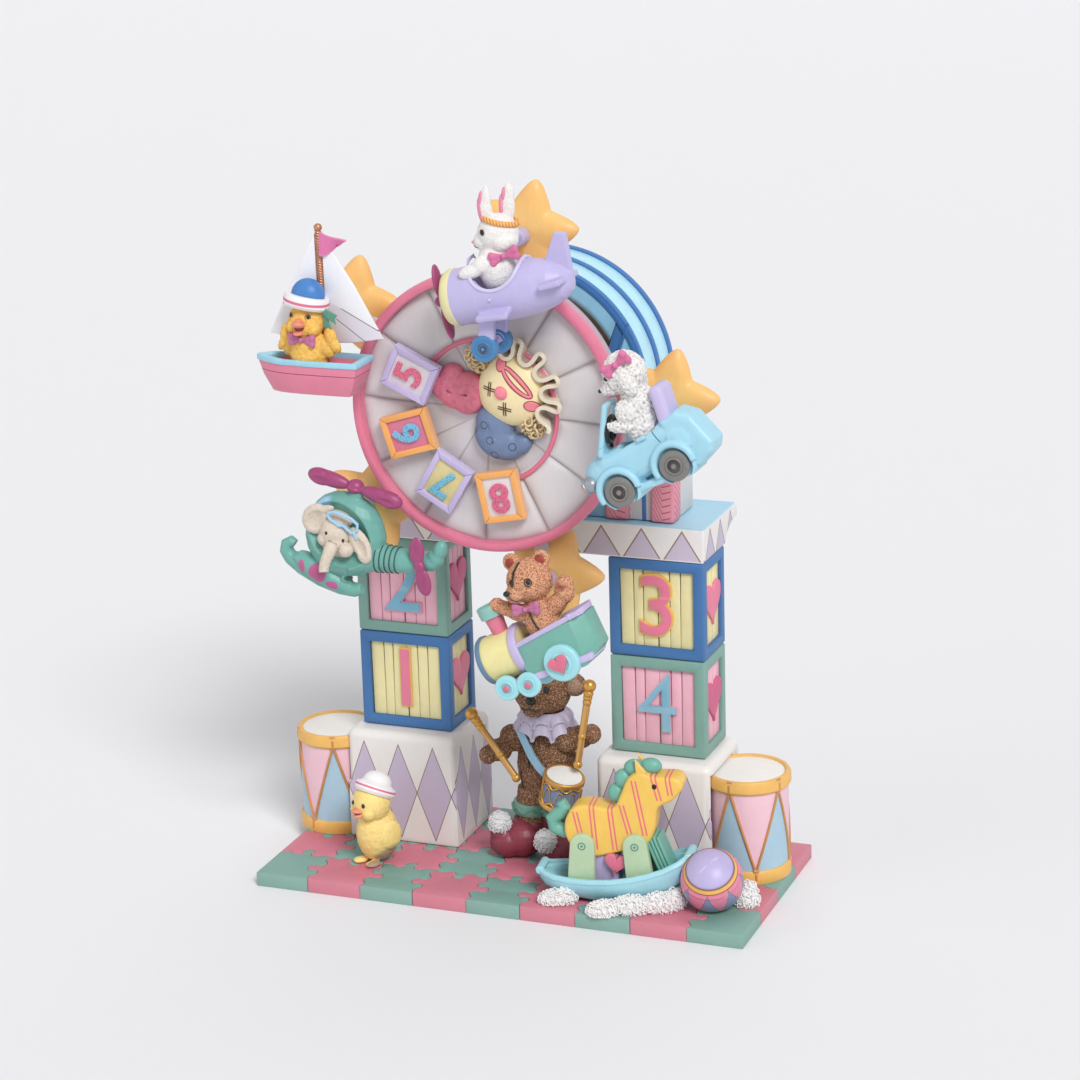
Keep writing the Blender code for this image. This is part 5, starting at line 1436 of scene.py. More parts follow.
class MUSICBOX_OT_clown(bpy.types.Operator):
    """The rag-doll clown's head: cream face, stitched eyes, yarn tufts, two-lobed cap and ruffle"""

    bl_idname = "music_box.clown"
    bl_label = "Clown"

    def execute(self, context):
        colours = context.scene.music_box_colours
        place = placed((AXIS[0], -23.8, AXIS[1]), (0, -132, 0))
        cream = resin(
            "clown_face", colours.clown_cream, washed=0.7, mottle=0.09, wash=(0.66, 0.47, 0.24),
            roughness=0.44, coat=0.1,
        )
        behind = [box((0, 5, 0), (80, 10, 80))]
        piece(
            "clown_face", "wheel", cream, [ball(*FACE, fine=64)], place, cut=behind,
            replaces=["clown_head"],
        )
        rose = resin(
            "cap_rose", (0.86, 0.47, 0.55), washed=0.8, mottle=0.2, flecked=0.25,
            fleck=(0.62, 0.28, 0.40), fleck_scale=420, roughness=0.45,
        )
        crease = tube([(9, -5.2, 0), (12.2, -6.0, 3.6), (15.2, -5.3, 5.4), (18.4, -3.4, 5.0)], 0.55)
        lobe = [
            ball((9.8, -1.0, 1.2), (7.4, 5.0, 8.4), (0, -34, 0)),
            ball((14.2, -1.0, 4.8), (7.8, 4.8, 7.0)),
            ball((17.4, -0.8, 6.8), (5.6, 4.0, 5.6)),
            ball((19.0, -0.8, 1.6), (4.4, 3.6, 5.0), (0, 20, 0)),
        ]
        piece("clown_cap_rose", "wheel", rose, lobe, place, cast=0.35, cut=behind + [crease])
        blue = resin(
            "cap_blue", (0.43, 0.50, 0.63), cap_spots, place, washed=0.8, mottle=0.22,
            wash=(0.24, 0.24, 0.32),
            roughness=0.42, coat=0.1,
        )
        crease = tube(
            [(-4, -5.6, 1), (-8.4, -5.9, 5.2), (-13.5, -4.6, 4.2), (-17.8, -3.0, 0.6)], 0.5
        )
        lobe = [
            ball((-5.4, -1.0, 1.0), (8.4, 4.8, 7.6), (0, 20, 0)),
            ball((-9.6, -1.0, 4.4), (9.4, 4.8, 7.4), (0, -10, 0)),
            ball((-14.6, -0.8, 3.0), (5.6, 4.2, 7.0), (0, 30, 0)),
            ball((-17.4, -0.8, -1.6), (3.8, 3.6, 5.0)),
        ]
        piece("clown_cap_blue", "wheel", blue, lobe, place, cast=0.35, cut=behind + [crease])
        pink = resin("clown_pink", (0.93, 0.52, 0.58), washed=0.3, mottle=0.12, roughness=0.4)
        marks = [
            *(
                loop_on_face((9.4, -18.6), (2.1 - gap, 1.4 - gap), -35, 0.45)
                for gap in (0, 0.6, 1.1)
            ),
            *(
                loop_on_face((-9.8, -17.2), (2.1 - gap, 1.4 - gap), 35, 0.45)
                for gap in (0, 0.6, 1.1)
            ),
            ball(on_face(1.2, -12.2, -0.4), (2.7, 2.0, 2.6)),
            loop_on_face((0.4, -19.2), (7.2, 1.6), 3, 0.55),
        ]
        piece("clown_mouth", "wheel", pink, marks, place)
        line = resin("clown_lines", (0.60, 0.24, 0.26), washed=0)
        outline = [
            loop_on_face((0.4, -19.2), (8.0, 2.4), 3, 0.2),
            loop_on_face((0.4, -19.2), (6.4, 0.8), 3, 0.18),
            loop_on_face((9.4, -18.6), (2.7, 2.0), -35, 0.18),
            loop_on_face((-9.8, -17.2), (2.7, 2.0), 35, 0.18),
        ]
        piece("clown_outline", "wheel", line, outline, place)
        brown = resin("clown_stitches", (0.35, 0.20, 0.12), washed=0)
        eyes = []
        for x, z in ((5.2, -9.3), (-4.0, -8.9)):
            for lean in (38, -48):
                a, b = math.cos(math.radians(lean)), math.sin(math.radians(lean))
                for off in (-0.42, 0.42):
                    start = (x - 2.7 * a - off * b, z - 2.7 * b + off * a)
                    eyes.append(stroke(start, (x + 2.7 * a - off * b, z + 2.7 * b + off * a), 0.24))
        piece("clown_eyes", "wheel", brown, eyes, place)
        yarn = resin(
            "clown_yarn", (0.86, 0.77, 0.60), washed=0.9, mottle=0.15, wash=(0.34, 0.22, 0.12),
            roughness=0.6,
        )
        tufts = [
            ball((-14.4, -1.4, -11.2), (5.2, 2.6, 4.2)),
            *curls((-14.4, -1.9, -11.2), (5.0, 2.6, 4.2), 44, 1.3, 0.42),
            ball((16.8, -1.4, -11.6), (4.8, 2.6, 4.0)),
            *curls((16.8, -1.9, -11.6), (4.7, 2.6, 4.0), 40, 1.3, 0.42),
        ]
        piece("clown_yarn", "wheel", yarn, tufts, place, cut=behind)
        frill = resin(
            "clown_frill", (0.88, 0.83, 0.74), washed=0.9, mottle=0.1, wash=(0.50, 0.38, 0.26),
            roughness=0.46,
        )
        piece(
            "clown_frill", "wheel", frill, [ruffle((-0.4, -13.4), 13.6, 21.6, -174, -26, 5, 5.6)],
            place, replaces=["clown_ruffle"],
        )
        return {"FINISHED"}


# The vehicles. Each is drawn level about its own middle, facing -X, and hangs on its star's pin.


GONDOLAS = {
    "top": ("gondola_airplane", 78, 11, (0, -13)),
    "right": ("gondola_car", 5, 28, (-6.7, -13)),
    "bottom": ("gondola_train", 288, 25, (-6, -20)),
    "lower_left": ("gondola_helicopter", 219, 0, (0, 0)),
    "upper_left": ("gondola_sailboat", 149, 0, (0, 0)),
}


def hung(name):
    """The body that a vehicle rides on and its place as it hangs in the photograph."""
    body, angle, tilt, (x, z) = GONDOLAS[name]
    pivot = placed(on_wheel(67.3, angle, -15.0), (0, -tilt, 0))
    return body, pivot @ Matrix.Translation((x, -28.0, z))


def hanger(name, reach):
    """The boss round the pin at a vehicle's back."""
    _, _, _, (x, z) = GONDOLAS[name]
    return rod((-x, 22.7, -z), (-x, reach, -z), 3.2, rounding=0.5)


def roller(centre, radius, thick):
    """A cast wheel about Y with a ring and a hub raised on both faces."""
    face = [
        (0, 0.35), (0.15, 0.3), (0.19, -0.15), (0.42, -0.2), (0.46, 0.1), (0.54, 0.1),
        (0.58, -0.15),
        (0.8, 0.0), (0.93, -0.15), (1.0, -0.75),
    ]
    half = [(radius * share, thick / 2 + lift) for share, lift in face]
    profile = [(r, -h) for r, h in half] + half[::-1]
    return lathe(profile, centre, (90, 0, 0), 48)


def eye_black():
    return resin("eye_black", BLACK, washed=0, mottle=0.02, grain=0.05, roughness=0.28, coat=0.15)


def dark_line():
    return resin("dark_line", (0.13, 0.08, 0.06), washed=0, mottle=0.1, roughness=0.5)


def eyes_on(head, spots, size):
    """Bead eyes on the front of a head, an ellipsoid (centre, radii)."""
    return [
        ball((x, front_of(*head, x, z) + size * 0.25, z), (size, size * 0.7, size * 1.15), fine=16)
        for x, z in spots
    ]


def seam_on(head, points, radius=0.28):
    """A stitched line down the front of an ellipsoid, through points in X and Z."""
    line = []
    for start, end in zip(points, points[1:]):
        for step in range(8):
            x, z = (start[i] + (end[i] - start[i]) * step / 8 for i in (0, 1))
            line.append((x + 0.14 * math.sin(len(line) * 2.6), front_of(*head, x, z) - 0.05, z))
    return tube(line, radius)


def tie(name, body, place, finish, centre, size, turn=(0, 0, 0)):
    shapes, creases = bow(centre, size, turn)
    return piece(name, body, finish, shapes, place, cast=0.2, soft=3, cut=creases)


class MUSICBOX_OT_airplane(bpy.types.Operator):
    """Lilac airplane with a plum propeller, and the white rabbit that flies it"""

    bl_idname = "music_box.airplane"
    bl_label = "Airplane and Rabbit"

    def execute(self, context):
        colours = context.scene.music_box_colours
        body, place = hung("top")
        lilac = resin(
            "plane_lilac", colours.plane_lilac, washed=0.35, mottle=0.06, wash=(0.48, 0.43, 0.60),
            roughness=0.4, coat=0.12,
        )
        fuselage = lathe([
            (0, -23.4), (8.4, -23.4), (9.6, -22.6), (10.1, -20.8), (10.4, -17), (10.8, -11),
            (10.9, -5),
            (10.9, 1), (10.6, 7), (9.8, 12.5), (8.2, 18.0), (6.2, 22.0), (3.6, 24.9), (0, 26),
        ], (0, 0, -2.4), (0, 90, 0), 72)
        well = moved(
            rod((0, -16, 0), (0, 16, 0), 1, sides=64),
            placed((-1.3, 0, 9.8)) @ Matrix.Diagonal((10.4, 1, 10.2, 1))
        )
        shapes = [
            fuselage, board([(13.5, 1), (22.2, 15.6), (26.4, 14.8), (26.0, -1)], -1.3, 1.3, 0.5),
            box((20.4, -1.6, -1.6), (8.4, 21.0, 2.3), (0, -6, 0), 0.7),
            box((-2.6, -9.6, -8.3), (12.6, 9.4, 2.2), (22, 0, -4), 0.5),
            box((-2.6, 8.6, -8.3), (12.6, 7.4, 2.2), (-22, 0, 4), 0.5),
            box((-8.2, -7.6, -15.2), (6.0, 3.0, 13.0), (0, 16, 0), 0.5),
            box((-8.2, 5.6, -15.2), (6.0, 3.0, 13.0), (0, 16, 0), 0.5),
            rod((-10.3, -9, -21), (-10.3, 7.6, -21), 1.2),
            box((0, 8, 5.4), (5.6, 3.2, 15.6), rounding=0.8),
            tube([(-9.4, -8.9, 3.6), (-11.0, -6, 7.6), (-11.9, -1.5, 10.6), (-11.6, 3, 11.2),
                  (-10.6, 7.2, 7.4),
                  (-9.4, 8.9, 3.6)], 0.85), hanger("top", 6.2),
        ]
        hollow = ball((-1.4, 0, 3.2), (9.6, 9.4, 8.0), fine=48)
        piece(
            "plane_body", body, lilac, shapes, place, cast=0.36, soft=4, cut=[well, hollow],
            replaces=["airplane"],
        )
        lip = []
        for way in (-1, 1):
            for step in range(34):
                angle = math.radians(188 + step * 5 if way < 0 else 353 - step * 5)
                x, z = -1.3 + 10.3 * math.cos(angle), 9.7 + 10.2 * math.sin(angle)
                lip.append((x, way * math.sqrt(max(10.75 ** 2 - (z + 2.4) ** 2, 0)), z))
        pale = resin("plane_lip", (0.80, 0.78, 0.90), washed=0.4, mottle=0.06, roughness=0.42)
        piece(
            "plane_cockpit_lip", body, pale,
            [tube(lip, 0.75, True), ball((-3.2, -10.9, -3.6), 0.62)], place
        )
        cowl = resin("plane_cowl", (0.90, 0.87, 0.66), washed=0.6, mottle=0.1, roughness=0.44)
        ring = lathe(
            [
                (0, -23.7), (8.2, -23.7), (9.7, -22.9), (10.5, -21.4), (10.6, -19.6), (10.1, -19.3),
                (0, -19.3)
            ],
            (0, 0, -2.4), (0, 90, 0), 72
        )
        piece("plane_cowl", body, cowl, [ring], place)
        plum = resin("plum", PLUM, washed=0.5, mottle=0.14, roughness=0.38, coat=0.15)
        blades = [
            rod((-28.2, 0, -3), (-22, 0, -3), 2.0, rounding=0.5),
            ball((-28.0, 0, -3), (1.2, 1.6, 1.6)),
            ball((-26.6, 0, 4.2), (1.3, 3.4, 6.6)),
            ball((-25.9, 0, -10.8), (1.3, 3.4, 6.6), (0, -4, 0)),
        ]
        piece("plane_propeller", body, plum, blades, place, cast=0.25, soft=3)
        blue = resin(
            "plane_wheel_blue", (0.27, 0.50, 0.70), washed=0.5, mottle=0.1, roughness=0.4, coat=0.1
        )
        piece(
            "plane_wheels", body, blue,
            [roller((-10.3, y, -21), 5.0, t) for y, t in ((-7.6, 4.2), (6.0, 4.0))], place
        )
        piece(
            "plane_axle_rings", body, dark_line(),
            [hoop((-10.3, -9.85, -21), 0.95, 0.16, (90, 0, 0), 20)], place
        )

        white = resin(
            "rabbit_fur", colours.rabbit_white, washed=0.5, mottle=0.05, wash=(0.66, 0.60, 0.56),
            flecked=0.28, fleck=(0.76, 0.73, 0.72), fleck_scale=1700, grain=1.4, relief=0.0002,
            roughness=0.7,
        )
        head = ((1.0, -0.5, 18.2), (7.8, 6.6, 7.4))
        rabbit = [
            ball((-1.4, -0.8, 6.4), (7.6, 7.2, 9.8)), ball(*head),
            ball((-4.6, -1.4, 16.4), (4.0, 3.9, 3.5)),
            ball((-6.2, -2.2, 16.2), (2.1, 2.4, 1.9)), ball((3.4, -2.0, 15.4), (5.2, 5.4, 4.2)),
            ball((-1.2, -2.4, 27.2), (2.7, 1.9, 6.6), (0, 2, 0)),
            ball((-0.2, -2.4, 31.0), (2.0, 1.6, 5.0), (0, 14, 0)),
            ball((5.9, 1.6, 27.2), (2.8, 1.9, 6.8), (0, 10, 0)),
            ball((7.2, 1.6, 31.0), (2.0, 1.6, 4.6), (0, 14, 0)),
            ball((-4.6, -5.4, 8.6), (4.6, 3.2, 3.6), (0, -10, 20)),
            ball((-9.4, -6.8, 6.9), (5.2, 2.5, 2.6), (0, -6, 10)),
            ball((-7.8, 5.0, 7.6), (6.4, 2.4, 2.5), (0, -6, -10)),
        ]
        piece(
            "rabbit_body", body, white, rabbit, place, cast=0.36, curl=("CLOUDS", 0.7, 0.3),
            replaces=["rabbit"],
        )
        rose = resin("ear_rose", (0.88, 0.55, 0.65), washed=0.5, mottle=0.25, roughness=0.6)
        ears = [
            ball((-2.7, -3.2, 27.4), (1.1, 1.1, 4.6), (0, 2, 0)),
            ball((-1.8, -3.2, 31.4), (0.9, 1.0, 3.2), (0, 16, 0)),
            ball((4.0, 0.7, 27.2), (1.1, 1.1, 4.6), (0, 10, 0)),
            ball((5.7, 0.7, 31.2), (0.9, 1.0, 3.0), (0, 14, 0)),
            ball((-8.2, -3.0, 16.8), (0.6, 0.8, 0.55)),
        ]
        piece("rabbit_ears", body, rose, ears, place)
        piece("rabbit_eyes", body, eye_black(), eyes_on(head, [(-2.6, 20.0)], 0.95), place)
        marks = [
            hoop(
                (-2.6, front_of(*head, -2.6, 20.0) - 0.1, 20.0), (1.0, 1.15), 0.1, (90, 0, -22), 20
            ),
            tube([(-7.9, -3.6, 15.9), (-7.2, -4.1, 14.9), (-6.2, -4.6, 14.8)], 0.16),
        ]
        piece("rabbit_marks", body, resin("taupe_line", (0.55, 0.42, 0.36), washed=0), marks, place)

        def ticks(x, y, z, facing):
            return [((x + y * 0.4).zigzag(1.15).above(0.66, 0.2), (0.80, 0.47, 0.20))]

        band = resin("headband", (0.95, 0.70, 0.36), ticks, place, washed=0.5, roughness=0.5)
        ring = hoop((3.0, -0.5, 22.7), (6.3, 5.5), 1.0, (0, 20.7, 0), 48)
        piece("rabbit_headband", body, band, [ring], place)
        pink = resin(
            "bow_pink", (0.83, 0.45, 0.62), washed=0.8, mottle=0.2, wash=(0.55, 0.22, 0.38),
            roughness=0.5
        )
        tie("rabbit_bow", body, place, pink, (4.0, -6.6, 10.6), 6.0, (0, -8, 8))
        return {"FINISHED"}


def car_lines(x, y, z, facing):
    """The door's seam and the shadow under the fenders."""
    door = (x + z * 0.33 - 12.95).near(0, 0.2, 0.12) * z.above(3.6, 0.3) * z.below(9.6, 0.3)
    # A painted shadow: a darker blue line along the side of the body.
    painted_shadow = (z + x * 0.05 - 10.2).near(0, 0.16, 0.12) * x.above(-11, 0.5) * x.below(9.8, 0.5) * 0.4
    return [(door, (0.20, 0.36, 0.42)), (painted_shadow, (0.36, 0.56, 0.62))]


class MUSICBOX_OT_car(bpy.types.Operator):
    """Light-blue open car with ringed wheels, and the curly dog at the steering wheel"""

    bl_idname = "music_box.car"
    bl_label = "Car and Dog"

    def execute(self, context):
        colours = context.scene.music_box_colours
        body, place = hung("right")
        sky = resin(
            "car_blue", colours.car_blue, car_lines, place, washed=0.5, mottle=0.08,
            wash=(0.30, 0.50, 0.56), roughness=0.4, coat=0.12,
        )
        wheels = ((-10.6, -6.2), (13.0, -6.0))
        shapes = [
            box((3.4, 0, 1.6), (40, 13.6, 15.4), (0, -4, 0), 4.4),
            ball((-13, 0, 0.8), (11.2, 7.2, 7.8)),
            ball((18.2, 0, 1.4), (10.0, 8.0, 10.2)),
            board(
                [
                    (14, 10.5), (21.5, 11.5), (26.4, 7.4), (29.8, -4.2), (27.6, -7.6),
                    (20.6, -10.4), (14, -4)
                ],
                -6.8, 6.8, 2.2
            ),
            box((-6.9, 0, 16.0), (2.2, 13, 20.4), (0, 34, 0), 1.0),
            box((1.0, 0, -8.4), (12, 15.4, 3.0), (0, 4, 0), 1.2),
            box((5.7, -7.1, 7.7), (3.8, 1.3, 1.5), rounding=0.5), hanger("right", 6.2),
            box((6.7, 7.2, 7.0), (5.6, 2.6, 13.0), rounding=0.8),
        ]
        for x, z in wheels:
            shapes.append(rod((x, -8.0, z + 0.6), (x, 8.0, z + 0.6), 8.0, sides=48, rounding=1.4))
            arc = [math.radians(angle) for angle in range(-12, 200, 10)]
            for y in (-8.0, 8.0):
                shapes.append(
                    tube(
                        [(x + 7.5 * math.cos(a), y, z + 0.6 + 7.5 * math.sin(a)) for a in arc], 1.45
                    )
                )
        cuts = [
            box((3.6, 0, 11), (17.0, 10.4, 16), rounding=2.0),
            box((-4.6, 0, 19.4), (8, 8.8, 8.4), (0, 34, 0), 1.5),
            box((0, 0, -18.6), (70, 40, 14)),
        ]
        for x, z in wheels:
            cuts += [rod((x, y, z), (x, y + 6, z), 6.5, sides=48) for y in (-12.4, 6.4)]
        piece(
            "car_shell", body, sky, shapes, place, cast=0.36, soft=5, cut=cuts,
            replaces=["car"],
        )
        seat = resin("car_seat", (0.77, 0.73, 0.88), washed=0.4, mottle=0.08, roughness=0.5)
        cushion = box((17.0, 0.2, 14.0), (5.4, 12.4, 17.0), (0, 10, 0), 2.2, 5)
        piece("car_seat", body, seat, [cushion, box((8, 0, 5), (14, 10, 4), rounding=1.4)], place)
        grey = resin(
            "tyre_grey", (0.50, 0.49, 0.48), washed=1.0, mottle=0.2, wash=(0.20, 0.18, 0.17),
            roughness=0.42, coat=0.1, metallic=0.15,
        )
        piece(
            "car_wheels", body, grey,
            [roller((x, y, z), 5.7, 2.6) for x, z in wheels for y in (-7.9, 7.9)], place
        )
        lamps, faces = [], []
        for y in (-5.0, 5.0):
            lamps += [
                ball((-20.8, y, 0.2), (3.4, 3.3, 3.3)),
                hoop((-22.6, y, 0.2), 2.7, 0.5, (0, 90, 0), 32)
            ]
            faces.append(ball((-23.0, y, 0.2), (1.5, 2.5, 2.5)))
        piece(
            "car_lamps", body,
            resin(
                "lamp_grey", (0.60, 0.62, 0.66), washed=0.6, mottle=0.15, roughness=0.35,
                metallic=0.3
            ),
            lamps, place
        )
        piece(
            "car_lamp_faces", body,
            resin("lamp_amber", (0.92, 0.66, 0.30), washed=0.5, roughness=0.3), faces, place
        )
        steer = [
            hoop((-5.6, -0.8, 15.0), 4.6, 0.95, (0, -61, 0), 32),
            ball((-5.6, -0.8, 15.0), (1.6, 1.5, 1.5)),
            rod((-5.6, -0.8, 15.0), (-9.0, 0, 9.0), 0.8),
            rod((-5.6, -5.2, 15.0), (-5.6, 3.6, 15.0), 0.7),
        ]
        piece(
            "car_steering_wheel", body,
            resin("steering_black", (0.09, 0.09, 0.10), washed=0, roughness=0.35, coat=0.2), steer,
            place, cast=0.28, soft=3
        )

        curly = resin(
            "dog_fur", colours.dog_white, washed=0.7, mottle=0.06, wash=(0.46, 0.43, 0.41),
            flecked=0.3, fleck=(0.70, 0.68, 0.67), fleck_scale=800, grain=1.2, relief=0.0004,
            roughness=0.7,
        )
        head = ((9.2, -0.5, 31.2), (8.2, 7.0, 8.0))
        dog = [
            ball((6.4, 0, 14.6), (6.6, 5.6, 11.6), (0, 14, 0)), ball((8.8, 0, 20), (6.4, 5.8, 7.0)),
            ball(*head),
            ball((3.4, -1.0, 29.0), (4.4, 4.2, 3.8)), ball((0.8, -1.6, 28.4), (2.6, 3.0, 2.3)),
            ball((10.8, -6.2, 28.4), (3.4, 2.4, 6.0), (0, -6, 0)),
            ball((10.8, 5.2, 28.4), (3.4, 2.4, 6.0)),
            ball((4.4, -4.6, 18.6), (4.2, 2.6, 4.6), (0, 30, 0)),
            ball((-0.2, -4.6, 14.6), (5.6, 2.1, 2.3), (0, 24, 0)),
            ball((-0.4, 3.6, 14.4), (6.6, 2.2, 2.4), (0, 14, 0)),
        ]
        piece(
            "dog_body", body, curly, dog, place, cast=0.36, soft=5, curl=("STUCCI", 1.0, 0.8),
            replaces=["dog"],
        )
        piece(
            "dog_nose", body, eye_black(),
            [ball((-1.7, -2.4, 29.0), (0.9, 1.1, 0.8)), *eyes_on(head, [(3.6, 32.2)], 0.8)], place
        )
        pink = FINISHES["bow_pink"]
        tie("dog_bow", body, place, pink, (10.4, -7.2, 35.4), 6.3, (12, -12, 0))
        return {"FINISHED"}


class MUSICBOX_OT_train(bpy.types.Operator):
    """Toy engine in teal, cream and lilac with a heart on its wheel, and the tan bear"""

    bl_idname = "music_box.train"
    bl_label = "Train and Bear"

    def execute(self, context):
        colours = context.scene.music_box_colours
        body, place = hung("bottom")
        teal = resin(
            "train_teal", colours.train_teal, washed=0.6, mottle=0.1, wash=(0.22, 0.40, 0.38),
            roughness=0.42, coat=0.1
        )
        flat = placed((0, 0, 0), (-90, 0, 0))
        plan = [(-3.4, -8.4), (20.6, -8.4), (25.8, -3.8), (25.8, 6.0), (-3.4, 6.0)]
        cab = moved(board(plan, -6.8, 10.2, 0.3), flat)
        slope = box((9.8, 0, 16.7), (60, 40, 20), (0, -6.8, 0))
        undercut = box((29.4, 0, -9.0), (12, 40, 8), (0, -41, 0))
        well = box((10.4, -1.2, 9), (24.6, 11.0, 20), rounding=1.0)
        piece(
            "train_cab", body, teal, [cab], place, cut=[slope, undercut, well], edge=0.4,
            replaces=["train"],
        )
        lilac = resin(
            "train_lilac", (0.76, 0.71, 0.86), washed=0.5, mottle=0.1, roughness=0.42, coat=0.1
        )
        level = [(-3.8, 4.0), (25.4, 7.5), (25.6, 9.4), (-3.6, 6.0)]
        trim = [
            board(level, -8.9, -6.5, 0.5), board(level, 4.1, 6.5, 0.5),
            box((25.4, -0.4, 8.3), (2.4, 9.4, 2.3), rounding=0.6),
            box((23.2, -6.2, 8.1), (2.4, 6.6, 2.3), (0, 0, -45), 0.5),
            box((4.0, -1.2, -8.3), (39, 15.4, 2.7), rounding=0.6),
            lathe(
                [(8.2, -6.2), (9.5, -6.0), (9.9, -5.0), (9.8, -3.2), (9.2, -2.7), (8.2, -2.7)],
                (0, 0, 2.2), (0, 90, 0), 64
            ),
            box((6, 7, 10.0), (5.6, 3.2, 19.6), rounding=0.8), hanger("bottom", 6.4),
        ]
        piece("train_trim", body, lilac, trim, place)
        cream = resin(
            "boiler_cream", (0.91, 0.87, 0.62), washed=0.6, mottle=0.1, roughness=0.42, coat=0.1
        )
        boiler = lathe(
            [(0, -19), (8.7, -19), (8.9, -18), (9.1, -12), (8.9, -6), (8.7, -3), (0, -3)],
            (0, 0, 2.2), (0, 90, 0), 64
        )
        piece("train_boiler", body, cream, [boiler], place)
        navy = resin(
            "boiler_blue", (0.33, 0.48, 0.62), washed=0.4, mottle=0.1, roughness=0.4, coat=0.1
        )
        front = lathe(
            [
                (0, -22.2), (1.2, -22.1), (1.6, -21.6), (6.6, -21.5), (9.0, -20.7), (9.5, -19.8),
                (9.4, -18.7), (0, -18.6)
            ],
            (0, 0, 2.2), (0, 90, 0), 64
        )
        piece("train_front", body, navy, [front], place)
        rose = resin("chimney_rose", (0.84, 0.44, 0.54), washed=0.5, mottle=0.12, roughness=0.42)
        flue = lathe([(0, 6), (2.8, 6), (2.9, 9), (3.7, 17.8), (0, 17.8)], (-10.6, 0, 0), sides=40)
        heart_of = moved(
            board(heart(7.2, 28), -0.8, 0.6, 0.25, 2), placed((11.4, -11.2, -6.9), (0, -8, 0))
        )
        hubs = [
            ball((x, y, z), (1.25, 0.7, 1.25))
            for x, z in ((-13.6, -8.4), (-4.8, -10.0)) for y in (-9.7, 8.3)
        ]
        piece(
            "train_rose_parts", body, rose,
            [flue, heart_of, *hubs, ball((11.8, 8.6, -6.6), (1.6, 0.8, 1.6))], place
        )
        brim = lathe(
            [
                (3.2, 17.0), (4.7, 17.3), (4.9, 19.4), (4.9, 21.6), (4.3, 22.0), (3.2, 21.6),
                (3.0, 19.4), (0, 19.2), (0, 17.0)
            ],
            (-10.6, 0, 0), sides=40
        )
        piece(
            "train_chimney_brim", body,
            resin("brim_teal", (0.52, 0.73, 0.70), washed=0.5, mottle=0.1), [brim], place
        )
        pale = resin(
            "train_wheel_blue", (0.62, 0.85, 0.88), washed=0.45, mottle=0.08,
            wash=(0.34, 0.56, 0.60), roughness=0.4, coat=0.1
        )
        rollers = [
            roller((x, y, z), 4.8, 2.6)
            for x, z in ((-13.6, -8.4), (-4.8, -10.0)) for y in (-8.3, 6.9)
        ]
        rollers += [roller((11.8, -9.0, -6.6), 7.0, 3.6), roller((11.8, 6.6, -6.6), 7.0, 3.4)]
        piece("train_wheels", body, pale, rollers, place)

        fur = resin(
            "tan_fur", (0.86, 0.64, 0.50), washed=0.8, mottle=0.1, wash=(0.50, 0.26, 0.18),
            flecked=0.85,
            fleck=(0.62, 0.34, 0.22), fleck_scale=1700, grain=1.2, relief=0.0003, roughness=0.7,
        )
        head = ((10.0, -1.0, 25.2), (9.0, 7.4, 8.4))
        belly = ((8.0, -0.8, 8.5), (7.2, 5.8, 11.0))
        bear = [
            ball(*belly), ball(*head), ball((4.6, -4.4, 22.8), (4.6, 4.2, 3.9)),
            ball((5.0, -5.6, 21.2), (3.0, 2.8, 2.2)),
            ball((5.8, 0, 33.6), (3.5, 2.0, 3.5)), ball((17.4, 0, 30.8), (3.6, 2.0, 3.5)),
            ball((1.6, -1.8, 15.0), (6.0, 3.0, 3.4), (0, 20, 0)),
            ball((-3.4, -2.0, 18.6), (5.6, 2.6, 2.8), (0, 38, 0)),
            ball((-6.2, -2.0, 21.0), (3.0, 2.6, 2.8)),
            ball((15.4, -1.2, 13.0), (7.2, 3.2, 3.6), (0, -24, 0)),
            ball((21.2, -1.4, 16.6), (4.0, 3.0, 4.6), (0, 18, 0)),
            ball((22.8, -1.6, 19.4), (3.4, 2.8, 3.2)),
        ]
        piece(
            "bear_body", body, fur, bear, place, cast=0.36, curl=("CLOUDS", 0.6, 0.35),
            replaces=["train_bear"],
        )
        black = [
            *eyes_on(head, [(12.4, 25.4), (5.6, 27.4)], 0.9),
            ball((2.6, -8.4, 24.4), (1.35, 1.0, 1.1)),
        ]
        piece("bear_eyes", body, eye_black(), black, place)
        seams = [
            seam_on(head, [(10.6, 33.0), (8.0, 30.6), (6.6, 27.8), (5.4, 25.6)], 0.45),
            seam_on(belly, [(6.4, 14.4), (6.9, 10.4), (7.8, 6.8)], 0.38),
            tube(
                [(3.0, -8.9, 23.4), (3.5, -9.0, 21.8), (5.2, -8.7, 20.4), (8.2, -7.4, 20.2)], 0.24
            ),
            hoop((12.4, front_of(*head, 12.4, 25.4), 25.4), (1.3, 1.5), 0.18, (90, 0, 15), 20),
        ]
        piece("bear_seams", body, dark_line(), seams, place)
        red = resin(
            "ear_red", (0.62, 0.26, 0.22), washed=0.6, mottle=0.3, flecked=0.3,
            fleck=(0.42, 0.14, 0.12), fleck_scale=900, roughness=0.6
        )
        pads = [
            ball((5.8, -1.6, 33.6), (1.9, 0.8, 2.0)), ball((17.4, -1.6, 30.9), (2.0, 0.8, 2.0)),
            tube(
                [(21.0, -4.2, 20.6), (21.2, -4.6, 19.0), (22.6, -4.7, 18.2), (24.0, -4.3, 18.8)],
                0.45
            ),
        ]
        piece("bear_pads", body, red, pads, place)
        mauve = resin(
            "bow_mauve", (0.74, 0.44, 0.60), washed=0.8, mottle=0.2, wash=(0.42, 0.20, 0.34),
            roughness=0.5
        )
        tie("bear_bow", body, place, mauve, (6.6, -7.0, 16.4), 5.8, (0, 14, 0))
        return {"FINISHED"}


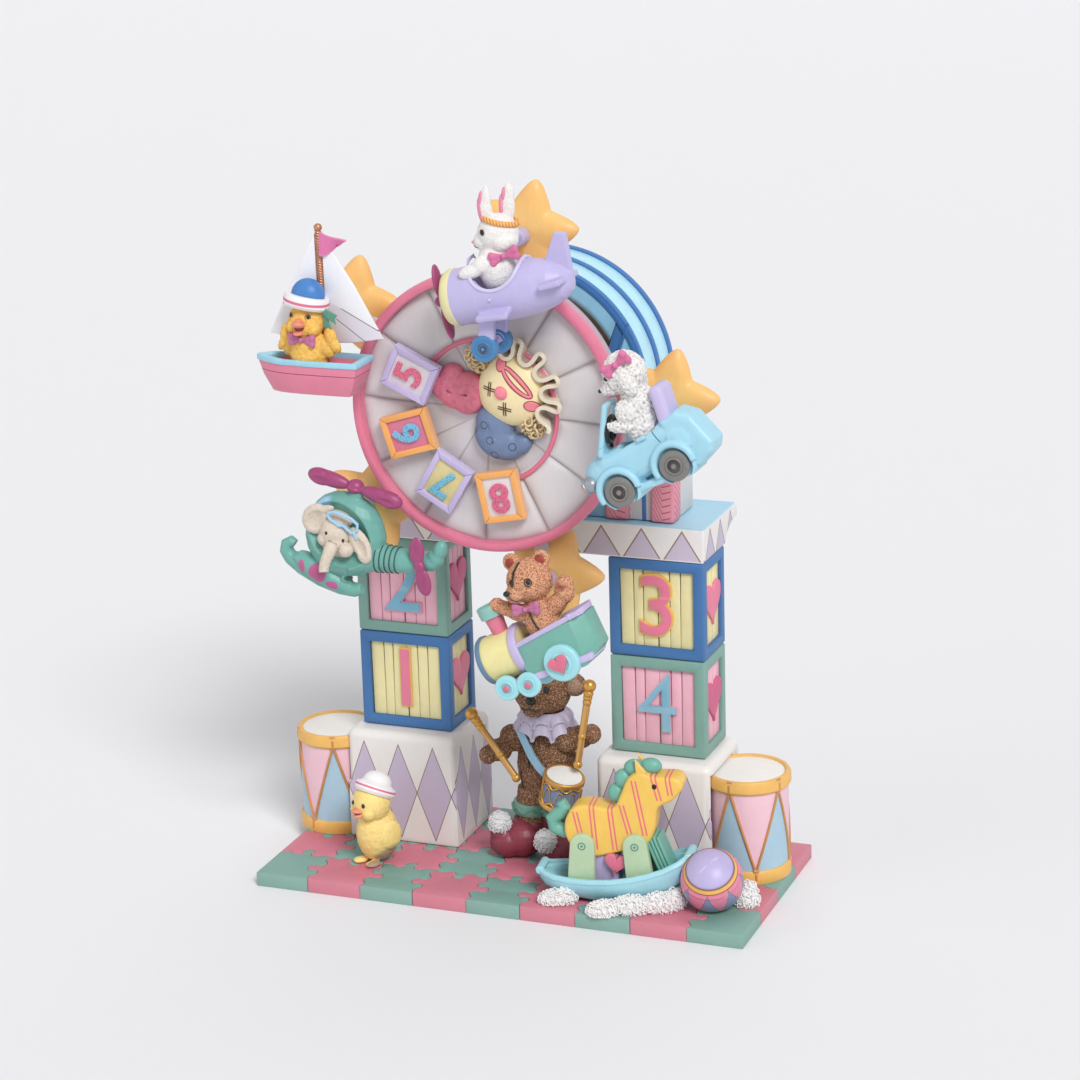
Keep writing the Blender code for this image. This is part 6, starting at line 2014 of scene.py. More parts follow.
class MUSICBOX_OT_helicopter(bpy.types.Operator):
    """Teal helicopter with plum rotors and mauve spots, and the elephant at its window"""

    bl_idname = "music_box.helicopter"
    bl_label = "Helicopter and Elephant"

    def execute(self, context):
        colours = context.scene.music_box_colours
        body, place = hung("lower_left")
        teal = resin(
            "helicopter_teal", colours.helicopter_teal, heli_paint, place, washed=0.6, mottle=0.1,
            wash=(0.24, 0.42, 0.40), roughness=0.42, coat=0.1,
        )
        boom = [
            (0, 4), (8.4, 4), (6.6, 9), (5.6, 13), (5.1, 18), (4.7, 24), (4.2, 29), (3.5, 33),
            (0, 34)
        ]
        shapes = [
            ball((0.6, 0, -4.8), (16.4, 8.6, 16.2)),
            ball((1.4, 0, -0.4), (15.0, 8.2, 12.8), (0, 20, 0)),
            lathe(boom, (0, 0, -11.4), (0, 93, 0), 48), ball((34.0, 0, -12.4), (4.8, 3.4, 3.4)),
            ball((36.6, 0, -10.6), (3.6, 3.0, 3.6)),
            ball((38.6, 0, -7.6), (2.8, 2.8, 4.4), (0, 24, 0)),
            rod((5.4, 0, 7), (5.8, 0, 13.5), 2.6), hanger("lower_left", 4.0),
            tube([(-20.6, 0, -9.6), (-22.2, 0, -8.6), (-24.0, 0, -9.8), (-24.4, 0, -12.4),
                  (-22.6, 0, -15.2), (-18, 0, -18.2),
                  (-10, 0, -21.8), (-2, 0, -24.9), (3.2, 0, -25.8), (6.4, 0, -25.0)], 3.0,
                 swell=(0.6, 0.75, 0.85, 0.95, 1, 1.15, 1.3, 1.1, 0.95, 0.8)),
            ball((-9.4, 0, -19.6), (14.4, 5.6, 4.4), (0, 27, 0)),
            ball((0.6, 0, -20.6), (2.2, 4.4, 2.2)),
        ]
        window = ball((-0.6, -8.2, -1.6), (16.4, 6.8, 11.8), (0, 38, 0), 48)
        notch = ball((-20.2, 0, -11.8), (1.3, 6.0, 1.5))
        gap = ball((3.4, 0, -20.9), (3.4, 9.0, 1.5), (0, 4, 0))
        piece(
            "helicopter_body", body, teal, shapes, place, cast=0.36, soft=4,
            cut=[window, notch, gap],
            replaces=["helicopter"],
        )
        plum = FINISHES["plum"]
        rotors = [
            ball((5.7, -0.4, 14.8), (3.4, 3.2, 3.1)),
            ball((-4.6, -0.4, 17.2), (8.8, 2.8, 3.0), (0, 14, 0)),
            ball((-8.2, -0.6, 17.9), (5.4, 2.8, 3.3), (0, 14, 0)),
            ball((15.8, -0.4, 11.9), (8.8, 2.8, 3.0), (0, 14, 0)),
            ball((19.4, -0.6, 10.8), (5.4, 2.8, 3.3), (0, 14, 0)),
            hoop((5.7, -0.4, 14.4), 3.0, 0.6, (0, 14, 0), 32),
            ball((32.2, -5.0, -12.9), (2.3, 1.4, 2.3)), ball((31.4, -4.8, -7.0), (3.1, 1.3, 5.6)),
            ball((33.6, -4.8, -18.6), (3.1, 1.3, 5.6), (0, -12, 0)),
            rod((32.2, -5, -12.9), (32.2, 0, -12.9), 1.8),
        ]
        hollows = [
            ball((31.2, -6.6, -6.6), (1.8, 1.0, 4.2)),
            ball((33.9, -6.6, -19.2), (1.8, 1.0, 4.2), (0, -12, 0)),
            ball((-7.4, -3.8, 17.0), (5.0, 1.3, 1.7), (0, 14, 0)),
            ball((18.4, -3.8, 10.4), (5.0, 1.3, 1.7), (0, 14, 0)),
        ]
        piece("helicopter_rotors", body, plum, rotors, place, cast=0.28, soft=3, cut=hollows)
        girths = [(14.0, 5.6), (16.0, 5.42), (18.0, 5.24), (20.0, 5.1), (22.0, 4.96)]
        rings = [hoop((at, 0, -11.4 - at * 0.052), girth, 0.24, (0, 93, 0)) for at, girth in girths]
        piece(
            "helicopter_rings", body, resin("ring_dark", (0.16, 0.26, 0.25), washed=0), rings, place
        )

        skin = resin(
            "elephant_skin", (0.84, 0.79, 0.73), washed=1.0, mottle=0.1, wash=(0.42, 0.34, 0.28),
            flecked=0.2, fleck=(0.66, 0.58, 0.50), fleck_scale=800, grain=0.8, roughness=0.55,
        )
        head = ((-1.4, -4.6, -2.6), (6.4, 4.9, 6.6))
        trunk = tube(
            [(-0.8, -9.0, -5.4), (-1.4, -10.4, -7.6), (-2.2, -11.2, -10), (-3.2, -11.5, -12.2),
                (-3.6, -11.8, -14.4),
             (-3.4, -12.2, -15.8)], 2.5, swell=(1.05, 1.0, 0.9, 0.82, 0.78, 0.8), fine=6,
        )
        rings = []
        for share in range(7):
            spot = (-1.2 - 0.36 * share, -10.2 - 0.28 * share, -7.2 - 1.25 * share)
            rings.append(hoop(spot, 2.3 - 0.08 * share, 0.22, (18, -14, 0), 20))
        elephant = [
            ball(*head), ball((-5.2, -6.2, -4.6), (3.0, 2.6, 2.9)),
            ball((3.2, -6.8, -8.0), (3.2, 2.7, 3.0)),
            ball((-0.6, -6.4, -5.4), (4.0, 3.2, 3.6)), trunk, *rings,
            ball((0, -3.2, 3.0), (5.6, 3.4, 3.0), (0, 14, 0)),
            ball((-9.0, -5.0, 2.6), (5.6, 1.6, 6.4), (0, 40, 0)),
            ball((-5.4, -5.4, 6.6), (4.4, 1.3, 1.6), (0, -14, 0)),
            ball((8.8, -5.6, -5.4), (3.8, 1.6, 6.8), (0, -30, 0)),
            ball((10.6, -6.0, -9.6), (3.0, 1.4, 3.6), (0, -14, 0)),
            ball((-2.0, -1.4, -8), (8.0, 4.0, 6.0)),
        ]
        dents = [ball((-9.2, -7.0, 2.2), (4.0, 1.9, 4.8), (0, 40, 0)),
                 ball((9.4, -7.6, -6.4), (2.2, 1.6, 4.8), (0, -30, 0)),
                 ball((-3.4, -14.2, -16.2), (0.6, 0.8, 0.6))]
        piece(
            "elephant_head", body, skin, elephant, place, cast=0.3, soft=4, cut=dents,
            replaces=["elephant"],
        )
        piece(
            "elephant_eyes", body, eye_black(), eyes_on(head, [(-3.2, -1.4), (2.9, -4.2)], 0.62),
            place
        )
        aqua = resin(
            "goggles_blue", (0.62, 0.80, 0.91), washed=0.3, mottle=0.08, roughness=0.4, coat=0.1
        )
        rim = [(-2.6, 6.0), (0.2, 6.8), (3.4, 6.0), (6.6, 4.4), (8.6, 2.2), (8.4, -0.2),
               (6.4, -1.0), (4.8, 0.4), (3.6, 1.7),
               (1.8, 1.6), (0.2, 2.6), (-1.6, 3.4), (-2.9, 4.6)]
        goggles = [
            tube([(x, -8.2 + 0.035 * (x - 2) ** 2, z) for x, z in rim], 0.62, True),
            tube([(7.2, -7.6, -0.6), (7.6, -7.0, -2.2), (7.8, -6.6, -3.6)], 0.6),
        ]
        piece("elephant_goggles", body, aqua, goggles, place)
        return {"FINISHED"}


def heli_paint(x, y, z, facing):
    """A painted highlight in light blue on the left of the window's frame, and mauve spots on the
    runner.
    """
    front = y.below(-2.5, 0.6)
    long = ((x + 0.6) * 0.788 - (z + 1.6) * 0.616) * (1 / 16.4)
    high = ((x + 0.6) * 0.616 + (z + 1.6) * 0.788) * (1 / 11.8)
    # Painted highlight: the upper left of the frame round the window, in light blue.
    lit = (
        long * long + high * high
    ).below(1.26, 0.12) * x.below(-3.5, 2.0) * z.above(-2.5, 1.0) * front
    layers = [(lit, (0.62, 0.80, 0.90))]
    for cx, cz, wide, tall in (
        (-16.4, -17.0, 1.5, 2.7), (-9.8, -19.0, 3.6, 3.8), (-4.2, -23.4, 2.4, 1.9)
    ):
        spot = ((x - cx) * (1 / wide)).math("POWER", 2) + ((z - cz) * (1 / tall)).math("POWER", 2)
        layers.append((spot.below(1.0, 0.12) * front, (0.72, 0.36, 0.55)))
    return layers


def hull_ring(points, level):
    return [(x, y, level) for x, y in points]


def hull_line(x, y, z, facing):
    """A fine line below the gunwale."""
    return [(z.near(-18.6, 0.16, 0.14), (0.56, 0.24, 0.36))]


def sail_seams(x, y, z, facing):
    """Fine seams across both sails."""
    left = (z + x * -0.42 - 12.6).near(0, 0.16, 0.12) * x.below(-6.0, 0.6)
    low = (z + x * 0.52 - 8.5).near(0, 0.18, 0.12) * x.above(7.0, 0.6)
    lower = (z + x * 0.71 - 4.4).near(0, 0.18, 0.12) * x.above(5.0, 0.6)
    tint = (z + x * 0.52 - 8.5).below(0, 0.3) * x.above(1.0, 0.5) * 0.5
    return [(tint, (0.80, 0.76, 0.84)), (left.either(low).either(lower), (0.40, 0.36, 0.40))]


class MUSICBOX_OT_sailboat(bpy.types.Operator):
    """Pink sailboat with a light-blue gunwale, white sails and a pennant, and the sailor duck"""

    bl_idname = "music_box.sailboat"
    bl_label = "Sailboat and Duck"

    def execute(self, context):
        colours = context.scene.music_box_colours
        body, place = hung("upper_left")
        pink = resin(
            "boat_pink", colours.boat_pink, hull_line, place, washed=0.5, mottle=0.1,
            wash=(0.60, 0.26, 0.40), roughness=0.4, coat=0.1
        )
        keel = [
            (-19.6, -2.8), (-15.5, -4.6), (-8, -5.6), (3, -5.8), (13.0, -5.6), (13.0, 5.6),
            (3, 5.8), (-8, 5.6), (-15.5, 4.6), (-19.6, 2.8)
        ]
        deck = [
            (-26.4, -1.0), (-21.5, -4.4), (-14, -7.6), (2, -8.3), (17, -8.0), (17, 8.0), (2, 8.3),
            (-14, 7.6), (-21.5, 4.4), (-26.4, 1.0)
        ]
        middle = [tuple(0.5 * (a + b) * 1.03 for a, b in zip(k, d)) for k, d in zip(keel, deck)]
        hull = loft([hull_ring(keel, -26.6), hull_ring(middle, -20.6), hull_ring(deck, -14.6)])
        inner = [
            [(x * share, y * share) for x, y in ring]
            for ring, share in ((keel, 0.8), (middle, 0.84), (deck, 0.88))
        ]
        well = loft(
            [hull_ring(inner[0], -22.0), hull_ring(inner[1], -20.0), hull_ring(inner[2], -12.0)]
        )
        piece(
            "boat_hull", body, pink, [hull], place, cut=[well], edge=0.7,
            replaces=["sailboat"],
        )
        inside = resin("boat_inside", (0.70, 0.34, 0.45), washed=0.6, mottle=0.16, roughness=0.5)
        piece(
            "boat_floor", body, inside,
            [loft([hull_ring(inner[0], -22.2), hull_ring(inner[1], -19.6)])], place
        )
        aqua = resin(
            "boat_gunwale", (0.60, 0.82, 0.90), washed=0.5, mottle=0.1, roughness=0.4, coat=0.1
        )
        rail = [(x * 1.01, y * 1.03) for x, y in deck]
        piece(
            "boat_gunwale", body, aqua, [loft([hull_ring(rail, -15.4), hull_ring(rail, -13.2)])],
            place, cut=[well], edge=0.6
        )
        copper = resin(
            "mast_copper", (0.78, 0.55, 0.42), metallic=0.6, washed=0.8, mottle=0.3,
            wash=(0.36, 0.18, 0.12), roughness=0.36
        )
        mast = [
            rod((0, 3.4, -23), (-1.0, 3.4, 33.6), 1.3, 1.05, rounding=0.3),
            ball((-1.0, 3.4, 34.6), (1.6, 1.6, 1.5)),
            *(hoop((-0.016 * z - 0.42, 3.35, z), 1.22, 0.3, (0, 24, 0), 16) for z in range(14, 34)),
        ]
        piece("boat_mast", body, copper, mast, place)
        white = resin(
            "sail_white", colours.sail_white, sail_seams, place, washed=0.35, mottle=0.05,
            roughness=0.45, coat=0.1
        )
        sails = [
            board(
                [(-2.4, 32.2), (-12.8, 13.4), (-22.4, -5.8), (-12.5, -7.8), (-2.2, -8.6)], 2.6, 4.1,
                0.5
            ),
            board(
                [(0.4, 32.2), (0.8, -8.6), (12.0, -7.9), (23.4, -5.8), (12.6, 13.4)], 2.6, 4.1, 0.5
            ),
            box((-0.7, 5.0, 12.0), (5.2, 2.0, 34.0), rounding=0.6), hanger("upper_left", 4.6),
        ]
        piece(
            "boat_sail_cloths", body, white, sails, place,
            replaces=["boat_sails"]
        )

        def flag(u, v):
            drop = (8.8 - 7.6 * u ** 1.6) * v
            return (
                -0.2 + 10.4 * u - 3.0 * u * v, 2.2 - 1.1 * math.sin(4.2 * u + v),
                33.2 - 3.4 * u - drop
            )

        rose = resin("pennant_rose", (0.86, 0.47, 0.66), washed=0.7, mottle=0.15, roughness=0.45)
        piece("boat_pennant", body, rose, [sheet(flag, 16, 10, 0.9)], place)

        yellow = resin(
            "duck_yellow", colours.duck_yellow, washed=0.9, mottle=0.14, wash=(0.70, 0.40, 0.14),
            flecked=0.35, fleck=(0.88, 0.58, 0.24), fleck_scale=700, grain=1.0, relief=0.0004,
            roughness=0.55,
        )
        head = ((-4.6, -2.8, 0.6), (7.0, 5.8, 6.9))
        duck = [
            ball((-4.4, -2.4, -12.0), (7.4, 5.2, 10.2)), ball((-4.4, -2.6, -8.0), (6.6, 5.0, 6.2)),
            ball(*head),
            ball((-8.4, -5.4, -1.0), (2.8, 2.6, 2.8)), ball((-1.0, -5.4, -1.2), (3.2, 2.8, 3.0)),
            ball((-10.6, -2.6, -8.4), (2.8, 2.2, 5.2), (0, 34, 0)),
            ball((-13.0, -2.8, -4.4), (2.3, 2.0, 4.4), (0, 10, 0)),
            ball((-14.4, -2.8, -8.0), (1.7, 1.7, 3.2), (0, 30, 0)),
            ball((2.4, -2.6, -8.4), (3.0, 2.2, 5.2), (0, -34, 0)),
            ball((4.9, -2.8, -4.8), (2.4, 2.0, 4.2), (0, -12, 0)),
            ball((6.6, -2.8, -8.0), (2.0, 1.7, 3.2), (0, -34, 0)),
        ]
        piece(
            "duck_body", body, yellow, duck, place, cast=0.33, soft=5, curl=("CLOUDS", 1.2, 0.4),
            replaces=["boat_duck"],
        )
        coral = resin(
            "beak_coral", (0.90, 0.56, 0.45), washed=0.5, mottle=0.14, roughness=0.42, coat=0.1
        )
        beak = [
            ball((-4.9, -9.2, 0.6), (2.7, 3.0, 1.3), (-14, 0, 0)),
            ball((-4.9, -8.4, 1.8), (1.5, 2.0, 1.3)),
            ball((-5.2, -8.6, -2.4), (2.1, 2.5, 0.8), (14, 0, 0)),
        ]
        piece("duck_beak", body, coral, beak, place, cast=0.22, soft=3)
        piece(
            "duck_mouth", body, resin("mouth_red", (0.48, 0.16, 0.12), washed=0),
            [ball((-5.0, -8.2, -0.9), (1.9, 1.9, 1.0))], place
        )
        piece(
            "duck_eyes", body, eye_black(), eyes_on(head, [(-8.6, 3.4), (-1.6, 3.2)], 0.75), place
        )
        ring = [
            hoop((x, front_of(*head, x, z), z), (1.05, 1.25), 0.16, (90, 0, t), 18)
            for x, z, t in ((-8.6, 3.4, -35), (-1.6, 3.2, 25))
        ]
        piece("duck_eye_rims", body, FINISHES["taupe_line"], ring, place)
        mauve = FINISHES["bow_mauve"]
        tie("duck_bow", body, place, mauve, (-4.6, -7.4, -5.4), 5.6, (0, 4, 0))
        cap = (-4.0, -2.8, 9.0)

        def cap_band(x, y, z, facing):
            return [((z + x * 0.17 - 7.9).near(0, 0.55, 0.15), (0.86, 0.42, 0.54))]

        brim = resin(
            "cap_white", (0.94, 0.93, 0.94), cap_band, place, washed=0.4, mottle=0.05,
            roughness=0.45
        )
        rim = moved(
            lathe(
                [
                    (0, -3.2), (7.5, -3.4), (8.6, -2.4), (8.9, -0.4), (8.4, 1.2), (7.2, 1.4),
                    (0, 1.0)
                ],
                sides=48
            ),
            placed(cap, (-8, 9.6, 0)) @ Matrix.Diagonal((1, 0.86, 1, 1))
        )
        piece("duck_cap_brim", body, brim, [rim], place)
        crown = resin("duck_cap_blue", (0.28, 0.50, 0.76), washed=0.4, mottle=0.1, roughness=0.42)
        piece(
            "duck_cap_crown", body, crown,
            [ball((cap[0] + 0.6, cap[1], cap[2] + 1.4), (6.4, 5.4, 6.4), (0, 9.6, 0), 32)], place
        )
        green = resin("ribbon_green", (0.36, 0.58, 0.50), washed=0.5, mottle=0.15, roughness=0.5)
        tails = [
            board(
                [(3.4, 6.6), (8.8, 3.8), (7.6, 2.4), (8.2, 0.2), (4.8, 2.2), (2.8, 4.4)], -4.6,
                -3.8, 0.3
            ),
            board([(3.6, 5.0), (6.0, -1.6), (4.6, -1.2), (3.4, -2.2), (2.4, 4.2)], -4.0, -3.2, 0.3),
        ]
        piece("duck_cap_ribbon", body, green, tails, place)
        return {"FINISHED"}


# The figures on the slab, each drawn about its own middle and standing on Z = 0


def standing(x, y, turn=0.0):
    return placed((x, y, SLAB_TOP), (0, 0, turn))


def smoothed(points, steps=5):
    """A closed outline drawn softly through its points."""
    line = []
    count = len(points)
    for index in range(count):
        a, b, c, d = (Vector(points[(index + shift) % count]) for shift in (-1, 0, 1, 2))
        for step in range(steps):
            t = step / steps
            spot = 2 * b + (c - a) * t + (
                2 * a - 5 * b + 4 * c - d
            ) * t * t + (3 * b - a - 3 * c + d) * t ** 3
            line.append(tuple(spot / 2))
    return line


def collar(centre, inner, outer, top, low, waves, depth, thickness=1.0, squash=0.86):
    """A gathered frill that hangs round a neck."""

    def surface(u, v):
        phase = math.tau * waves * u
        angle = math.tau * u + 0.12 * v * math.sin(phase)
        reach = inner + (outer - inner) * v ** 0.7 * (1 + 0.14 * math.cos(phase))
        z = top - (top - low) * v ** 1.3 + depth * v * math.cos(phase)
        return (
            centre[0] + reach * math.cos(angle), centre[1] + reach * squash * math.sin(angle), z
        )

    return sheet(surface, waves * 16, 10, thickness)


def ribbon(points, width, thickness):
    """A flat band along points, its width lying across X and Z."""

    def surface(u, v):
        along = min(u * (len(points) - 1), len(points) - 1.001)
        index = int(along)
        start, end = Vector(points[index]), Vector(points[index + 1])
        spot = start.lerp(end, along - index)
        way = Vector((end.z - start.z, 0, start.x - end.x)).normalized()
        return tuple(spot + way * (v - 0.5) * width)

    return sheet(surface, (len(points) - 1) * 4, 3, thickness)


class MUSICBOX_OT_duckling(bpy.types.Operator):
    """Pale-yellow duckling in a white hat, by the left drum"""

    bl_idname = "music_box.duckling"
    bl_label = "Duckling"

    def execute(self, context):
        place = standing(-59, -20, -25)

        def patch(x, y, z, facing):
            low = (z * 0.9 + x * -0.8).below(0.5, 1.5) * x.above(3.0, 1.0)
            return [(low, (0.68, 0.58, 0.47))]

        yellow = resin(
            "duckling_yellow", (0.95, 0.84, 0.53), patch, place, washed=0.8, mottle=0.1,
            wash=(0.70, 0.46, 0.18), grain=0.9, roughness=0.55,
        )
        head = ((0, -2.0, 24.8), (7.8, 7.6, 7.6))
        body = [
            ball((0, 0.5, 11.5), (8.3, 8.6, 11.8)), ball(*head),
            ball((3.4, -6.4, 22.4), (3.0, 2.8, 2.8)),
            ball((-3.4, -6.4, 22.4), (3.0, 2.8, 2.8)),
            ball((0, 7.8, 6.4), (3.2, 3.6, 3.0), (25, 0, 0)),
            ball((-7.2, 1.4, 12.0), (1.9, 5.2, 6.0)), ball((7.2, 1.4, 12.0), (1.9, 5.2, 6.0)),
            ball((-3.6, -5.6, 0.9), (2.6, 3.4, 1.1)), ball((3.6, -5.6, 0.9), (2.6, 3.4, 1.1)),
        ]
        floor = [box((0, 0, -20), (160, 160, 40))]
        piece(
            "duckling_body", "stand", yellow, body, place, cast=0.36, soft=5, cut=floor,
            curl=("CLOUDS", 1.2, 0.4), replaces=["duckling"],
        )
        coral = FINISHES["beak_coral"]
        beak = [
            ball((0, -8.8, 23.4), (2.6, 3.3, 1.1), (-8, 0, 0)),
            ball((0, -8.4, 21.7), (2.1, 2.7, 0.9), (10, 0, 0)),
        ]
        piece("duckling_beak", "stand", coral, beak, place, cut=floor)
        piece(
            "duckling_eyes", "stand", eye_black(), eyes_on(head, [(-2.9, 26.0), (2.9, 26.0)], 0.85),
            place
        )

        def hat_band(x, y, z, facing):
            return [((z + y * 0.51 - 30.5).near(0, 0.45, 0.15), (0.86, 0.42, 0.54))]

        white = resin(
            "duckling_hat", (0.94, 0.93, 0.93), hat_band, place, washed=0.5, mottle=0.05,
            roughness=0.45
        )
        hat = moved(
            lathe(
                [
                    (0, -2.4), (7.4, -2.2), (8.3, -1.0), (8.0, 1.2), (6.6, 1.8), (5.8, 2.6),
                    (5.4, 4.2), (4.0, 5.8), (2.0, 6.6), (0, 6.8)
                ],
                sides=48
            ),
            placed((0, 0.4, 30.2), (-27, 0, 0))
        )
        piece("duckling_hat", "stand", white, [hat], place)
        return {"FINISHED"}


class MUSICBOX_OT_drummer(bpy.types.Operator):
    """Brown bear with a ruffle, burgundy slippers and pompoms, beating the toy drum"""

    bl_idname = "music_box.drummer"
    bl_label = "Drummer Bear"

    def execute(self, context):
        colours = context.scene.music_box_colours
        place = standing(0, 8)
        fur = resin(
            "bear_brown", colours.bear_brown, washed=0.9, mottle=0.14, wash=(0.20, 0.12, 0.08),
            flecked=0.95, fleck=(0.74, 0.61, 0.49), fleck_scale=1700, grain=1.4, relief=0.0004,
            roughness=0.65,
        )
        head = ((2.0, -0.5, 68.2), (11.8, 9.6, 10.4))
        belly = ((3.2, 0, 37.0), (12.4, 9.2, 16.5))
        body = [
            ball(*belly), ball(*head, fine=32), ball((1.6, -8.4, 65.0), (6.2, 4.6, 4.6)),
            ball((1.8, -10.0, 63.0), (4.4, 3.4, 3.0)),
            ball((-12.0, 0, 71.0), (4.4, 2.6, 4.6)), ball((16.0, -1.6, 72.0), (4.8, 3.2, 4.8)),
            ball((0.6, 0.6, 59), (8, 7, 6)),
            ball((-8.4, -4.4, 48.4), (6.4, 5.0, 5.2), (0, 34, 20)),
            ball((-13.4, -8.8, 44.4), (5.2, 4.4, 4.6)),
            ball((-17.2, -11.4, 42.8), (3.6, 3.4, 3.8)), ball((13.4, -3.6, 50.0), (6.0, 5.0, 5.2)),
            ball((19.6, -5.2, 52.2), (5.4, 4.2, 4.6), (0, -14, 0)),
            ball((24.4, -6.4, 54.2), (3.8, 3.8, 4.0)),
            rod((-3.6, 0, 8), (-2.0, 0, 27), 7.4, 7.2), rod((9.6, 0, 8), (8.0, 0, 27), 7.4, 7.2),
        ]
        floor = [box((0, 0, -20), (160, 160, 40))]
        ears = [
            ball((-12.6, -3.0, 71.2), (2.6, 1.8, 2.8)), ball((16.9, -4.9, 72.0), (3.0, 1.8, 3.0))
        ]
        piece(
            "drummer_body", "stand", fur, body, place, cast=0.42, cut=floor + ears,
            curl=("CLOUDS", 0.8, 0.5), replaces=["drummer_bear"],
        )
        inner = resin(
            "bear_inner_ear", (0.64, 0.52, 0.44), washed=0.5, mottle=0.2, flecked=0.5,
            fleck=(0.44, 0.30, 0.22), fleck_scale=1500, roughness=0.65
        )
        pads = [
            ball((-12.4, -1.2, 71.2), (3.0, 1.4, 3.2)), ball((16.6, -3.2, 72.0), (3.3, 1.5, 3.4))
        ]
        piece("drummer_ears", "stand", inner, pads, place)
        black = [
            *eyes_on(head, [(-2.6, 71.4), (6.8, 71.0)], 1.35),
            ball((1.9, -12.6, 67.4), (2.2, 1.4, 1.5))
        ]
        piece("drummer_eyes", "stand", eye_black(), black, place)
        lines = [
            tube([(1.8, -13.4, 66.4), (1.8, -13.6, 64.4)], 0.25),
            tube(
                [
                    (-2.4, -11.9, 64.2), (-0.6, -13.2, 63.4), (1.8, -13.6, 64.4),
                    (4.2, -13.1, 63.4), (6.0, -11.8, 64.4)
                ],
                0.28
            ),
            seam_on(head, [(2.2, 77.6), (2.0, 75.0), (1.8, 72.0), (1.8, 70.0)], 0.24),
            seam_on(belly, [(-2.2, 47.0), (-1.6, 42.0), (-1.0, 37.0)], 0.24),
            seam_on(belly, [(-5.6, 36), (-5.9, 31), (-5.4, 26)], 0.22),
        ]
        piece("drummer_seams", "stand", dark_line(), lines, place)
        frill = resin(
            "drummer_frill", (0.78, 0.75, 0.84), washed=1.0, mottle=0.12, wash=(0.40, 0.35, 0.44),
            roughness=0.45,
        )
        frills = [
            collar((3.4, -1.0), 7.6, 12.6, 58.6, 52.0, 9, 1.7),
            collar((3.4, -1.0), 7.6, 11.0, 60.6, 56.6, 9, 1.4, squash=0.9),
        ]
        piece("drummer_frill", "stand", frill, frills, place)
        sky = resin("strap_blue", (0.56, 0.72, 0.82), washed=0.6, mottle=0.12, roughness=0.45)
        strap = [
            (-4.4, -9.6, 53.5), (-1.6, -10.6, 48.5), (0.8, -10.9, 43.6), (3.8, -11.0, 39.4),
            (7.2, -11.2, 36.4)
        ]
        piece("drummer_strap", "stand", sky, [ribbon(strap, 3.0, 1.2)], place)
        green = resin(
            "cuff_green", (0.40, 0.58, 0.52), washed=0.8, mottle=0.15, wash=(0.18, 0.30, 0.27),
            roughness=0.5
        )
        cuff = [(7.2, 16.6), (8.2, 17.0), (8.7, 18.4), (8.5, 20.4), (7.9, 21.6), (7.0, 21.6)]
        cuffs = [lathe(cuff, (x, 0, 0), sides=40) for x in (-2.9, 8.9)]
        cuffs += [
            tube(
                [
                    (x + 8.7 * math.cos(t), 8.7 * math.sin(t), 19.3 + 0.9 * math.cos(9 * t))
                    for t in (math.tau * s / 90 for s in range(90))
                ],
                0.35, True
            )
            for x in (-2.9, 8.9)
        ]
        piece("drummer_cuffs", "stand", green, cuffs, place)
        burgundy = resin(
            "slipper_burgundy", (0.53, 0.22, 0.28), washed=0.9, mottle=0.2, wash=(0.22, 0.07, 0.10),
            roughness=0.42, coat=0.12
        )
        slippers = [
            ball((-6.0, -5.4, 7.4), (8.8, 8.4, 8.0), (0, 0, 8)),
            ball((-11.0, -9.0, 6.2), (7.4, 6.4, 6.3), (0, 0, 20)),
            ball((-13.4, -10.4, 10.0), (4.2, 4.2, 4.4)),
            ball((9.6, -5.6, 7.4), (8.6, 8.2, 8.0), (0, 0, -8)),
            ball((11.8, -9.0, 6.2), (8.4, 6.2, 6.3), (0, 0, -14)),
            ball((-3.4, 0, 12), (8.3, 8.3, 6)), ball((9.4, 0, 12), (8.3, 8.3, 6)),
        ]
        creases = [
            tube([(-14.0, -14.6, 12.0), (-8.6, -15.2, 8.6), (-4.8, -13.4, 11.4)], 0.5),
            tube([(-15.6, -15.0, 4.6), (-9.6, -16.6, 5.4), (-4.0, -14.4, 3.4)], 0.45),
            tube([(5.6, -14.0, 12.0), (10.2, -14.9, 8.4), (15.6, -13.4, 10.8)], 0.5),
            tube([(5.0, -14.6, 4.2), (11.0, -16.0, 5.2), (17.0, -13.6, 3.8)], 0.45),
            tube([(-11, -3, 14.6), (-5.6, -12.2, 14.2), (1.0, -8.0, 15.4)], 0.5),
            tube([(4.4, -9.0, 14.6), (10.6, -12.2, 13.8), (16.4, -4.0, 14.8)], 0.5),
        ]
        piece(
            "drummer_slippers", "stand", burgundy, slippers, place, cast=0.4, soft=6,
            cut=floor + creases
        )
        wool = resin(
            "pompom_wool", (0.86, 0.86, 0.87), washed=1.0, mottle=0.08, wash=(0.40, 0.38, 0.40),
            roughness=0.7, grain=1.0,
        )
        tufts = []
        for centre, reach in (((-13.2, -11.4, 14.8), 4.2), ((7.0, -13.6, 10.2), 4.4)):
            tufts += [
                ball(centre, (reach,) * 3), *curls(centre, (reach * 0.97,) * 3, 110, 0.8, 0.26)
            ]
        piece("drummer_pompoms", "stand", wool, tufts, place)
        return {"FINISHED"}


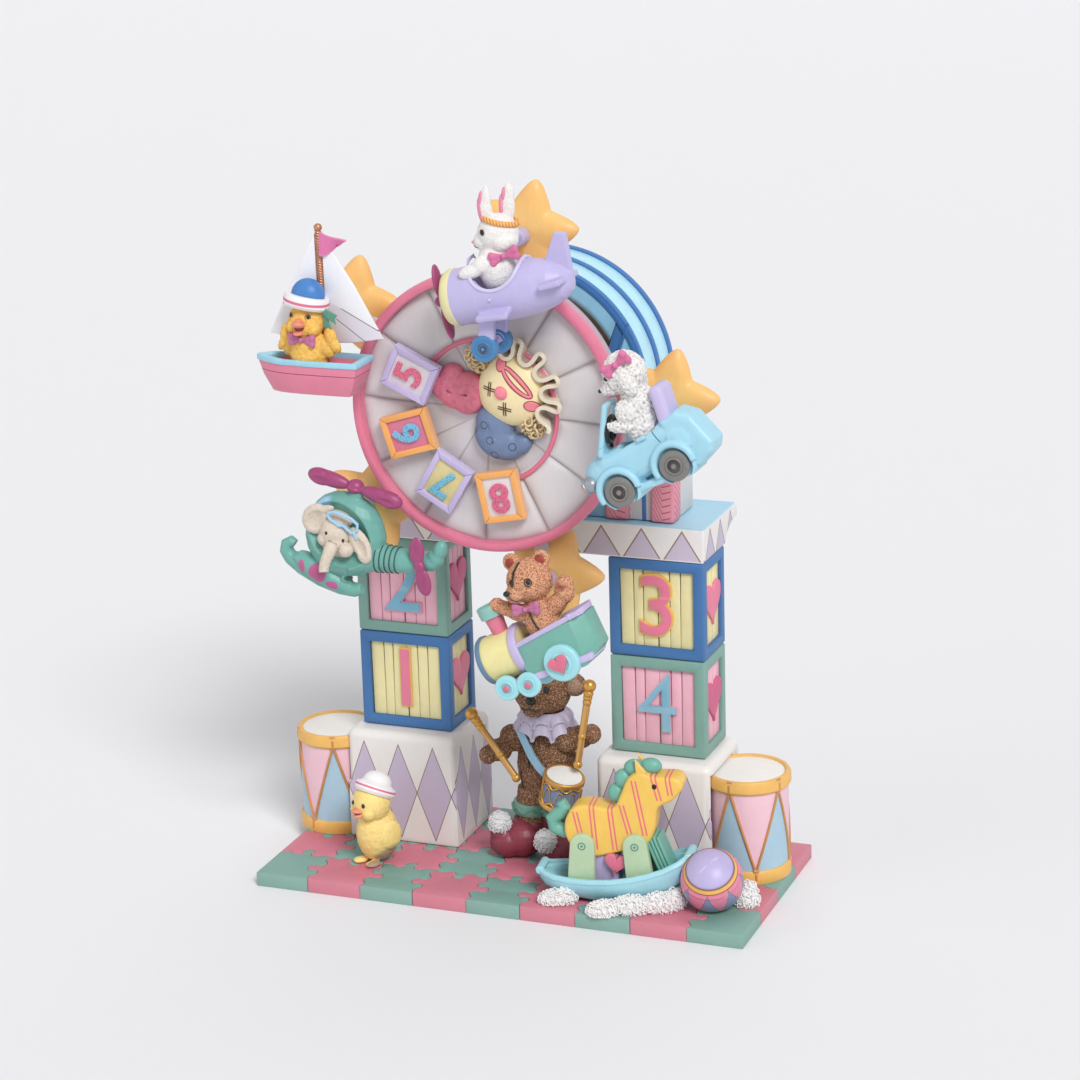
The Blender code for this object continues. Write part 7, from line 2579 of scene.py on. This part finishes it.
class MUSICBOX_OT_toy_drum(bpy.types.Operator):
    """The toy drum with laced shell and wavy gold rims, and its two gold sticks"""

    bl_idname = "music_box.toy_drum"
    bl_label = "Toy Drum"

    def execute(self, context):
        place = standing(0, 8)
        tilted = place @ placed((14.4, -14.2, 33.0), (6, 14, 0))
        shell = resin(
            "toy_drum_shell", (0.45, 0.53, 0.66), washed=0.6, mottle=0.15, roughness=0.42, coat=0.1
        )
        barrel = lathe(
            [(0, -5.6), (7.1, -5.6), (7.5, -3), (7.6, 0), (7.5, 3), (7.1, 5.6), (0, 5.6)], sides=64
        )
        piece(
            "toy_drum_shell", "stand", shell, [barrel], tilted,
            replaces=["toy_drum"]
        )
        gold = resin(
            "gold", (0.84, 0.63, 0.30), metallic=0.65, washed=1.0, mottle=0.15,
            wash=(0.40, 0.22, 0.08),
            roughness=0.36,
        )
        turns = [math.tau * step / 120 for step in range(120)]
        rims = []
        for end in (-1, 1):
            ring = [
                (7.0, 4.5 * end), (8.0, 4.5 * end), (8.3, 5.2 * end), (8.2, 6.3 * end),
                (7.6, 6.7 * end), (7.0, 6.6 * end)
            ]
            rims.append(lathe(ring, sides=64))
            wave = [
                (7.8 * math.cos(t), 7.8 * math.sin(t), end * (4.0 + 0.8 * math.cos(9 * t)))
                for t in turns
            ]
            rims.append(tube(wave, 0.42, True))
        lace = []
        for step in range(36):
            t = math.tau * step / 36
            lace.append(
                (
                    7.75 * math.cos(t), 7.75 * math.sin(t),
                    2.9 * (1 if step % 4 < 2 else -1) * (0.8 if step % 2 else 1)
                )
            )
        rims.append(tube(lace, 0.3, True))
        piece("toy_drum_rims", "stand", gold, rims, tilted)
        skin = resin("drum_skin", (0.92, 0.92, 0.91), washed=0.4, mottle=0.05, roughness=0.5)
        piece(
            "toy_drum_skins", "stand", skin,
            [lathe([(0, -6.3), (7.1, -6.3), (7.1, 6.3), (0, 6.3)], sides=64)], tilted
        )
        sticks = {
            "left": ((-22.2, -14.6, 60.5), (-3.8, -14.6, 35.1)),
            "right": ((26.0, -11.7, 75.9), (20.2, -11.7, 42.1)),
        }
        for side, (knob, end) in sticks.items():
            top, tip = Vector(knob), Vector(end)
            beads = [
                ball(tuple(top.lerp(tip, share)), size)
                for share, size in ((0.09, 2.0), (0.14, 1.8), (0.2, 1.75), (0.62, 1.7), (0.97, 1.8))
            ]
            shaft = rod(knob, end, 1.5, 1.3, sides=20)
            piece(
                f"drumstick_{side}_turned", "stand", gold, [shaft, ball(knob, 2.6), *beads], place,
                replaces=[f"drumstick_{side}"]
            )
        return {"FINISHED"}


STRIPES = (
    (-14.2, 35.8, -12.3, 27.3), (-7.9, 39.5, -6.4, 21.0), (-0.9, 39.1, 1.2, 21.1),
    (3.8, 39.6, 6.9, 27.9),
    (8.6, 49.7, 12.8, 27.8), (15.4, 53.9, 18.5, 42.2), (21.2, 53.7, 22.7, 44.5),
)


def horse_paint(x, y, z, facing):
    """Double pink stripes down the flanks."""
    layers = []
    for x1, z1, x2, z2 in STRIPES:
        length = math.hypot(x2 - x1, z2 - z1)
        across = x * ((z1 - z2) / length) + z * ((x2 - x1) / length) - (
            (z1 - z2) * x1 + (x2 - x1) * z1
        ) / length
        lines = abs(abs(across) - 0.75).below(0.34, 0.14) * z.above(z2, 0.3) * z.below(z1, 0.3)
        layers.append((lines, (0.90, 0.44, 0.48)))
    return layers


HORSE_PLACE = standing(43, -25.5, 8)


class MUSICBOX_OT_horse(bpy.types.Operator):
    """Striped toy horse with jointed legs on a light-blue rocker"""

    bl_idname = "music_box.horse"
    bl_label = "Rocking Horse"

    def execute(self, context):
        colours = context.scene.music_box_colours
        place = HORSE_PLACE
        yellow = resin(
            "horse_yellow", colours.horse_yellow, horse_paint, place, washed=0.6, mottle=0.1,
            wash=(0.66, 0.40, 0.16), roughness=0.42, coat=0.12,
        )
        flank = smoothed([
            (-17.6, 24), (-18.4, 31), (-15, 37), (-9, 38.6), (0, 37.8), (3.2, 43), (6, 49.5),
            (10.5, 52.8), (17, 51.4), (25, 51.4), (27.2, 47.6), (23.5, 42.4), (17.8, 38.6),
            (16.4, 30),
            (13, 23.8), (4, 20.6), (-7, 17.6), (-13, 19),
        ])
        ear = [
            board([(9.4, 51.5), (9.0, 57.6), (13.4, 52.6)], y, y + 2.2, 0.5) for y in (-4.6, 2.4)
        ]
        piece(
            "horse_body", "stand", yellow, [board(flank, -5.6, 5.6, 1.6, 5), *ear], place,
            replaces=["rocking_horse"],
        )
        teal = resin(
            "mane_teal", (0.44, 0.68, 0.62), washed=0.8, mottle=0.12, wash=(0.18, 0.36, 0.34),
            roughness=0.42, coat=0.1
        )
        lobes = (
            (1.0, 42.4, 3.4, 4.0), (3.6, 48.2, 3.4, 4.0), (8.2, 53.0, 4.2, 3.4),
            (14.4, 54.0, 4.4, 3.2),
        )
        hair = [ball((x, 0, z), (wide, 2.9, tall)) for x, z, wide, tall in lobes]
        hair.append(tube(
            [
                (-14.6, 0, 26.6), (-19.4, 0, 25.6), (-23.2, 0, 27.0), (-24.0, 0, 30.4),
                (-21.4, 0, 32.8), (-19.4, 0, 35.4), (-20.8, 0, 37.8)
            ],
            2.9, swell=(1, 1, 1, 1, 0.95, 0.9, 0.7), fine=5,
        ))
        swirls = []
        for x, z, wide, tall in lobes:
            for y in (-2.9, 2.9):
                swirls.append(hoop((x, y, z), (wide * 0.55, tall * 0.55), 0.35, (90, 0, 0), 24))
        piece("horse_mane", "stand", teal, hair, place, cast=0.3, soft=3, cut=swirls)
        green = resin(
            "leg_green", (0.71, 0.80, 0.66), washed=0.6, mottle=0.1, wash=(0.40, 0.46, 0.30),
            roughness=0.42, coat=0.1
        )
        legs, rings = [], []
        for x, z, foot, low in ((-11.3, 22.9, -12.0, 5.4), (9.1, 23.8, 11.2, 7.4)):
            outline = [(foot - 5.4, low)] + [
                (x + 4.7 * math.cos(math.radians(a)), z + 4.7 * math.sin(math.radians(a)))
                for a in range(180, -1, -12)
            ] + [(foot + 5.4, low)]
            for y in (-8.0, 4.4):
                legs.append(board(outline, y, y + 3.6, 0.5))
            for y in (-8.0, 8.0):
                rings += [
                    hoop((x, y, z), 1.35, 0.24, (90, 0, 0), 28), ball((x, y, z), (0.5, 0.3, 0.5))
                ]
        piece("horse_legs", "stand", green, legs, place)
        piece(
            "horse_pivots", "stand", resin("pivot_teal", (0.36, 0.56, 0.52), washed=0.4), rings,
            place
        )
        ribs = [
            box(
                (15.6 + step * 1.35, 0.6, 19.0 + step * 0.5), (1.2, 9.6, 18.0 - step * 1.6),
                (0, -22, 0), 0.4
            )
            for step in range(4)
        ]
        piece("horse_chest_ribs", "stand", FINISHES["mane_teal"], ribs, place)
        lilac = resin(
            "horse_block_lilac", (0.74, 0.68, 0.84), washed=0.5, mottle=0.1, roughness=0.45
        )
        piece(
            "horse_block", "stand", lilac,
            [box((-3.4, 0.6, 12.4), (10.4, 8.4, 12.4), rounding=0.8)], place
        )
        rose = FINISHES["chimney_rose"]
        charm = [moved(board(heart(8.4), -1.2, 1.0, 0.5), placed((1.4, -5.0, 15.2), (0, 8, 0)))]
        piece("horse_heart", "stand", rose, charm, place)
        eyes = [ball((16.6, y, 47.8), (0.95, 0.6, 1.1)) for y in (-5.5, 5.5)]
        nose = [ball((25.2, y, 48.2), (0.5, 0.5, 0.5)) for y in (-4.9, 4.9)]
        piece("horse_eyes", "stand", eye_black(), eyes + nose, place)

        sections = [
            (-29.0, 6.5, 11.0, 4.5), (-26.2, 4.0, 9.9, 7.0), (-22.0, 2.2, 9.4, 9.2),
            (-15.4, 0.7, 9.2, 11.0), (-8.0, 0.0, 9.4, 12.0),
            (0.2, 0.0, 10.2, 12.5), (8.0, 0.6, 11.6, 12.4), (14.2, 2.0, 13.2, 11.8),
            (20.0, 4.2, 15.0, 10.5), (25.4, 7.6, 17.4, 8.2),
            (29.5, 11.5, 20.0, 5.0),
        ]

        def ring(x, low, high, half, flare=0.55):
            side = [
                (half, high), (half * 0.96, high - (high - low) * 0.3),
                (half * (flare + 0.2), low + (high - low) * 0.22), (half * flare * 0.8, low)
            ]
            return [(x, y, z) for y, z in side] + [(x, -y, z) for y, z in side[::-1]]

        outside = loft([ring(*section) for section in sections])
        inside = loft(
            [
                ring(x * 0.92, low + 3.2, high + 2.4, half - 2.6, 0.7)
                for x, low, high, half in sections
            ]
        )
        sky = resin(
            "rocker_blue", (0.63, 0.84, 0.89), washed=0.6, mottle=0.1, wash=(0.34, 0.52, 0.58),
            roughness=0.4, coat=0.12
        )
        rail = [(x, half - 1.2, high - 0.2) for x, _, high, half in sections]
        rail += [(x, -y, z) for x, y, z in reversed(rail)]
        scroll = [
            rod((-28.6, -5.2, 10.6), (-28.6, 5.2, 10.6), 1.7, rounding=0.5),
            rod((29.0, -5.6, 19.2), (29.0, 5.6, 19.2), 1.9, rounding=0.5)
        ]
        room = moved(ball((81.7, -26, 17.5), 12.25, fine=48), place.inverted())
        piece(
            "rocker_trough", "stand", sky, [outside], place, cut=[inside, room], edge=0.4,
            replaces=["horse_rocker"],
        )
        piece("rocker_rail", "stand", sky, [tube(rail, 1.35, True), *scroll], place, cut=[room])
        return {"FINISHED"}


def ball_paint(x, y, z, facing):
    """Two rings and a band of triangles round a toy ball."""
    turn = y.math("ARCTAN2", x)
    teeth = turn.zigzag(math.tau / 8) * 11.4 - 5.7
    band = z.near(0, 6.2, 0.2)
    pink = z.above(teeth, 0.3)
    rings = abs(z).near(7.0, 0.85, 0.15)
    lines = abs(abs(z) - 7.0).near(0.85, 0.18, 0.12).either(
        z.math("SUBTRACT", teeth).near(0, 0.25, 0.12) * band
    )
    return [
        (band, (0.52, 0.56, 0.70)), (band * pink, (0.88, 0.52, 0.62)), (rings, (0.93, 0.70, 0.36)),
        (lines, (0.50, 0.36, 0.34))
    ]


class MUSICBOX_OT_ball(bpy.types.Operator):
    """Lilac toy ball with two gold rings and a band of triangles"""

    bl_idname = "music_box.ball"
    bl_label = "Toy Ball"

    def execute(self, context):
        colours = context.scene.music_box_colours
        place = placed((81.7, -26, 17.5), (36.5, 0, 9))
        finish = resin(
            "ball_lilac", colours.ball_lilac, ball_paint, place, washed=0.6, mottle=0.1,
            wash=(0.40, 0.34, 0.44), roughness=0.4, coat=0.15,
        )
        low = moved(box((81.7, -26, SLAB_TOP - 10), (60, 60, 20)), place.inverted())
        ridges = [
            lathe(
                [
                    (r - 0.2, z - 0.5), (r + 0.2, z - 0.2), (r + 0.2, z + 0.2), (r - 0.2, z + 0.5),
                    (r - 1.0, z)
                ],
                sides=64
            )
            for r, z in ((11.0, 4.5), (9.2, 7.5), (11.0, -4.5), (9.2, -7.5))
        ]
        piece(
            "toy_ball_painted", "stand", finish, [ball((0, 0, 0), 12.0, fine=64), *ridges], place,
            cut=[low], replaces=["toy_ball"]
        )
        return {"FINISHED"}


class MUSICBOX_OT_fleece(bpy.types.Operator):
    """Three tufts of crinkled white fleece by the rocker"""

    bl_idname = "music_box.fleece"
    bl_label = "Fleece"

    def execute(self, context):
        colours = context.scene.music_box_colours
        wool = resin(
            "fleece_white", colours.fleece_white, washed=0.8, mottle=0.05, wash=(0.48, 0.46, 0.48),
            grain=1.0, roughness=0.75,
        )
        tufts = {
            "left": (
                (23.5, -37.5, 28),
                [((0, 0, 1.5), (7.5, 5.0, 3.6)), ((3.2, -1.4, 2.4), (4.6, 3.6, 4.2))]
            ),
            "middle": ((56.0, -37.0, 24), [
                ((-13.0, 0, 1.4), (7.0, 5.0, 3.6)), ((-3.0, 0.4, 2.0), (8.5, 5.2, 4.4)),
                ((8.0, 0.6, 2.0), (8.0, 4.8, 5.2)), ((14.0, 2.2, 3.0), (4.6, 3.8, 4.8)),
            ]),
            "right": (
                (93.0, -18.0, 10),
                [((0, 0, 1.5), (5.0, 5.0, 4.6)), ((0.2, 3.0, 3.4), (3.6, 3.4, 4.8))]
            ),
        }
        for name, ((x, y, turn), lumps) in tufts.items():
            place = standing(x, y, turn)
            floor = [box((0, 0, -20), (160, 160, 40))]
            core = [ball(centre, tuple(size * 0.9 for size in radii)) for centre, radii in lumps]
            piece(
                f"fleece_{name}_core", "stand", wool, core, place, cut=floor,
                curl=("STUCCI", 1.2, 1.2),
                cast=0.4, soft=3, replaces=[f"fleece_{name}"],
            )
            loops = []
            for centre, radii in lumps:
                loops += curls(
                    centre, tuple(size * 0.93 for size in radii), int(radii[0] * 26), 0.75, 0.24,
                    1.3
                )
            piece(f"fleece_{name}_curls", "stand", wool, loops, place, cut=floor)
        return {"FINISHED"}


# Stage


# Aim and sun sizes in degrees, places in metres
CAMERA_TURN, CAMERA_RISE, CAMERA_ROLL = 21.45, 16.90, -1.66
CAMERA_PLACE = (0.4164, -1.0448, 0.4785)
CAMERA_LENS = 102.526
FLOOR_REACH, COVE = 6, 2.5
SKY_STRENGTH = 0.4
AIM = (0, 0, 0.14)
SUNS = (
    ("key", (0.95, -1.05, 1.45), 22, 2.25), ("fill", (-1.5, -1.2, 0.8), 50, 0.45),
    ("top", (-0.1, 0.5, 1.7), 60, 0.35),
)


class MUSICBOX_OT_stage(bpy.types.Operator):
    """Pale floor, soft studio light and the camera at the photograph's angle"""

    bl_idname = "music_box.stage"
    bl_label = "Stage"

    def execute(self, context):
        scene = context.scene
        mesh = bmesh.new()
        bmesh.ops.create_grid(mesh, x_segments=1, y_segments=1, size=FLOOR_REACH)
        far = [edge for edge in mesh.edges if all(vert.co.y > 5 for vert in edge.verts)]
        made = bmesh.ops.extrude_edge_only(mesh, edges=far)["geom"]
        bmesh.ops.translate(
            mesh, vec=(0, 0, FLOOR_REACH),
            verts=[v for v in made if isinstance(v, bmesh.types.BMVert)]
        )
        bend = [
            edge
            for edge in mesh.edges if all(vert.co.y > 5 and vert.co.z < 1 for vert in edge.verts)
        ]
        soften(mesh, bend, COVE, 16)
        bmesh.ops.recalc_face_normals(mesh, faces=mesh.faces)
        data = bpy.data.meshes.new("floor")
        mesh.to_mesh(data)
        mesh.free()
        data.shade_smooth()
        floor = bpy.data.objects.new("floor", data)
        scene.collection.objects.link(floor)
        paper = bpy.data.materials.new("backdrop")
        paper.use_nodes = True
        shader = paper.node_tree.nodes["Principled BSDF"]
        shader.inputs["Base Color"].default_value = shade(scene.music_box_colours.backdrop)
        shader.inputs["Roughness"].default_value = 0.9
        shader.inputs["Specular IOR Level"].default_value = 0.1
        data.materials.append(paper)

        for name, at, spread, energy in SUNS:
            lamp = bpy.data.lights.new(name, "SUN")
            lamp.angle = math.radians(spread)
            lamp.energy = energy
            holder = bpy.data.objects.new(name, lamp)
            holder.location = at
            holder.rotation_euler = (Vector(AIM) - Vector(at)).to_track_quat("-Z", "Y").to_euler()
            scene.collection.objects.link(holder)

        world = bpy.data.worlds.new("studio")
        scene.world = world
        world.use_nodes = True
        sky = world.node_tree.nodes["Background"]
        sky.inputs["Color"].default_value = (1, 1, 1, 1)
        sky.inputs["Strength"].default_value = SKY_STRENGTH

        turn, rise, roll = (
            math.radians(angle) for angle in (CAMERA_TURN, CAMERA_RISE, CAMERA_ROLL)
        )
        ahead = Vector(
            (-math.sin(turn) * math.cos(rise), math.cos(turn) * math.cos(rise), -math.sin(rise))
        )
        right = Vector((math.cos(turn), math.sin(turn), 0))
        up = right.cross(ahead)
        across = math.cos(roll) * right + math.sin(roll) * up
        upward = -math.sin(roll) * right + math.cos(roll) * up
        lens = bpy.data.cameras.new("camera")
        lens.sensor_width = 36
        lens.lens = CAMERA_LENS
        camera = bpy.data.objects.new("camera", lens)
        facing = Matrix((across, upward, -ahead)).transposed().to_4x4()
        camera.matrix_world = Matrix.Translation(CAMERA_PLACE) @ facing
        scene.collection.objects.link(camera)
        scene.camera = camera
        scene.view_settings.view_transform = "Standard"
        return {"FINISHED"}


class MusicBoxSizes(bpy.types.PropertyGroup):
    """Sizes of the painted pieces"""

    tile_columns: bpy.props.IntProperty(
        name="Tile Columns", description="Jigsaw tiles along the slab", default=9, min=3, max=16,
    )
    tile_rows: bpy.props.IntProperty(
        name="Tile Rows", description="Jigsaw tiles across the slab", default=4, min=2, max=8,
    )
    cord: bpy.props.FloatProperty(
        name="Drum Cord", description="Diameter of the drums' lacing", default=0.0011, min=0.0005,
        max=0.003, precision=4, unit="LENGTH",
    )


def colour(name, description, default):
    return bpy.props.FloatVectorProperty(
        name=name, description=description, default=default, size=3, min=0, max=1,
        subtype="COLOR_GAMMA",
    )


class MusicBoxColours(bpy.types.PropertyGroup):
    """Colours of the paint and the stage"""

    wheel_grey: colour("Wheel", "Panels of the big wheel", (0.85, 0.84, 0.85))
    rim_rose: colour("Rim", "Front of the wheel's rim", (0.87, 0.47, 0.58))
    star: colour("Stars", "Ground of the five stars", (0.96, 0.77, 0.47))
    clown_cream: colour("Clown", "Clown's face", (0.95, 0.88, 0.69))
    plane_lilac: colour("Airplane", "Airplane's body", (0.74, 0.71, 0.87))
    rabbit_white: colour("Rabbit", "Rabbit's fur", (0.93, 0.92, 0.91))
    car_blue: colour("Car", "Car's body", (0.64, 0.83, 0.90))
    dog_white: colour("Dog", "Dog's curls", (0.94, 0.93, 0.92))
    train_teal: colour("Train", "Train's cab", (0.44, 0.67, 0.62))
    helicopter_teal: colour("Helicopter", "Helicopter's body", (0.43, 0.66, 0.62))
    boat_pink: colour("Boat", "Boat's hull", (0.87, 0.50, 0.60))
    sail_white: colour("Sails", "Boat's sails", (0.93, 0.93, 0.95))
    duck_yellow: colour("Duck", "Sailor duck", (0.95, 0.76, 0.38))
    bear_brown: colour("Drummer", "Drummer bear's fur", (0.47, 0.31, 0.21))
    horse_yellow: colour("Horse", "Rocking horse's ground", (0.93, 0.76, 0.36))
    ball_lilac: colour("Ball", "Caps of the toy ball", (0.72, 0.68, 0.84))
    fleece_white: colour("Fleece", "Tufts of fleece", (0.93, 0.92, 0.92))
    backdrop: colour("Backdrop", "Floor and backdrop of the stage", (0.90, 0.90, 0.91))


OPERATORS = (
    MUSICBOX_OT_slab, MUSICBOX_OT_pedestals, MUSICBOX_OT_drums, MUSICBOX_OT_blocks,
    MUSICBOX_OT_lintel,
    MUSICBOX_OT_rainbow, MUSICBOX_OT_movement, MUSICBOX_OT_wheel, MUSICBOX_OT_wheel_blocks,
    MUSICBOX_OT_stars, MUSICBOX_OT_clown, MUSICBOX_OT_airplane, MUSICBOX_OT_car, MUSICBOX_OT_train,
    MUSICBOX_OT_helicopter, MUSICBOX_OT_sailboat, MUSICBOX_OT_duckling, MUSICBOX_OT_drummer,
    MUSICBOX_OT_toy_drum, MUSICBOX_OT_horse, MUSICBOX_OT_ball, MUSICBOX_OT_fleece,
    MUSICBOX_OT_stage,
)


class MUSICBOX_PT_pieces(bpy.types.Panel):
    """Lists the music box's pieces, sizes and colours"""

    bl_idname = "MUSICBOX_PT_pieces"
    bl_label = "Ferris Wheel Music Box"
    bl_space_type = "VIEW_3D"
    bl_region_type = "UI"
    bl_category = "Music Box"

    def draw(self, context):
        for group in (context.scene.music_box_sizes, context.scene.music_box_colours):
            column = self.layout.column()
            for name in group.__annotations__:
                column.prop(group, name)
        for operator in OPERATORS:
            self.layout.operator(operator.bl_idname)


CLASSES = (MusicBoxSizes, MusicBoxColours, *OPERATORS, MUSICBOX_PT_pieces)


def register():
    for kind in CLASSES:
        bpy.utils.register_class(kind)
    bpy.types.Scene.music_box_sizes = bpy.props.PointerProperty(type=MusicBoxSizes)
    bpy.types.Scene.music_box_colours = bpy.props.PointerProperty(type=MusicBoxColours)


def unregister():
    del bpy.types.Scene.music_box_sizes
    del bpy.types.Scene.music_box_colours
    for kind in reversed(CLASSES):
        bpy.utils.unregister_class(kind)


def main():
    register()
    for operator in OPERATORS:
        group, _, name = operator.bl_idname.partition(".")
        getattr(getattr(bpy.ops, group), name)()


if __name__ == "__main__":
    main()
